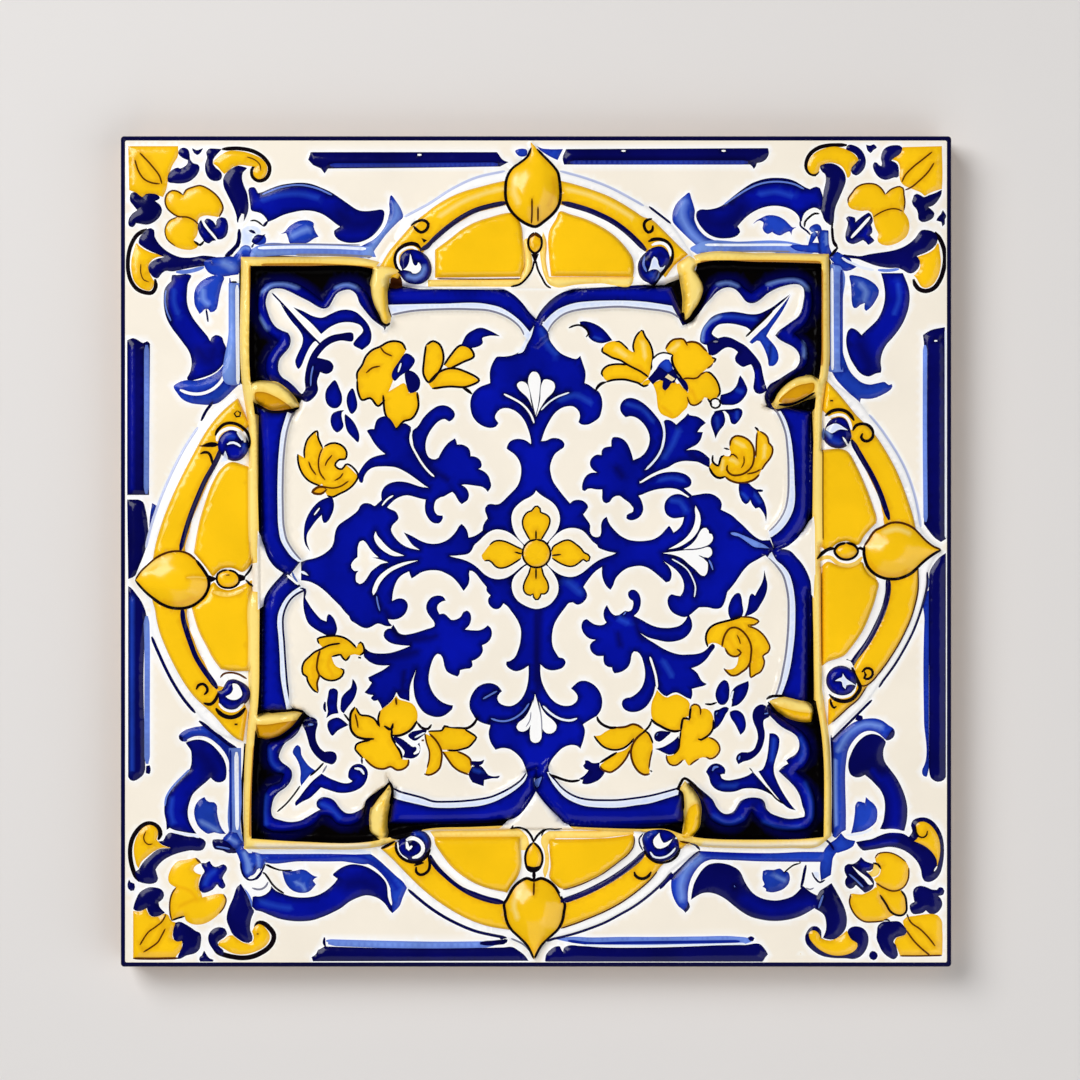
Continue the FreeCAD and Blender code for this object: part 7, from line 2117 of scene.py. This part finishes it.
def face_heights(points, shapes):
    """Height of the face above its plain level at each point."""
    height = np.zeros(len(points))
    for shape in shapes:
        if shape["to"] is None and shape["by"] is None:
            continue
        picked = within_box(points, shape["outline"])
        picked = picked[inside(points[picked], shape["outline"])]
        is_dome = shape["edge"] > DOME_BLUR
        measure = dome_gap if is_dome else gap
        swell = profile(measure(points[picked], shape["outline"]) / shape["edge"])
        if shape["to"] is None:
            height[picked] += shape["by"] * swell
        else:
            ground = height[picked].mean() if is_dome else height[picked]
            height[picked] = ground + (shape["to"] - ground) * swell
    return height


def border_gap(points, triangles, kind):
    """Each point's distance from the nearest border between triangles of different kinds."""
    pairs = np.vstack([triangles[:, [0, 1]], triangles[:, [1, 2]], triangles[:, [2, 0]]])
    pairs = np.sort(pairs, axis=1)
    side = np.tile(kind, 3)
    order = np.lexsort((pairs[:, 1], pairs[:, 0]))
    pairs = pairs[order]
    side = side[order]
    twin = (pairs[1:] == pairs[:-1]).all(axis=1) & (side[1:] != side[:-1])
    borders = points[pairs[1:][twin]]
    marks = np.vstack([borders[:, 0], borders[:, 1], borders.mean(axis=1)])
    return nearest_gap(points, marks)


def paint(points, triangles, shapes):
    """Family number of each triangle and linear colour of each of its corners."""
    names = list(GLAZES)
    middle = points[triangles].mean(axis=1)
    kind = np.full(len(triangles), names.index("cream"))
    for shape in shapes:
        if shape["soft"]:
            continue
        picked = within_box(middle, shape["outline"])
        kind[picked[inside(middle[picked], shape["outline"])]] = names.index(shape["glaze"])
    depth = border_gap(points, triangles, kind)
    colour = np.zeros((len(triangles), 3, 3))
    family = np.zeros(len(triangles), int)
    for number, name in enumerate(names):
        mine = np.flatnonzero(kind == number)
        group, fill, pooled, reach = GLAZES[name]
        family[mine] = FAMILIES.index(group)
        share = np.clip(depth[triangles[mine]] / reach, 0, 1)[:, :, None]
        colour[mine] = linear(pooled) * (1 - share) + linear(fill) * share
    whiten(points, triangles, family, kind == names.index("cream"), colour)
    for shape in shapes:
        if shape["soft"]:
            tint(points, triangles, middle, family, shape, colour)
    return family, colour


def whiten(points, triangles, family, plain, colour):
    """Whitens the plain cream glaze beside blue brushwork."""
    blue = np.unique(triangles[family == FAMILIES.index("blue")])
    pale = np.flatnonzero(plain)
    used = np.unique(triangles[pale])
    near = np.zeros(len(points))
    near[used] = nearest_gap(points[used], points[blue])
    share = np.clip(HALO_START - near / HALO_WIDTH, 0, 1)[triangles[pale]][:, :, None]
    colour[pale] += (np.maximum(linear(HALO), colour[pale]) - colour[pale]) * share


def tint(points, triangles, middle, family, shape, colour):
    """Tints the glazes of one family along a soft stroke; such strokes give brushwork tone, and many give
    painted highlights and painted shade on the relief.
    """
    half = shape["width"] / 2
    picked = within_box(middle, shape["line"], half + TINT_MARGIN)
    picked = picked[family[picked] == FAMILIES.index(shape["soft"])]
    corners = triangles[picked].ravel()
    share = np.clip(1 - gap(points[corners], shape["line"], closed=False) / half, 0, 1)
    share = TINT_SHARE * (share * share * (3 - 2 * share)).reshape(-1, 3, 1)
    fill = GLAZES[shape["glaze"]][1]
    colour[picked] += (linear(fill) - colour[picked]) * share


def wall(upper, lower):
    """Triangles between two rings of equally many points."""
    quads = np.column_stack([upper, lower, np.roll(lower, -1), np.roll(upper, -1)])
    return np.vstack([quads[:, [0, 1, 2]], quads[:, [0, 2, 3]]])


def build_tile(shapes):
    """The tile as one closed mesh object: painted face, sides and keyed back."""
    extra = key_lines()
    rim = rounded_square(FACE_ROUND, extra)
    points, edges = face_points(shapes, rim)
    face, triangles, new_index = triangulate(points, edges)
    family, colour = paint(face, triangles, shapes)
    vertices = [np.column_stack([face, face_heights(face, shapes) + THICKNESS])]
    faces = [triangles]
    materials = [family]
    colours = [colour]

    def add_faces(more, material, tone):
        faces.append(more)
        materials.append(np.full(len(more), material))
        colours.append(np.tile(linear(tone), (len(more), 3, 1)))

    ring = np.array([new_index[i] for i in range(len(rim))])
    total = len(face)
    turns = np.linspace(0, math.pi / 2, FACE_ROUND_STEPS + 1)[1:]
    levels = [(FACE_ROUND * (1 - math.sin(a)), THICKNESS - FACE_ROUND * (1 - math.cos(a))) for a in turns]
    levels += [(0.0, THICKNESS / 2), (0.0, BACK_BEVEL), (BACK_BEVEL, 0.0)]
    for number, (inset, level) in enumerate(levels):
        loop = rounded_square(inset, extra)
        groove = key_height(loop[:, 0]) * (np.abs(loop[:, 1]) > TILE / 2 - KEY_END_ZONE)
        vertices.append(np.column_stack([loop, np.maximum(level, groove)]))
        new_ring = np.arange(len(loop)) + total
        total += len(loop)
        if number < FACE_ROUND_STEPS:
            add_faces(wall(ring, new_ring), FAMILIES.index("dark"), EDGE_LINE)
        else:
            add_faces(wall(ring, new_ring), BARE_CLAY, BISCUIT)
        ring = new_ring

    outline = rounded_square(BACK_BEVEL, extra)
    reach = np.abs(outline[:, 1]).max() - BACK_MARGIN
    columns = np.concatenate([extra, [-BACK_COLUMN, BACK_COLUMN]])
    inner = np.array([(x, y) for x in columns for y in np.linspace(-reach, reach, BACK_ROWS)])
    back_edges = loop_edges(0, len(outline))
    back, back_triangles, back_index = triangulate(np.vstack([outline, inner]), back_edges)
    back_place = np.full(len(back), -1)
    for old, place in enumerate(ring):
        back_place[back_index[old]] = place
    fresh = np.flatnonzero(back_place < 0)
    back_place[fresh] = total + np.arange(len(fresh))
    vertices.append(np.column_stack([back[fresh], key_height(back[fresh, 0])]))
    add_faces(back_place[back_triangles][:, ::-1], BARE_CLAY, BISCUIT)
    parts = (vertices, faces, materials, colours)
    return make_object(*[np.concatenate(part) for part in parts])


def make_object(vertices, faces, materials, colours):
    """A mesh object with its painted colours, in metres."""
    mesh = bpy.data.meshes.new("azulejo_tile_look")
    mesh.from_pydata((vertices * MILLIMETRE).tolist(), [], faces.tolist())
    mesh.polygons.foreach_set("material_index", materials.astype(np.int32))
    mesh.polygons.foreach_set("use_smooth", materials < BARE_CLAY)
    layer = mesh.color_attributes.new("glaze_colour", "FLOAT_COLOR", "CORNER")
    rgba = np.ones((len(faces) * 3, 4), np.float32)
    rgba[:, :3] = colours.reshape(-1, 3)
    layer.data.foreach_set("color", rgba.ravel())
    piece = bpy.data.objects.new("azulejo_tile_look", mesh)
    bpy.context.scene.collection.objects.link(piece)
    return piece


def set_inputs(node, values):
    """Gives a shader node's inputs their values."""
    for name, value in values.items():
        node.inputs[name].default_value = value


def glaze_material(name, roughness, mottle, peel, shine):
    """A glaze or bare clay: painted colour with soft mottling, fine orange peel and uneven gloss."""
    material = bpy.data.materials.new(name)
    material.use_nodes = True
    nodes = material.node_tree.nodes
    links = material.node_tree.links
    shader = nodes["Principled BSDF"]
    set_inputs(shader, {"IOR": GLAZE_IOR, "Specular IOR Level": shine})
    place = nodes.new("ShaderNodeTexCoord")
    painted = nodes.new("ShaderNodeVertexColor")
    painted.layer_name = "glaze_colour"
    broad = nodes.new("ShaderNodeTexNoise")
    set_inputs(broad, {"Scale": MOTTLE_SCALE, "Detail": MOTTLE_DETAIL})
    fine = nodes.new("ShaderNodeTexNoise")
    set_inputs(fine, {"Scale": PEEL_SCALE, "Detail": PEEL_DETAIL})
    levels = nodes.new("ShaderNodeMapRange")
    set_inputs(levels, {"From Min": 0.3, "From Max": 0.7, "To Min": 1 - mottle, "To Max": 1 + mottle})
    tinted = nodes.new("ShaderNodeVectorMath")
    tinted.operation = "SCALE"
    gloss = nodes.new("ShaderNodeMapRange")
    set_inputs(gloss, {"To Min": roughness * GLOSSIEST, "To Max": roughness * DULLEST})
    bump = nodes.new("ShaderNodeBump")
    set_inputs(bump, {"Strength": peel, "Distance": PEEL_DEPTH})
    links.new(place.outputs["Object"], broad.inputs["Vector"])
    links.new(place.outputs["Object"], fine.inputs["Vector"])
    links.new(broad.outputs["Fac"], levels.inputs["Value"])
    links.new(painted.outputs["Color"], tinted.inputs[0])
    links.new(levels.outputs["Result"], tinted.inputs["Scale"])
    links.new(tinted.outputs["Vector"], shader.inputs["Base Color"])
    links.new(broad.outputs["Fac"], gloss.inputs["Value"])
    links.new(gloss.outputs["Result"], shader.inputs["Roughness"])
    links.new(fine.outputs["Fac"], bump.inputs["Height"])
    links.new(bump.outputs["Normal"], shader.inputs["Normal"])
    return material


def add_lamp(name, place, size, power):
    """A square soft light that aims at the tile's middle."""
    data = bpy.data.lights.new(name, "AREA")
    data.size = size
    data.energy = power
    lamp = bpy.data.objects.new(name, data)
    bpy.context.scene.collection.objects.link(lamp)
    lamp.location = place
    lamp.rotation_euler = (-Vector(place)).to_track_quat("-Z", "Y").to_euler()


tile = build_tile(read_drawing(DRAWING))
for finish in FINISHES:
    tile.data.materials.append(glaze_material(*finish))
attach(tile, "root")
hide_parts("azulejo_tile")

low = -FLOOR_HALF
high = FLOOR_HALF
floor_mesh = bpy.data.meshes.new("floor")
floor_corners = [(low, low, 0), (high, low, 0), (high, high, 0), (low, high, 0)]
floor_mesh.from_pydata(floor_corners, [], [(0, 1, 2, 3)])
floor = bpy.data.objects.new("floor", floor_mesh)
bpy.context.scene.collection.objects.link(floor)
floor_material = bpy.data.materials.new("floor")
floor_material.use_nodes = True
floor_shader = floor_material.node_tree.nodes["Principled BSDF"]
floor_tone = (*linear(FLOOR_COLOUR), 1)
set_inputs(floor_shader, {"Base Color": floor_tone, "Roughness": 0.9, "Specular IOR Level": 0.1})
floor_mesh.materials.append(floor_material)

camera_data = bpy.data.cameras.new("camera")
camera_data.lens = CAMERA_LENS
camera_data.sensor_width = CAMERA_SENSOR
camera_data.clip_start = CAMERA_CLIP
camera = bpy.data.objects.new("camera", camera_data)
camera.location = (*CAMERA_OFFSET, THICKNESS * MILLIMETRE + CAMERA_ABOVE_FACE)
bpy.context.scene.collection.objects.link(camera)
bpy.context.scene.camera = camera

for lamp in LAMPS:
    add_lamp(*lamp)
world = bpy.data.worlds.new("studio")
world.use_nodes = True
set_inputs(world.node_tree.nodes["Background"], {"Color": SKY_COLOUR, "Strength": SKY_STRENGTH})
bpy.context.scene.world = world
bpy.context.scene.view_settings.view_transform = "Standard"
